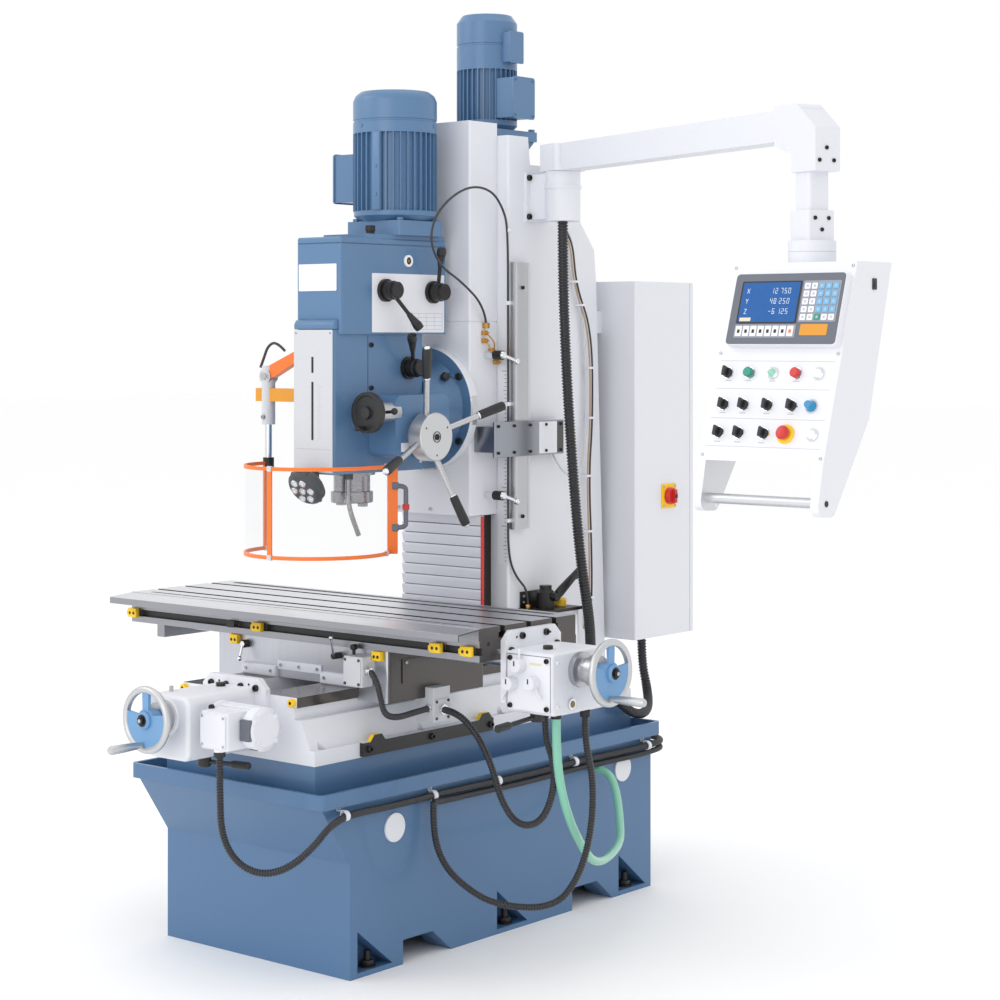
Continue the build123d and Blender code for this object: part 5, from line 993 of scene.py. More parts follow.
@dataclass(frozen=True)
class Cord:
    """A free cord or hose.

    Args:
        name: Name of the piece.
        node: The CAD node that it stands for, or nothing for a cord that only the looks have.
        route: Control points from its exit to its far end, in millimetres.
        diameter: Outer diameter.
        finish: Its finish.
        pitch: Distance between ribs, or 0 for a smooth hose.
        bodies: The body at its exit, or the two that it lies between.
        span: Where the stretch between the two bodies starts and ends; not used.
        stiffness: How stiff it is; not used.
        lay: How it lies; not used.
    """

    RIB: ClassVar[Profile] = ((0.1, 0.8), (0.3, 1.0), (0.65, 1.0), (0.85, 0.8))
    GROOVE: ClassVar[float] = 0.8
    RIBBED_SIDES: ClassVar[int] = 14
    SMOOTH_SIDES: ClassVar[int] = 18
    STEP: ClassVar[float] = 0.012

    name: str
    node: str
    route: Route
    diameter: float
    finish: Finish
    pitch: float
    bodies: tuple[str, ...]
    span: Route = ()
    stiffness: str = "medium"
    lay: str = "hanging"

    def build(self) -> bpy.types.Object:
        """Returns:
            The object.
        """
        line = smooth_line([Vector(p) * MM for p in self.route])
        length = run_length(line)
        radius = self.diameter / 2 * MM
        profile = [(0, radius), (length, radius)]
        sides = self.SMOOTH_SIDES
        if self.pitch:
            count = round(length / (self.pitch * MM))
            pitch = length / count
            ribs = [((k + share) * pitch, radius * part) for k in range(count) for share, part in self.RIB]
            profile = [(0, radius * self.GROOVE), *ribs, (length, radius * self.GROOVE)]
            sides = self.RIBBED_SIDES
        shape = Shape()
        shape.join(tube_along(line, profile, sides, self.STEP), self.finish, Matrix.Identity(4))
        made = shape.object(self.name)
        carry(made, self.bodies)
        if self.node:
            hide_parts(self.node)
        log.info("cord %s is %.0f mm long", self.name, length / MM)
        return made


CORDS = (
    Cord("corrugated_hose", "frame_cords", (
        (262, 262, 1772), (262, 262, 1640), (268, 268, 1400), (278, 280, 1150),
        (289, 300, 900), (286, 344, 740), (246, 402, 650), (228, 428, 590),
        (228, 428, 525),
    ), 28, RUBBER, 8, ("frame",), stiffness="stiff"),
    Cord("motor_conduit", "frame_cords", (
        (129.4, -822, 526), (129.4, -822, 440), (133, -820, 345), (165, -802, 285),
        (215, -773, 262), (270, -742, 280), (318, -712, 330), (336, -680, 374),
        (330, -610, 388), (322, -460, 382), (322, -220, 385), (323, 20, 381),
        (322, 260, 385), (324, 470, 382), (330, 585, 386), (300, 648, 384),
        (242, 668, 386), (190, 660, 384), (165, 630, 384), (165, 585, 384),
    ), 17, RUBBER, 6.5, ("frame",)),
    Cord("table_conduit", "table_cords", (
        (690, -200, 597), (690, -200, 535), (696, -176, 450), (684, -166, 330),
        (655, -176, 215), (598, -200, 137), (536, -231, 137),
    ), 17, RUBBER, 6.5, ("saddle", "table"), ((536, -231, 150), (690, -200, 560))),
    Cord("table_conduit_low", "saddle_cords", (
        (536, -231, 137), (474, -262, 137), (406, -295, 176), (358, -318, 226),
        (336, -330, 300), (335, -326, 372),
    ), 17, RUBBER, 6.5, ("frame", "saddle"), ((336, -330, 340), (536, -231, 137))),
    Cord("switch_conduit", "table_cords", (
        (317, -276, 583), (366, -276, 583), (420, -263, 530), (462, -261, 460),
        (490, -259, 378), (540, -257, 331), (601, -252, 346), (636, -250, 415),
        (640, -251, 490), (616, -255, 545), (616, -255, 597),
    ), 17, RUBBER, 6.5, ("saddle", "table"), ((430, -276, 583), (640, -255, 583))),
    Cord("drain_hose", "table_cords", (
        (660, -270, 597), (660, -270, 500), (648, -225, 390), (622, -140, 290),
        (585, -20, 200), (540, 90, 200),
    ), 21, GREEN_HOSE, 0, ("saddle", "table"), ((540, 90, 200), (660, -270, 560))),
    Cord("drain_hose_low", "saddle_cords", (
        (540, 90, 200), (495, 200, 200), (440, 270, 250), (392, 320, 306),
        (352, 340, 350), (308.5, 340, 350),
    ), 21, GREEN_HOSE, 0, ("frame", "saddle"), ((320, 340, 350), (540, 90, 200))),
    Cord("lube_line", "head_cords", (
        (141, 98, 1508), (150, 78.7, 1552), (172, -33, 1610.7), (188, -135, 1648),
        (196, -181.5, 1705.5), (196, -174.25, 1735.25),
    ), 6, RUBBER, 0, ("head_slide", "frame"), ((196, 98, 1700), (196, -446.5, 1700))),
    Cord("lube_line_rear", "head_cords", (
        (196, -174.25, 1735.25), (196, -167, 1765), (192, -102, 1820), (186, -11, 1854),
        (181, 73.5, 1845.5), (177, 122, 1803), (174, 146, 1753), (174, 146, 1500),
        (174.5, 146.5, 1260), (174, 146, 1030), (174.5, 147, 905), (182, 172, 850),
        (192, 206, 818), (192, 206, 770),
    ), 6, RUBBER, 0, ("head_slide", "frame"), ((180, -494.5, 1700), (180, 146, 1700))),
    Cord("second_conduit", "", (
        (335, -326, 372), (326, -260, 366), (322, -180, 366), (323, 20, 363), (322, 260, 367),
        (324, 470, 364), (330, 585, 368), (300, 648, 366), (242, 668, 368), (190, 660, 366),
        (165, 630, 366), (165, 585, 366),
    ), 15, RUBBER, 6.5, ("frame",)),
    Cord("cabinet_hose", "", (
        (250, 470, 508), (282, 474, 508), (294, 520, 470), (292, 572, 460), (262, 640, 468),
        (214, 700, 505), (190, 706, 580), (190, 706, 655),
    ), 26, RUBBER, 8, ("frame",), stiffness="stiff"),
    Cord("side_wire_long", "", (
        (170, 380, 1752), (184, 394, 1735), (184, 408, 1610), (190, 470, 1491), (188, 478, 1250),
        (190, 458, 1103), (188, 474, 875), (184, 476, 720), (170, 470, 690),
    ), 5, WIRE, 0, ("frame",)),
    Cord("side_wire_dark", "", (
        (170, 390, 1752), (184, 404, 1735), (184, 418, 1610), (190, 481, 1491),
        (188, 487, 1250), (190, 467, 1103), (188, 484, 875), (184, 486, 720),
        (170, 480, 690),
    ), 5, RUBBER, 0, ("frame",)),
    Cord("side_wire_short", "", (
        (170, 396, 1758), (182, 404, 1740), (182, 424, 1610), (182, 460, 1480), (182, 466, 1250),
        (190, 440, 1120), (196, 380, 1098), (186, 330, 1140), (170, 326, 1180),
    ), 5, GREY, 0, ("frame",)),
    Cord("switch_pigtail", "", (
        (259, -462, 688), (285, -470, 672), (301, -473, 630), (304, -464, 592),
        (304, -420, 580), (304, -360, 585), (303, -306, 588),
    ), 15, RUBBER, 6.5, ("saddle",)),
)


# Castings: CAD nodes with eased edges and finishes

ANY: Limits = (-math.inf, math.inf)


def over(value: float) -> Limits:
    """Gives the limits of what lies past a value."""
    return value, math.inf


def below(value: float) -> Limits:
    """Gives the limits of what lies short of a value."""
    return -math.inf, value


@dataclass(frozen=True)
class Region:
    """Faces of a CAD node that have another finish, told by limits in millimetres.

    Args:
        finish: The finish.
        x: Limits of a face's middle in X.
        y: Limits of it in Y.
        z: Limits of it in Z.
        side: Limits of its distance from the machine's middle plane.
        facing: Least part of the face's normal along +X.
        lean: Most of its normal along Z, up or down.
        axis: Whether the line that reach is taken from runs along X, Y or Z (0, 1 or 2).
        centre: A point on that line.
        reach: Limits of the middle's distance from that line.
    """

    finish: Finish
    x: Limits = ANY
    y: Limits = ANY
    z: Limits = ANY
    side: Limits = ANY
    facing: float = -math.inf
    lean: float = math.inf
    axis: int = 2
    centre: Point = (0, 0, 0)
    reach: Limits = ANY

    def holds(self, middle: Vector, normal: Vector) -> bool:
        """Tells whether a face belongs.

        Args:
            middle: The face's middle in millimetres.
            normal: Its normal.

        Returns:
            Whether it keeps to all the limits.
        """
        apart = middle - Vector(self.centre)
        apart[self.axis] = 0
        measures = (
            (middle.x, self.x), (middle.y, self.y), (middle.z, self.z), (abs(middle.x), self.side),
            (apart.length, self.reach), (normal.x, over(self.facing)), (abs(normal.z), below(self.lean)),
        )
        return all(low < value < high for value, (low, high) in measures)


def body_of(node: str) -> str:
    """Finds the body that carries a node."""
    bodies = frame["record"]["behaviour"]["bodies"]
    return next(name for name, nodes in bodies.items() if node in nodes)


@dataclass(frozen=True)
class Casting:
    """A CAD node's copy with eased edges and finishes.

    Args:
        node: The CAD node, which the copy stands for.
        finish: The finish of most of it.
        regions: Faces with other finishes; a later one goes over an earlier one.
        bevel: Width of the eased edges in millimetres, or 0 for none.
    """

    WELD: ClassVar[float] = 2e-5
    FLAT_DEGREES: ClassVar[float] = 0.4
    EDGE_DEGREES: ClassVar[float] = 32

    node: str
    finish: Finish
    regions: tuple[Region, ...] = ()
    bevel: float = 0.9

    def build(self) -> None:
        shape = Shape()
        copy = shape.whole
        copy.from_mesh(frame["nodes"][self.node].data)
        bmesh.ops.remove_doubles(copy, verts=copy.verts, dist=self.WELD)
        bmesh.ops.dissolve_limit(copy, angle_limit=math.radians(self.FLAT_DEGREES), verts=copy.verts,
                                 edges=copy.edges)
        finishes = [self.finish, *(region.finish for region in self.regions)]
        shape.finishes = list(dict.fromkeys(finishes))
        for face in copy.faces:
            face.smooth = True
            face.material_index = 0
            middle = face.calc_center_median() / MM
            for region in self.regions:
                if region.holds(middle, face.normal):
                    face.material_index = shape.finishes.index(region.finish)
        made = shape.object(self.node + "_skin")
        if self.bevel:
            ease = made.modifiers.new("eased_edges", "BEVEL")
            ease.width = self.bevel * MM
            ease.segments = 2
            ease.limit_method = "ANGLE"
            ease.angle_limit = math.radians(self.EDGE_DEGREES)
            ease.use_clamp_overlap = True
            ease.material = -1
        even = made.modifiers.new("even_shading", "WEIGHTED_NORMAL")
        even.keep_sharp = True
        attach(made, body_of(self.node))
        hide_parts(self.node)
        log.info("dressed %s", self.node)


Castings = tuple[Casting, ...]


# Studio


@dataclass(frozen=True)
class Lamp:
    """A square soft light.

    Args:
        name: Its name.
        place: Where it hangs, in metres.
        size: Length of its side.
        power: Its power in watts.
    """

    name: str
    place: Point
    size: float
    power: float

    def build(self, aim: Point) -> None:
        """Hangs the light.

        Args:
            aim: The place that it points at, in metres.
        """
        data = bpy.data.lights.new(self.name, "AREA")
        data.size = self.size
        data.energy = self.power
        lamp = bpy.data.objects.new(self.name, data)
        lamp.location = self.place
        way = Vector(aim) - Vector(self.place)
        lamp.rotation_euler = way.to_track_quat("-Z", "Y").to_euler()
        bpy.context.scene.collection.objects.link(lamp)


@dataclass(frozen=True)
class Studio:
    """Camera, floor and soft lights.

    Args:
        eye: Where the camera stands, in metres.
        azimuth: Its turn from looking along +Y, in degrees.
        lens: Its focal length in millimetres.
        sensor: Width of its sensor.
        lift: Its vertical shift.
        floor: Half the floor's width, in metres.
        paving: The floor's finish.
        aim: The place that the lights point at.
        lamps: The lights.
    """

    eye: Point = (3.865, -4.332, 1.470)
    azimuth: float = 39.7
    lens: float = 81.2
    sensor: float = 36
    lift: float = -0.162
    floor: float = 40
    paving: Finish = Finish("pale_floor", paint(254, 254, 254), 0.9, shade=0, depth=0)
    aim: Point = (0.1, -0.2, 1.1)
    lamps: tuple[Lamp, ...] = (
        Lamp("key_light", (-3.6, -4.2, 4.6), 3.5, 60),
        Lamp("fill_light", (1.4, -6.0, 2.6), 3.5, 60),
        Lamp("top_light", (0.3, 0.6, 6.5), 4.0, 25),
        Lamp("back_light", (-4.0, 4.5, 4.0), 4.0, 15),
    )

    def build(self) -> None:
        """Sets up the whole studio."""
        self.camera()
        self.ground()
        for lamp in self.lamps:
            lamp.build(self.aim)
        world = bpy.data.worlds.new("pale_room")
        world.use_nodes = True
        sky = world.node_tree.nodes["Background"]
        sky.inputs["Color"].default_value = (1, 1, 1, 1)
        sky.inputs["Strength"].default_value = 1
        bpy.context.scene.world = world
        bpy.context.scene.view_settings.view_transform = "Standard"

    def camera(self) -> None:
        """Places the camera at the photograph's viewing angle."""
        data = bpy.data.cameras.new("camera")
        data.lens = self.lens
        data.sensor_width = self.sensor
        data.shift_y = self.lift
        eye = bpy.data.objects.new("camera", data)
        eye.location = self.eye
        eye.rotation_euler = (math.radians(90), 0, math.radians(self.azimuth))
        bpy.context.scene.collection.objects.link(eye)
        bpy.context.scene.camera = eye

    def ground(self) -> None:
        """Lays the pale floor."""
        mesh = bmesh.new()
        bmesh.ops.create_grid(mesh, x_segments=1, y_segments=1, size=self.floor)
        data = bpy.data.meshes.new("floor")
        mesh.to_mesh(data)
        mesh.free()
        data.materials.append(self.paving.material())
        ground = bpy.data.objects.new("floor", data)
        bpy.context.scene.collection.objects.link(ground)


# Sub-assemblies


@dataclass(frozen=True)
class Assembly:
    """A sub-assembly: CAD nodes with their finishes, and small pieces on them.

    Args:
        castings: The nodes.
        pieces: The small pieces.
    """

    castings: Castings = ()
    pieces: Pieces = ()

    def build(self) -> None:
        """Dresses the nodes and adds the small pieces."""
        for item in (*self.castings, *self.pieces, *self.details()):
            item.build()

    def details(self) -> Pieces:
        """Gives the small pieces that are worked out from other sizes."""
        return ()


@dataclass(frozen=True)
class Base(Assembly):
    """Base, levelling screws in its pockets and clips on its conduit."""

    castings: Castings = (
        # The base takes a darker copy of the blue enamel: painted shade.
        Casting("base", SHADED_BASE_BLUE, (Region(WHITE, x=over(309), z=(290, 370)),), 2.5),
    )
    pocket: Face = top(0, 0, 12)
    jacks: Spots = grid_of((-282.5, 282.5), (-500.5, 0, 500.5))
    pieces: Pieces = (
        piece(
            "levelling_screws", "frame", "bright_steel",
            washers=Rod(pocket, GUNMETAL, (20, 0, 3), spots=jacks),
            nuts=Hexagon(pocket, GUNMETAL, (16, 3, 16), spots=jacks),
            studs=Rod(pocket, GUNMETAL, (8.5, -11, 38), 20, spots=jacks),
        ),
    )
    wall_x: float = 308.5
    clips: Route = (
        (331, -624, 387), (322, -312, 384), (322.7, -74, 383), (322.2, 234, 385), (327.5, 543, 384.5),
    )
    ring: Profile = ((9, -6), (11.5, -6), (11.5, 6), (9, 6), (9, -6))
    strap: Limits = (9, 12)
    strap_half: float = 6
    strap_overlap: float = 3
    tab_top: float = 20
    tab_thick: float = 2.5
    tab_screw: Spot = (0, 15.5)

    def details(self) -> Pieces:
        """Gives the clips on the conduit."""
        parts = tuple(part for place in self.clips for part in self.clip(*place))
        return (Piece("conduit_clips", ("frame",), "grey_plastic", parts),)

    def clip(self, x: float, y: float, z: float) -> Parts:
        """Makes one clip: a ring round the conduit, a strap and a tab with a screw.

        Args:
            x: The conduit's place in X.
            y: Its place in Y.
            z: Its place in Z.

        Returns:
            The clip's parts.
        """
        half = self.strap_half
        low, high = self.strap
        end = x - self.wall_x + self.strap_overlap
        wall = right(self.wall_x, y, z)
        return (
            Turned(front(x, y, z), WHITE, self.ring, 28),
            Block(front(self.wall_x, y, z), WHITE, (0, low, -half), (end, high, half), 0.6),
            Plate(wall, WHITE, (-half, low), (half, self.tab_top), self.tab_thick, 2),
            Screw(right(self.wall_x + self.tab_thick, y, z), BAR_STEEL, 3.5, spots=(self.tab_screw,)),
        )


@dataclass(frozen=True)
class Bed(Assembly):
    """Bed with its ways and trip rail, the Y gearbox and the Y motor."""

    castings: Castings = (
        Casting("bed", WHITE, (
            Region(WAY, z=over(615), side=(74, 194)),
            Region(BLACK, x=over(250.5)),
            Region(YELLOW, x=over(249.5), z=over(525.5)),
        )),
        Casting("y_gearbox", WHITE, (Region(STEEL, y=below(-870)),), 1.5),
        Casting("y_motor", WHITE, (Region(BLACK, y=below(-780), z=below(546)),), 1.2),
        Casting("y_screw", STEEL, bevel=0),
        Casting("y_feed_lever", BLACK, bevel=0.5),
    )
    way_end: Face = front(0, -640, 630)
    ways: Spots = row_of((-182, 182))
    plate: Face = front(0, -655, 655)
    lid: Face = front(138, -849, 588)
    motor_fins: Parts = tuple(
        Block(Face((0, -762, 588), (1, 0, 0), (0, y, z)), WHITE, (88, -1.6, 43), (183, 1.6, 50.5), 0.7)
        for z, y in ring_of(1, range(20, 180, 16))
    )
    pieces: Pieces = (
        piece(
            "bed_screws", "frame", "bright_steel",
            rail_screws=Screw(right(262, 0, 509), GUNMETAL, 8, spots=row_of((-470, -250, -30))),
            foot_bolts=Hexagon(top(0, 0, 508), GUNMETAL, (9, 0, 13),
                               spots=grid_of((-237, 237), (-602, -260, 40))),
            way_plugs=Rod(way_end, YELLOW, (9.5, 0, 12), spots=ways),
            plug_marks=Rod(way_end, GUNMETAL, (4, 12, 12.4), spots=ways),
        ),
        piece(
            "y_drive_details", "frame", "white_paint", *motor_fins,
            plate_screws=Screw(plate, GUNMETAL, 8, spots=row_of((-75, -25, 25, 75))),
            plate_pins=Rod(plate, GUNMETAL, (3, 0, 0.6), 16, spots=row_of((-50, 50), 6)),
            oil_cap=Hexagon(top(-8, -690, 656), GUNMETAL, (12, 0, 9)),
            vent=Rod(top(-40, -815, 656), BAR_STEEL, (5, 0, 12)),
            terminal_lid=Plate(lid, WHITE, (-40, -38), (40, 38), 3, 7),
            lid_screws=Screw(lid, BAR_STEEL, 3.5, 4.5, spots=corners_of(34, 32)),
            bare_plate=Plate(front(199, -803, 590), DARK_PLASTIC, (-15, -24), (15, 24), 9, 2),
            end_bosses=Rod(right(219, -762, 588), WHITE, (6, -0.5, 2.5), 20,
                           spots=ring_of(38, (45, 135, 225, 315))),
            bung=Rod(front(92, -808, 632), GUNMETAL, (7, 0, 8)),
            gland=Rod(under(129.4, -822, 546), CHROME, (15.5, 0, 9)),
        ),
    )


@dataclass(frozen=True)
class Saddle(Assembly):
    """Saddle with stop blocks, wiper strips, side plate, limit switches and lock levers."""

    castings: Castings = (
        Casting("saddle", PLANED, (
            Region(GROUND, z=over(734)),
            # Painted shade: faces that turn to +X on the saddle's right side are darker than its front.
            Region(SHADED_IRON, x=over(200), facing=0.7),
            Region(SLAT, y=below(-435.5), z=below(671), side=below(195)),
        ), 1.5),
        Casting("limit_switches", GREY, (Region(GUNMETAL, z=over(723)),), 1.2),
        Casting("saddle_lock", CHROME, (Region(GUNMETAL, y=over(-452.5)),), 0.4),
    )
    face: Face = front(0, -435, 0)
    x_switch: Face = front(217.5, -481, 686.8)
    x_gland: Face = right(247, -462, 688)
    y_switch: Face = right(317, -276, 583.3)
    lock_tip: Point = (143.6, -476, 760)
    pieces: Pieces = (
        piece(
            "saddle_details", "saddle", "grey_plastic",
            stops=Block(face, YELLOW, (-14, 712, 0), (14, 735, 14), 2, spots=row_of((-220, 262))),
            stop_screws=Rod(face, GUNMETAL, (4, 13.8, 14.4), 16, spots=row_of((-226, -214, 256, 268), 722)),
            wipers=Block(front(0, -443, 0), SLAT, (-57, 645, 0), (57, 668, 2.5), 0.6,
                         spots=row_of((-134, 134))),
            wiper_screws=Screw(front(0, -445.5, 0), BAR_STEEL, 4, spots=row_of((-177, -91, 91, 177), 656.5)),
            strip=Block(face, SLAT, (-74, 662, 0), (74, 684, 4), 0.6),
            strip_screws=Screw(front(0, -439, 0), BAR_STEEL, 4, spots=row_of((-62, 0, 62), 673)),
            # Painted shade: the side plate takes the same darkened iron as the saddle's right side.
            side_plate=Plate(right(290, 0, 0), SHADED_IRON, (-388, 655), (-112, 712), 2.5, 2),
            side_screws=Screw(right(292.5, 0, 0), BAR_STEEL, 4, spots=row_of((-376, -250, -124), 704)),
            x_lid=Plate(x_switch, GREY, (-27, -33), (27, 33), 2, 4),
            x_lid_screws=Screw(x_switch, GUNMETAL, 3.5, 4, spots=corners_of(22, 28)),
            x_gland_nut=Hexagon(x_gland, CHROME, (13, 0, 8)),
            x_gland_collar=Rod(x_gland, CHROME, (10.5, 8, 14)),
            y_lid=Plate(y_switch, GREY, (-26, -25), (26, 25), 2, 4),
            y_lid_screws=Screw(y_switch, GUNMETAL, 3.5, 4, spots=corners_of(21, 20)),
            y_lid_nut=Hexagon(y_switch, CHROME, (14, 0, 9)),
            y_gland_nut=Hexagon(front(303, -306, 588), CHROME, (11.5, 0, 8)),
            lock_boss=Rod(front(133.3, -435, 713.4), GUNMETAL, (8, 0, 24)),
            lock_bar=Pipe(FLOOR, CHROME, ((133.3, -455, 713.4), (137.3, -465, 727.4), lock_tip), 3.2, 12),
            lock_ball=Ball(front(*lock_tip), CHROME, 5.5),
        ),
    )


@dataclass(frozen=True)
class Table(Assembly):
    """Table with trip dogs, and the X gearbox with its dials and lever."""

    castings: Castings = (
        Casting("x_gearbox", WHITE, (Region(STEEL, x=over(724)), Region(GUNMETAL, z=below(617))), 1.5),
        Casting("x_screw", STEEL, bevel=0),
        Casting("table", GROUND, (
            # Painted shade: the table's upright faces are darker than its top.
            Region(SHADED_TABLE_SIDE, lean=0.5),
            # Painted shade: faces that turn to +X at the table's right end are darker still.
            Region(SHADED_IRON, x=over(560), facing=0.7),
            *(Region(SLOT, y=(slot - 20, slot + 20), z=(765, 812)) for slot in (-360, -265, -170)),
            Region(BLACK, y=(-441.9, -415), z=(751, 769)),
            Region(YELLOW, y=below(-442.5), z=(750, 770)),
            Region(BLACK, x=(-248, -208), y=below(-442.5), z=(750, 770)),
        ), 0.7),
        *(Casting(f"feed_dial_{k}", WHITE, (Region(GUNMETAL, y=below(-391.5)),), 0.4) for k in (1, 2, 3)),
        Casting("x_feed_lever", BLACK, bevel=0.5),
    )
    slot_line: Face = front(0, -442, 752)
    dogs: Spots = row_of((-588, -130, 453, 545))
    flange: Face = right(590, -265, 0)
    cover: Face = front(656, -363, 688.6)
    sight: Face = right(722, -294, 640)
    pieces: Pieces = (
        piece(
            "table_dogs", "table", "orange_paint",
            dog_bodies=Block(slot_line, YELLOW, (-16, -3, 3), (16, 20, 16), 2, spots=dogs),
            dog_noses=Block(slot_line, YELLOW, (-23, 1, 4), (-15, 14, 13), 2, spots=dogs),
            left_dog_screws=Rod(slot_line, GUNMETAL, (4, 15.8, 16.4), 16,
                                spots=row_of((-595, -581, -137, -123), 8)),
            right_dog_screws=Rod(slot_line, GUNMETAL, (4, 15.8, 16.4), 16,
                                 spots=row_of((446, 460, 538, 552), 8)),
            end_hole=Rod(right(575, -410, 775), GUNMETAL, (5, 0, 0.5), 18),
        ),
        piece(
            "x_drive_details", "table", "white_paint",
            flange_screws=Screw(flange, GUNMETAL, 8, spots=((-84, 756), (-44, 786), (44, 786), (84, 756))),
            flange_pins=Rod(flange, GUNMETAL, (3, 0, 0.6), 16, spots=row_of((-62, 62), 784)),
            cover_sheet=Plate(cover, PANEL_WHITE, (-64, -62), (60, 62), 0.25, 4),
            cover_screws=Screw(cover, GUNMETAL, 6, spots=grid_of((-55, 51), (-54, 54))),
            cover_label=Plate(cover, LABEL, (2, 42), (36, 47), 0.6, 2),
            top_seam=Plate(cover, DARK_PLASTIC, (-65.5, 62), (61.5, 63.4), 0.3, 0.3),
            right_seam=Plate(cover, DARK_PLASTIC, (60, -62), (61.4, 62), 0.3, 0.3),
            left_seam=Plate(cover, DARK_PLASTIC, (-65.4, -62), (-64, 62), 0.3, 0.3),
            sight_rim=Rod(sight, CHROME, (13, 0, 5)),
            sight_glass=Rod(sight, GLASS, (8, 5, 6)),
            oil_cap=Hexagon(top(660, -300, 759.6), GUNMETAL, (12, 0, 9)),
            side_screws=Screw(right(722, -265, 689), WHITE, 5, spots=corners_of(78, 49)),
        ),
    )


@dataclass(frozen=True)
class Handwheels(Assembly):
    """The two handwheels with their centre nuts and grips."""

    castings: Castings = (
        Casting("y_handwheel", WEB_BLUE, (
            Region(CAST_BRIGHT, axis=1, centre=(0, -925.3, 608), reach=over(60.5)),
            Region(CAST_BRIGHT, y=below(-930.3), axis=1, centre=(0, -925.3, 608), reach=over(30)),
        ), 0.6),
        Casting("x_handwheel", WEB_BLUE, (
            Region(CAST_BRIGHT, axis=0, centre=(812.3, -265, 715.6), reach=over(60.5)),
            Region(CAST_BRIGHT, x=over(817.3), axis=0, centre=(812.3, -265, 715.6), reach=over(30)),
        ), 0.6),
    )
    hubs: tuple[tuple[str, Face], ...] = (
        ("y_handwheel", front(0, -939.3, 608)), ("x_handwheel", right(826.3, -265, 715.6)),
    )
    grip: Profile = ((6, 0), (8.2, 8), (9.8, 44), (10.2, 82), (8, 87), (0, 88))

    def details(self) -> Pieces:
        """Gives a nut and a grip for each wheel.

        Returns:
            The two pieces.
        """
        return tuple(
            piece(
                body + "_nut", body, "bright_steel",
                washer=Rod(hub, GUNMETAL, (14, -0.5, 1.5)),
                nut=Hexagon(hub, GUNMETAL, (9.5, 1.5, 7)),
                stud=Rod(hub, BAR_STEEL, (4.5, 6, 9), 16),
                grip=Turned(hub, CAST_BRIGHT, self.grip, spots=((-8.5, -56.6),)),
            )
            for body, hub in self.hubs
        )


@dataclass(frozen=True)
class Column(Assembly):
    """Column with its rule, bracket screws, line clips and lube pump."""

    castings: Castings = (
        Casting("column", WHITE, (
            Region(SCRAPED, y=below(151.5), z=below(1990), side=below(112.5)),
            Region(ALUMINIUM, x=(171, 191), y=below(214), z=(960, 1700)),
        ), 3),
        Casting("lube_pump", GUNMETAL, (
            Region(GREY, z=below(761)),
            Region(YELLOW, y=over(290), z=over(771)),
        ), 1),
        Casting("lube_lever", GUNMETAL, bevel=0.6),
    )
    rule: Face = front(0, 152, 0)
    wall: Face = right(170, 0, 0)
    channel: Face = right(190, 185, 0)
    tank: Face = right(262, 266, 0)
    wire_ties: Spots = (
        (410, 1620), (436, 1558), (473, 1390), (474, 1256), (462, 1101), (469, 952), (476, 774),
    )
    lever: Face = Face((247.3, 250, 800), (0, 0.855, 0.519), (0, -0.519, 0.855))
    lever_outline: Profile = (
        (9, -11), (26, -12), (88, -8), (96, -12), (126, -12), (130, 8), (96, 9), (26, 12), (9, 11),
    )
    pieces: Pieces = (
        piece(
            "height_rule", "frame", "white_paint",
            strip=Plate(rule, PANEL_WHITE, (135, 885), (168, 1400), 1.2, 1),
            long_marks=Plate(rule, GUNMETAL, (-15, -0.6), (0, 0.6), 0.3, 0.3, 1.2,
                             spots=grid_of((165,), range(985, 1386, 100))),
            middle_marks=Plate(rule, GUNMETAL, (-10, -0.6), (0, 0.6), 0.3, 0.3, 1.2,
                               spots=grid_of((165,), range(935, 1336, 100))),
            short_marks=Plate(rule, GUNMETAL, (-6, -0.6), (0, 0.6), 0.3, 0.3, 1.2,
                              spots=grid_of((165,), [z for z in range(895, 1385, 10) if z % 50 != 35])),
        ),
        piece(
            "column_fittings", "frame", "white_paint",
            bracket_screws=Screw(right(180, 0, 0), GUNMETAL, 8, spots=grid_of((223, 299), (1785, 1886))),
            line_clips=Block(wall, PANEL_WHITE, (-7, -5, 0), (7, 5, 9), 1.5,
                             spots=grid_of((147.5,), (1748, 1000, 1300, 1560))),
            hinge_ring=Turned(top(262, 262, 1860), WHITE, ((45, -4), (48.5, -4), (48.5, 4), (45, 4)), 40),
            ties=Block(wall, PANEL_WHITE, (-5, -3, 0), (14, 3, 23), 1.5, spots=wire_ties),
            channel_screws=Screw(channel, GUNMETAL, 5, spots=((0, 1600), (0, 1010))),
            channel_lips=Plate(channel, GREY, (-2, 985), (2, 1657), 1, 1, spots=row_of((-25, 25))),
        ),
        piece(
            "pump_fittings", "frame", "grey_plastic",
            tank_window=Plate(tank, LED, (-56, 634), (56, 752), 1.5, 8),
            oil=Plate(tank, GLASS, (-50, 640), (50, 700), 0.6, 6, 1.5),
            outlet=Hexagon(top(192, 206, 770), BRASS, (8, -1, 10)),
            back_plate=Block(wall, GUNMETAL, (198, 770.5, 0), (300, 812, 4), 1),
            plate_screws=Screw(right(174, 0, 0), BAR_STEEL, 4, spots=((210, 784), (210, 800))),
        ),
        piece(
            "lube_lever_grip", "lube_lever", "black_plastic",
            flat_bar=Prism(lever, GUNMETAL, lever_outline, -5.5, 5.5, 1.5),
        ),
    )


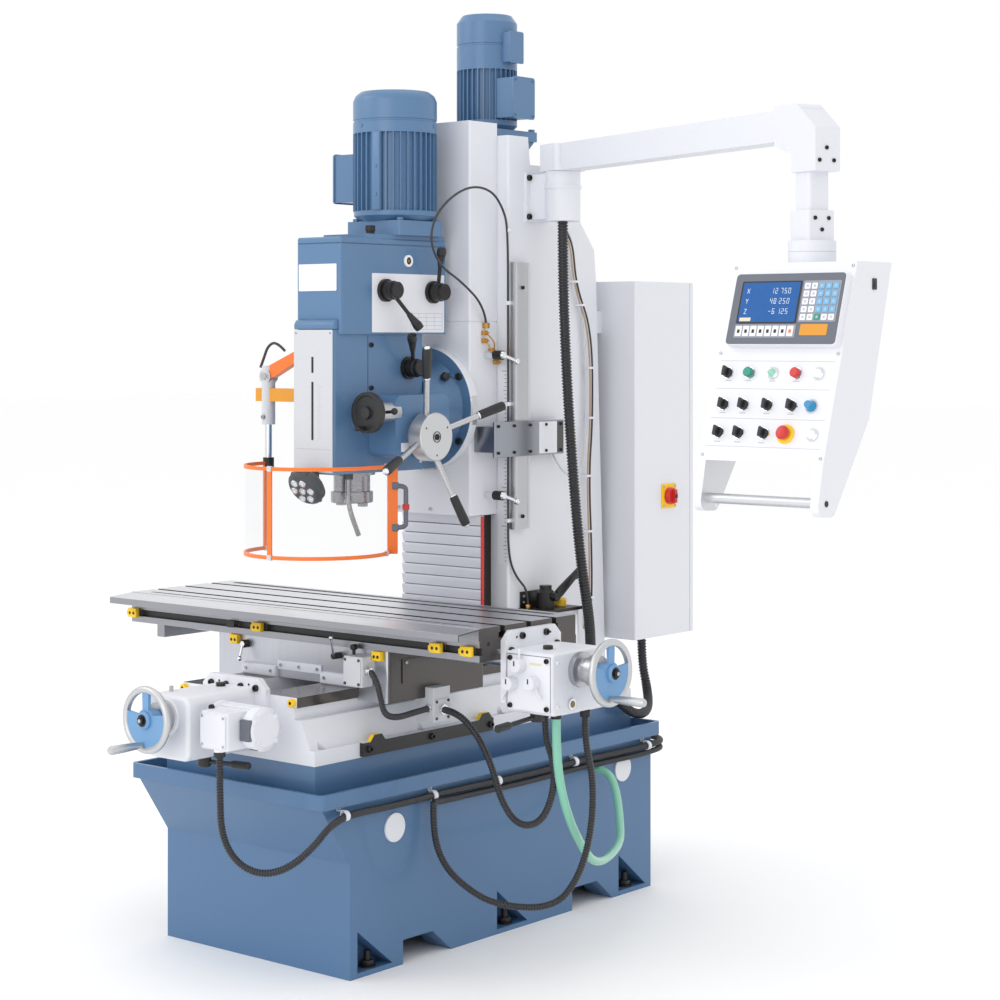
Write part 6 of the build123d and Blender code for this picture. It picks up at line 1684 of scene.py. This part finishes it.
@dataclass(frozen=True)
class HeadSlide(Assembly):
    """Head slide with its bellows, lube blocks, scale reader and clamps."""

    castings: Castings = (
        Casting("head_slide", WHITE, (Region(STEEL, x=over(133.5)),), 1.2),
        Casting("reader_bracket", BRUSHED, bevel=0.6),
        *(Casting(node, CHROME, (Region(GUNMETAL, x=(160, 192)),), 0.5)
          for node in ("clamp_lower", "clamp_upper")),
    )
    side: Face = right(133, 0, 0)
    lube_spots: Spots = ((95, 1483), (95, 1463), (123, 1438), (141, 1408))
    upper_route: Route = ((142, 95, 1483), (152, 108, 1470), (152, 122, 1450), (145, 123, 1438))
    lower_route: Route = ((142, 95, 1463), (156, 100, 1440), (156, 128, 1420), (145, 141, 1408))
    reader: Face = right(200, 0, 1211)
    pieces: Pieces = (
        piece(
            "slide_details", "head_slide", "bright_steel",
            lube_blocks=Block(side, BRASS, (-7, -6, 0), (7, 6, 9), 1, spots=lube_spots),
            lube_nuts=Hexagon(side, BRASS, (5, 9, 15), spots=lube_spots),
            lube_stubs=Rod(side, BRASS, (2.5, 14, 20), 14, spots=lube_spots),
            lube_inlet=Block(right(133, 100, 1502), BRASS, (-8, -7, 0), (8, 7, 12), 1),
            upper_pipe=Pipe(FLOOR, BRASS, upper_route, 1.8, 10),
            lower_pipe=Pipe(FLOOR, BRASS, lower_route, 1.8, 10),
            reader_screws=Screw(reader, GUNMETAL, 4, spots=grid_of((76, 140, 205, 270, 332), (-34, 34))),
            reader_plate=Plate(reader, PANEL_WHITE, (242, -41), (316, 41), 0.4, 1),
            reader_end=Plate(reader, SHADED_IRON, (316, -41), (343, 41), 0.4, 1),
            foot_screws=Screw(front(0, 42.7, 1028), BAR_STEEL, 5, spots=row_of((-110, 0, 110))),
        ),
    )
    bellows_y: float = 96.4
    bellows_foot: float = 660
    bellows_tall: float = 354.7
    bellows_half: float = 138
    backing_half: float = 134
    slats: int = 13
    slat_gap: float = 1
    slat_lip: float = 4
    slat_depths: Point = (-3, -8, -11.7)
    edge_depths: Limits = (-12.2, -4)
    edge_sides: Limits = (134, 138.6)
    edge_gap: float = 2
    bend: Route = ((0, 90, 665), (0, 90, 1010))

    def details(self) -> Pieces:
        """Gives the bellows as slats between the frame and the slide.

        Returns:
            The one piece.
        """
        pitch = self.bellows_tall / self.slats
        low, high = self.slat_gap, pitch - self.slat_gap
        rear, heel, nose = self.slat_depths
        outline = ((rear, low), (heel, low), (nose, high - self.slat_lip), (nose, high), (rear, high))
        place = (self.bellows_y, self.bellows_foot)
        half = self.backing_half
        edge_low, edge_high = zip(self.edge_depths, (self.edge_gap, self.bellows_tall - self.edge_gap),
                                  self.edge_sides)
        parts = (
            Block(front(0, *place), DARK_PLASTIC, (-half, 0, 0), (half, self.bellows_tall, 4), 0.5),
            Prism(right(-self.bellows_half, *place), SLAT, outline, 0, 2 * self.bellows_half, 0.5,
                  spots=grid_of((0,), steps_of(self.slats, pitch))),
            Block(right(0, *place), RED, edge_low, edge_high, 0.4),
        )
        bodies = ("frame", "head_slide")
        return (Piece("bellows_slats", bodies, "bellows_rubber", parts, "bellows", self.bend),)


@dataclass(frozen=True)
class Head(Assembly):
    """Head with its plates, sight glass, levers, capstan, quill and work lamp."""

    castings: Castings = (
        Casting("head", BLUE, (
            Region(WHITE, y=over(15), axis=1, centre=(0, 0, 1289), reach=over(154)),
            Region(TOOL_STEEL, y=over(38)),
            Region(TOOL_STEEL, z=below(1137)),
            Region(CAST_BRIGHT, x=over(155.5), y=over(-240)),
            Region(CAST_BRIGHT, x=over(80), y=below(-262.5), z=over(1250)),
        ), 1.5),
        *(Casting(node, GUNMETAL, bevel=0.6)
          for node in ("gear_lever_left", "gear_lever_right", "range_lever")),
        *(Casting(node, TOOL_STEEL, bevel=0.6) for node in ("quill", "spindle")),
        Casting("capstan", BAR_STEEL, (
            Region(BLACK, axis=0, centre=(0, -173, 1227), reach=over(148)),
            Region(CAST_BRIGHT, axis=0, centre=(0, -173, 1227), reach=below(61)),
        ), 0.6),
        Casting("fine_wheel", BLACK, bevel=0.6),
        Casting("work_lamp", BLACK, bevel=1),
    )
    nose: Face = front(0, -389, 0)
    cap_outline: Profile = ((-389, 1491), (-389, 1504), (-383, 1513), (-371, 1517), (-371, 1491))
    chart: Face = right(76.5, 0, 0)
    sight: Face = right(76.5, -130, 1663)
    sight_rim: Profile = ((9, 0), (9, 3), (10, 5), (14, 5), (15.5, 3), (15.5, 0))
    panel: Face = right(67.5, 0, 0)
    filler_cap: Profile = ((0, 22), (11, 22), (13, 20), (13, 8), (11, 7), (11, 0), (0, 0))
    knob: Face = front(92, 20.4, 1372)
    drain: Face = under(130, -143, 1176)
    fine_lever: Route = ((140, -300, 1289), (162, -300, 1290), (182, -300, 1292))
    hose: Route = (
        (-150, -338, 1438), (-178, -340, 1462), (-204, -344, 1450), (-212, -350, 1420), (-222, -352, 1396),
    )
    knuckle: Face = front(-206.9, -353, 1374)
    lamp: Face = Face((10, -422, 1110), (1, 0, 0), (0, -0.6, 0.8))
    lamp_case: Profile = ((0, 18), (39, 18), (46, 12), (48, 8), (48, -9), (38, -18), (0, -18))
    lenses: Spots = ((0, 0), *ring_of(27, range(0, 360, 60)))
    lens_rim: Profile = ((6.5, 18), (6.5, 21), (9, 21), (10, 18))
    pieces: Pieces = (
        piece(
            "bare_plates", "head", "white_paint",
            speed_plate=Plate(front(0, -372, 1618), PANEL_WHITE, (-66, -33), (62, 33), 1.2, 2),
            nose_plate=Plate(nose, GREY, (-65, 1142), (65, 1490), 2, 2),
            nose_line=Plate(nose, INK, (-60, 1198), (60, 1200), 0.2, 0.3, 2),
            upper_slot=Plate(nose, GUNMETAL, (-5, 1385), (2, 1424), 0.3, 1, 2),
            lower_slot=Plate(nose, GUNMETAL, (-5, 1221), (2, 1363), 0.3, 1, 2),
            nose_cap=Prism(right(0, 0, 0), BLUE, cap_outline, -67.5, 67.5, 2.5),
            long_marks=Plate(nose, INK, (0, -0.5), (16, 0.5), 0.2, 0.3, 2,
                             spots=grid_of((16,), range(1226, 1352, 25))),
            short_marks=Plate(nose, INK, (0, -0.5), (9, 0.5), 0.2, 0.3, 2,
                              spots=grid_of((16,), [z for z in range(1231, 1357, 5) if z % 25 != 1])),
            nose_screws=Screw(nose, BAR_STEEL, 2.5, 3.5, spots=grid_of((-58, 58), (1150, 1482))),
            chart_sheet=Plate(chart, PANEL_WHITE, (-262, 1484), (8, 1630), 0.25, 2),
            chart_rows=Plate(chart, INK, (-120, -0.5), (0, 0.5), 0.1, 0.3, 0.25,
                             spots=grid_of((0,), range(1492, 1533, 10))),
            chart_columns=Plate(chart, INK, (-0.5, 1492), (0.5, 1532), 0.1, 0.3, 0.25,
                                spots=row_of(range(-120, 1, 30))),
            feed_plate=Plate(right(155, -228, 1202), PANEL_WHITE, (-14, -11), (14, 11), 0.8, 1.5),
        ),
        piece(
            "head_fittings", "head", "bright_steel",
            sight_rim=Turned(sight, MILK, sight_rim),
            sight_ring=Rod(sight, GUNMETAL, (9.5, 0, 2.5)),
            sight_glass=Rod(sight, GLASS, (4, 2.5, 3)),
            panel_screws=Screw(panel, GUNMETAL, 6, spots=((-256, 1453), (-256, 1347))),
            panel_seam=Plate(panel, GUNMETAL, (-268, 1336), (-266.5, 1476), 0.3, 0.3),
            filler=Turned(top(50, -240, 1727), GUNMETAL, filler_cap, 12),
            plunger_boss=Rod(knob, BLUE, (11, 0, 6)),
            plunger_bar=Rod(knob, BAR_STEEL, (5, 6, 20)),
            plunger_knob=Ball(knob, BLACK, 11.5, 28),
            drain_nut=Hexagon(drain, BAR_STEEL, (8, 0, 7)),
            drain_stub=Rod(drain, BAR_STEEL, (4, 7, 16), 16),
            fine_bar=Pipe(FLOOR, GUNMETAL, fine_lever, 4),
            fine_ball=Ball(right(186, -300, 1292.5), BLACK, 8.5),
            swivel_bolts=Hexagon(front(0, 20.4, 1289), GUNMETAL, (10, 0, 8),
                                 spots=ring_of(144, (35, 145, 215, 325))),
            foot_plug=Rod(under(52, -322, 1138), GUNMETAL, (13, 0, 14)),
            motor_bolts=Hexagon(top(0, 0, 1764), BLUE, (9, 0, 8), spots=grid_of((-75, 75), (-158, -30))),
            lamp_hose=Pipe(FLOOR, RUBBER, hose, 3.5),
            knuckle_body=Rod(knuckle, CAST_BRIGHT, (19, -30, 0)),
            knuckle_pin=Rod(knuckle, BAR_STEEL, (9, 0, 6)),
            arm_screw=Screw(front(-206.9, -356, 1272), BAR_STEEL, 6),
        ),
        piece(
            "round_lamp", "head", "black_plastic", node="work_lamp",
            case=Turned(lamp, BLACK, lamp_case, 40),
            ribs=Ball(lamp, BLACK, 6, 2, spots=ring_of(45, range(0, 360, 30))),
            rims=Turned(lamp, CHROME, lens_rim, 24, spots=lenses),
            lenses=Rod(lamp, LED, (6.6, 17.5, 19.5), 20, spots=lenses),
            bracket=Block(front(10, -389, 1108), GUNMETAL, (-10, 0, 0), (10, 44, 28), 1.5),
        ),
    )
    levers: tuple[tuple[str, float, Spot, Spot], ...] = (
        ("gear_lever_left", 76.5, (-215, 1588), (-152, 1503)),
        ("gear_lever_right", 76.5, (-38, 1586), (-60, 1682)),
        ("range_lever", 67.5, (-120, 1395), (-160, 1466)),
    )
    lever_gap: float = 0.3
    lever_cap: Profile = (
        (0, 46), (19, 46), (21, 44), (21, 33), (23.5, 31), (23.5, 14), (21, 13), (21, 10), (28.5, 9),
        (28.5, 0), (0, 0),
    )
    lever_root: float = 18.3
    lever_tip: float = 50.3
    lever_grip: Profile = ((0, -4), (6.5, -4), (7.5, 4), (12.5, 34), (11, 43), (0, 45))
    grip_back: float = 30
    capstan_hub: Face = right(211.3, -173, 1227)
    capstan_ring: Profile = ((12, 0), (12, 0.8), (14, 0.8), (14, 0))
    bar_root: Spot = (188.3, 42)
    bar_tip: Spot = (243.3, 232)
    bar_degrees: Numbers = (18.5, 108.5, 198.5, 288.5)
    bar_end: Profile = ((0, 4), (5, 4), (8, 2), (8.5, -2), (0, -2))

    def details(self) -> Pieces:
        """Gives the caps of the gear levers and the ends of the capstan's bars."""
        return (*(self.lever(*row) for row in self.levers), self.capstan())

    def lever(self, body: str, wall: float, hub: Spot, knob: Spot) -> Piece:
        """Makes the stepped cap and the tapered knob of a gear lever.

        Args:
            body: The lever's body.
            wall: Where the wall that it stands on is in X.
            hub: Its axis in Y and Z.
            knob: Middle of its knob in Y and Z.

        Returns:
            The piece.
        """
        root = Vector((wall + self.lever_root, *hub))
        tip = Vector((wall + self.lever_tip, *knob))
        along = (tip - root).normalized()
        return piece(
            body + "_cap", body, "black_plastic",
            cap=Turned(right(wall + self.lever_gap, *hub), GUNMETAL, self.lever_cap, 40),
            knob=Turned(Face.along(tip - along * self.grip_back, along), BLACK, self.lever_grip),
        )

    def capstan(self) -> Piece:
        """Makes the capstan's centre screw and the bright ends of its bars.

        Returns:
            The piece.
        """
        ends = []
        hub = Vector((0, *self.capstan_hub.origin[1:]))
        for y, z in ring_of(1, self.bar_degrees):
            places = (self.bar_root, self.bar_tip)
            root, tip = (hub + Vector((x, reach * y, reach * z)) for x, reach in places)
            end = Face.along(tip, (tip - root).normalized())
            ends += (Turned(end, CHROME, self.bar_end, 24), Rod(end, CHROME, (9.5, -84, -78), 24))
        return piece(
            "capstan_ends", "capstan", "chrome", *ends,
            ring=Turned(self.capstan_hub, GUNMETAL, self.capstan_ring, 36),
            centre_screw=Screw(self.capstan_hub, GUNMETAL, 8, 2.5),
            pins=Rod(self.capstan_hub, GUNMETAL, (2.5, 0, 0.4), 14, spots=ring_of(45, (30, 150, 270))),
        )


@dataclass(frozen=True)
class ChipGuard(Assembly):
    """Chip guard on its arm: orange hoops and bars, clear sheet, post and handle."""

    castings: Castings = (
        Casting("guard_arm", ORANGE, (
            Region(AMBER, z=(1310, 1345), centre=(-206.9, -338.9, 0), reach=over(18)),
            Region(GREY, x=below(-185), z=below(1399), centre=(-206.9, -338.9, 0), reach=below(17.6)),
        ), 1),
    )
    centre: Spot = (-30, -346)
    radius: float = 177
    whole: Spot = (177.7, 222)
    levels: Limits = (943, 1156)
    sheet_sides: Limits = (-1.2, 0.8)
    rim_sides: Limits = (-2.5, 2.5)
    rim_half: float = 4.5
    uprights: Spots = ((272.5, 4.2), (177.7, 5.5))
    upright_sides: Limits = (-2, 2.5)
    clamps: Spots = ((272.6, 4), (386, 4), (178, 4))
    clamp_sides: Limits = (-4, 4)
    clamp_half: float = 6.5
    flange_sides: Limits = (-4, 22)
    flange_half: float = 3
    post_top: float = 1330
    collar: Bar = (14, 1136, 1170)
    handle_reach: Limits = (16, 42)
    handle_levels: Numbers = (1003, 1022, 1054, 1087, 1106)
    foot_sides: Limits = (8, 24)
    mark_z: float = 1046

    def arc(self, sides: Limits, levels: Limits, span: Spot, finish: Finish) -> Arc:
        """Makes a bar that runs round the guard's axis.

        Args:
            sides: Its inner and outer side, from the guard's radius.
            levels: Its lower and upper height.
            span: Angle where it starts, in degrees from +X, and the angle that it covers.
            finish: Its finish.

        Returns:
            The bar.
        """
        start, sweep = span
        x, y = ring_of(1, (start,))[0]
        near, far = (self.radius + side for side in sides)
        return Arc(Face((*self.centre, 0), (x, y, 0), (-y, x, 0)), finish, (near, levels[0]),
                   (far, levels[1]), sweep)

    def hoops(self, sides: Limits, half: float, span: Spot, finish: Finish) -> Parts:
        """Makes two bars round the guard's axis, one at its foot and one at its top.

        Args:
            sides: Their inner and outer side, from the guard's radius.
            half: Half their height.
            span: Angle where they start and the angle that they cover.
            finish: Their finish.

        Returns:
            The bars.
        """
        return tuple(self.arc(sides, (z - half, z + half), span, finish) for z in self.levels)

    def spot(self, degree: float, radius: float) -> Spot:
        """Gives the place at an angle and radius round the guard's axis."""
        x, y = ring_of(radius, (degree,))[0]
        return self.centre[0] + x, self.centre[1] + y

    def details(self) -> Pieces:
        """Gives the rims, the sheet, and the post with the handle.

        Returns:
            The three pieces.
        """
        low, high = self.levels
        end = sum(self.whole)
        flange = Face((*self.centre, 0), (*ring_of(1, (end,))[0], 0), (0, 0, 1))
        near, far = (self.radius + side for side in self.flange_sides)
        rims = (
            *self.hoops(self.rim_sides, self.rim_half, self.whole, ORANGE),
            *(self.arc(self.upright_sides, self.levels, span, ORANGE) for span in self.uprights),
            Block(flange, ORANGE, (near, low - self.rim_half, -self.flange_half),
                  (far, high + self.rim_half, self.flange_half)),
            *(bar for span in self.clamps
              for bar in self.hoops(self.clamp_sides, self.clamp_half, span, GREY)),
        )
        post = top(*self.spot(self.whole[0], self.radius), 0)
        foot, *_, head = self.handle_levels
        root, grip = (self.spot(end, self.radius + reach) for reach in self.handle_reach)
        route = ((*root, foot), *((*grip, z) for z in self.handle_levels), (*root, head))
        near, far = (self.radius + side for side in self.foot_sides)
        return (
            piece("guard_rims", "guard", "orange_paint", *rims, node="guard"),
            piece("guard_sheet", "guard", "clear_sheet", node="guard",
                  sheet=self.arc(self.sheet_sides, self.levels, self.whole, SHEET)),
            piece(
                "guard_post_and_handle", "guard", "chrome", node="guard",
                post=Rod(post, CHROME, (9, low, self.post_top)),
                collar=Rod(post, GUNMETAL, self.collar),
                grip=Pipe(FLOOR, DARK_PLASTIC, route, 6),
                feet=Block(flange, DARK_PLASTIC, (near, -9, -6), (far, 9, 6), 2,
                           spots=grid_of((0,), (foot, head))),
                mark=Block(top(*grip, self.mark_z), RED, (-6.8, -6.8, 0), (6.8, 6.8, 15), 2),
            ),
        )


@dataclass(frozen=True)
class Motors(Assembly):
    """The two upright motors with cowl screws, terminal lids and plates."""

    castings: Castings = (
        Casting("main_motor", BLUE, bevel=0.6),
        Casting("z_motor", BLUE, bevel=0.6),
    )
    cowl_screws: Parts = tuple(
        Rod(Face((0, -94, 2004), (-y, x, 0), (0, 0, 1)), BLUE, (5, 106, 108.5), 18)
        for x, y in ring_of(1, (20, 140, 260))
    )
    z_lid: Face = right(122.5, 269, 2101)
    pieces: Pieces = (
        piece(
            "main_motor_details", "head", "blue_paint", *cowl_screws,
            rib_screws=Rod(front(30, -196, 0), BLUE, (4.5, 2, 5), 18, spots=((0, 1830), (0, 1900))),
            rib=Block(front(30, -196, 1790), BLUE, (-12, 0, -8), (12, 196, 3), 1.5),
            terminal_lid=Plate(left(-172.5, -94, 1879), BLUE, (-43, -64), (43, 64), 5, 8),
        ),
        piece(
            "z_motor_details", "frame", "blue_paint",
            terminal_lid=Plate(z_lid, BLUE, (-45, -55), (45, 55), 5, 8),
            bare_plate=Plate(right(98.5, 269, 2236), BLUE, (-29, -42), (29, 42), 4, 6),
            lid_screws=Screw(z_lid, BLUE, 4, 7, spots=corners_of(36, 46)),
            foot_bolts=Hexagon(top(0, 0, 2018), BLUE, (9, 0, 8), spots=grid_of((-82, 82), (184, 356))),
        ),
    )


@dataclass(frozen=True)
class Pendant(Assembly):
    """Swing arm and pendant: readout, lamps, buttons, rings and lines of its panel."""

    SEGMENTS: ClassVar[dict[str, str]] = {
        "0": "abcdef", "1": "bc", "2": "abged", "3": "abgcd", "4": "fgbc", "5": "afgcd", "6": "afgedc",
        "7": "abc", "8": "abcdefg", "9": "abcdfg", "-": "g",
    }
    LETTERS: ClassVar[dict[str, tuple[Line, ...]]] = {
        "x": ((-3, -5, 3, 5), (-3, 5, 3, -5)),
        "y": ((-3, 5, 0, 0), (3, 5, 0, 0), (0, 0, 0, -5)),
        "z": ((-3, 5, 3, 5), (3, 5, -3, -5), (-3, -5, 3, -5)),
    }
    castings: Castings = (
        Casting("arm", WHITE, bevel=2.5),
        Casting("pendant", PANEL_WHITE, (
            Region(ALUMINIUM, z=below(1150), axis=0, centre=(0, -331.5, 1128), reach=below(11.6)),
            Region(WHITE, z=over(1632.5)),
        ), 2),
        Casting("estop", RED, bevel=0.6),
        Casting("start_button", GREEN, bevel=0.5),
        Casting("stop_button", RED, bevel=0.5),
        Casting("speed_pot", POT_BLUE, bevel=0.5),
        *(Casting(f"selector_{k}", BLACK, bevel=0.4) for k in range(1, 9)),
    )
    panel: Face = Face((1260.8, -206.5, 1632), (1, 0, 0), (0, 0.30902, 0.95106))
    lamp_rim: Profile = ((9, 0), (9, 5), (13, 4), (14, 0))
    lamp_lens: Profile = ((0, 9), (5, 8.5), (9, 6), (10, 2), (0, 0))
    white_lamps: Spots = ((108, -249), (118, -382))
    green_lamps: Spots = ((-5, -249),)
    ring: Profile = ((11.6, 0), (11.6, 2.5), (13.2, 2.5), (14.5, 0))
    ring_spots: Spots = (
        (-119, -249), (-115, -320), (-64, -320), (-4, -320), (56, -320), (-115, -382), (-64, -382),
        (-1, -382), (-63, -249), (54, -249),
    )
    stop_plate: Profile = ((9.5, 0), (9.5, 4), (19, 4), (21, 2.5), (21, 0))
    pot_dial: Profile = ((12.3, 0), (12.3, 0.3), (16, 0.3), (16, 0))
    caption_spots: Spots = (
        *grid_of((-115, -64, -4, 56), (-266, -338)), *row_of((-115, -64, -4), -402),
    )
    socket: Face = right(1416.3, -138.7, 1584.7)
    pieces: Pieces = (
        piece(
            "panel_fittings", "pendant", "pendant_paint",
            lamp_rims=Turned(panel, CHROME, lamp_rim, 32, spots=green_lamps + white_lamps),
            green_lens=Turned(panel, PALE_GREEN, lamp_lens, 28, spots=green_lamps),
            white_lenses=Turned(panel, MILK, lamp_lens, 28, spots=white_lamps),
            rings=Turned(panel, CHROME, ring, 32, spots=ring_spots),
            stop_plate=Turned(panel, YELLOW, stop_plate, 44, spots=((53, -382),)),
            pot_dial=Turned(panel, GREY, pot_dial, 40, spots=((104, -320),)),
            lines=Plate(panel, INK, (-143, -0.5), (143, 0.5), 0.2, 0.3,
                        spots=grid_of((0,), (-222, -284, -350, -412))),
            screws=Screw(panel, BAR_STEEL, 3.5, 2.5, spots=grid_of((-147, 147), (-10, -205, -432))),
            captions=Plate(panel, INK, (-8, -0.9), (8, 0.9), 0.2, 0.5, spots=caption_spots),
            socket_lid=Plate(socket, BLACK, (-8, -12), (8, 12), 2.5, 2),
            socket_mark=Plate(socket, GUNMETAL, (-4, -7), (4, 5), 0.6, 1, 2.5),
            right_handle_end=Rod(right(1416.3, -331.5, 1128), GUNMETAL, (6.5, 0, 2), 24),
            left_handle_end=Rod(left(1105.3, -331.5, 1128), GUNMETAL, (6.5, 0, 2), 24),
        ),
    )
    soft_keys: Numbers = steps_of(8, 18.5, -102.5)
    key_columns: Numbers = steps_of(5, 17.4, 53)
    key_rows: Numbers = steps_of(5, -17.4, -69)
    white_keys: Spots = (*grid_of(key_columns[:2], key_rows), *grid_of(key_columns[3:], key_rows[4:]))
    blue_keys: Spots = grid_of(key_columns[2:], key_rows[:4])
    green_key: Spots = grid_of(key_columns[2:3], key_rows[4:])
    rows: tuple[tuple[str, str], ...] = (("x", "12.750"), ("y", "48.250"), ("z", "-6.125"))
    row_heights: Numbers = steps_of(3, -23, -72)
    letter_x: float = -87
    number_end: float = 14
    sign_pitch: float = 9.5
    point_pitch: float = 4
    point_back: float = 2
    sign_wide: float = 4.8
    sign_tall: float = 5.6
    stroke_half: float = 0.4
    stroke_thick: float = 0.25
    stroke_corner: float = 0.2
    stroke_lift: float = 23.6
    hanger: Spot = (1260.8, -135.5)
    arm_degrees: float = -21.7
    arm_screws: tuple[tuple[float, Spots], ...] = (
        (56, ((-3, 1879), (-22, 1852), (16, 1852))), (35, ((-18, 1729), (18, 1729), (0, 1704))),
    )

    def details(self) -> Pieces:
        """Gives the readout's face and the screws of the arm.

        Returns:
            The two pieces.
        """
        panel = self.panel
        marks = [mark for k in range(len(self.rows)) for mark in self.row_marks(k)]
        readout = piece(
            "readout_face", "pendant", "black_plastic", *marks,
            bezel=Plate(panel, DARK_PLASTIC, (-124, -191), (148, -33), 1, 8, 22),
            screen_rim=Plate(panel, GUNMETAL, (-106, -145), (45, -50), 0.5, 3, 23),
            screen=Plate(panel, SCREEN, (-102, -142), (41, -53), 0.2, 2, 23.4),
            label=Plate(panel, LABEL, (-98, -140), (-70, -132), 0.2, 1, 23.5),
            soft_key_plate=Plate(panel, KEY_GREY, (-106, -177), (47, -147.5), 0.6, 3, 23),
            soft_keys=Plate(panel, PANEL_WHITE, (0, -174), (15.5, -151), 1.2, 2, 23.6,
                            spots=row_of(self.soft_keys)),
            soft_key_marks=Plate(panel, GUNMETAL, (4.5, -167), (11, -159), 0.2, 1, 24.8,
                                 spots=row_of(self.soft_keys[:-1])),
            last_key_mark=Plate(panel, ORANGE, (4.5, -167), (11, -159), 0.2, 1, 24.8,
                                spots=row_of(self.soft_keys[-1:])),
            key_plate=Plate(panel, KEY_GREY, (49, -142), (141, -50), 0.5, 3, 23),
            white_keys=Plate(panel, PANEL_WHITE, (0, 0), (14, 13.5), 1.2, 2.5, 23.5, spots=self.white_keys),
            blue_keys=Plate(panel, KEY_BLUE, (0, 0), (14, 13.5), 1.2, 2.5, 23.5, spots=self.blue_keys),
            green_key=Plate(panel, GREEN, (0, 0), (14, 13.5), 1.2, 2.5, 23.5, spots=self.green_key),
            key_marks=Plate(panel, INK, (4.5, 4), (9.5, 9.5), 0.2, 1, 24.7,
                            spots=grid_of(self.key_columns, self.key_rows)),
            amber_key=Plate(panel, AMBER, (58, -172), (125, -147), 0.8, 3, 23),
        )
        x, y = ring_of(1, (self.arm_degrees,))[0]
        screws = []
        for reach, spots in self.arm_screws:
            end = Face((self.hanger[0] + reach * x, self.hanger[1] + reach * y, 0), (-y, x, 0), (0, 0, 1))
            screws.append(Screw(end, GUNMETAL, 4.5, 3, spots=spots))
        return readout, piece("arm_screws", "arm", "bright_steel", *screws)

    def row_marks(self, row: int) -> list[Part]:
        """Makes the marks of one row of the readout: its letter and its number.

        Args:
            row: Which row.

        Returns:
            The marks.
        """
        letter, number = self.rows[row]
        height = self.row_heights[row]
        marks = [self.stroke(line, (self.letter_x, height)) for line in self.LETTERS[letter]]
        across = self.number_end
        for sign in reversed(number):
            marks += self.sign(sign, (across, height))
            across -= self.point_pitch if sign == "." else self.sign_pitch
        return marks

    def sign(self, sign: str, place: Spot) -> list[Part]:
        """Makes one sign of a number on the readout.

        Args:
            sign: A digit, a minus sign or a point.
            place: Its place across and up the panel.

        Returns:
            The sign's marks.
        """
        wide, tall = self.sign_wide, self.sign_tall
        if sign == ".":
            half = 2 * self.stroke_half
            point = (place[0] - self.point_back, place[1] - tall)
            return [Plate(self.panel, DIGIT, (-half, -half), (half, half), self.stroke_thick,
                          self.stroke_corner, self.stroke_lift, spots=(point,))]
        lines = {"a": (0, tall, wide, tall), "b": (wide, 0, wide, tall), "c": (wide, -tall, wide, 0),
                 "d": (0, -tall, wide, -tall), "e": (0, -tall, 0, 0), "f": (0, 0, 0, tall),
                 "g": (0, 0, wide, 0)}
        return [self.stroke(lines[name], place) for name in self.SEGMENTS[sign]]

    def stroke(self, line: Line, place: Spot) -> Plate:
        """Makes a thin straight mark on the readout.

        Args:
            line: Its two ends, across and up from its place.
            place: That place on the panel.

        Returns:
            The mark.
        """
        zero = Vector((*place, 0))
        start = Vector((*line[:2], 0))
        end = Vector((*line[2:], 0))
        along = (end - start).normalized()
        side = Vector((-along.y, along.x, 0))
        whole = self.panel.matrix()
        turn = whole.to_3x3()
        face = Face(tuple(whole @ (zero + start)), tuple(turn @ along), tuple(turn @ side))
        half = self.stroke_half
        return Plate(face, DIGIT, (-half, -half), ((end - start).length + half, half), self.stroke_thick,
                     self.stroke_corner, self.stroke_lift)


@dataclass(frozen=True)
class Cabinet(Assembly):
    """Electrical cabinet with its door and main switch."""

    castings: Castings = (
        Casting("cabinet", WHITE, (
            Region(YELLOW, x=over(264.5), y=(694, 762)),
            Region(ALUMINIUM, y=(589, 592), side=below(235)),
        ), 1.5),
        Casting("cabinet_door", WHITE, (Region(GUNMETAL, y=over(851)),), 1.5),
        Casting("main_switch", RED, bevel=0.6),
    )
    disc: Profile = ((0, 14), (21, 14), (23, 11), (23, 0), (0, 0))
    pieces: Pieces = (
        piece(
            "switch_screws", "frame", "bright_steel",
            screws=Screw(right(268, 728, 1037), BAR_STEEL, 3.5, 2, spots=corners_of(26, 26)),
        ),
        piece(
            "main_switch_disc", "main_switch", "red_plastic",
            disc=Turned(right(268.2, 728, 1037), RED, disc, 40),
            hub_mark=Rod(right(292.3, 728, 1037), GUNMETAL, (6, -0.5, 0.4), 24),
        ),
    )


def main() -> None:
    """Builds the studio, the cords and every sub-assembly."""
    logging.basicConfig(level=logging.INFO, format="%(message)s")
    Studio().build()
    for cord in CORDS:
        cord.build()
    kinds = (Base, Bed, Saddle, Table, Handwheels, Column, HeadSlide, Head, ChipGuard, Motors, Pendant,
             Cabinet)
    for kind in kinds:
        kind().build()


if __name__ == "__main__":
    main()
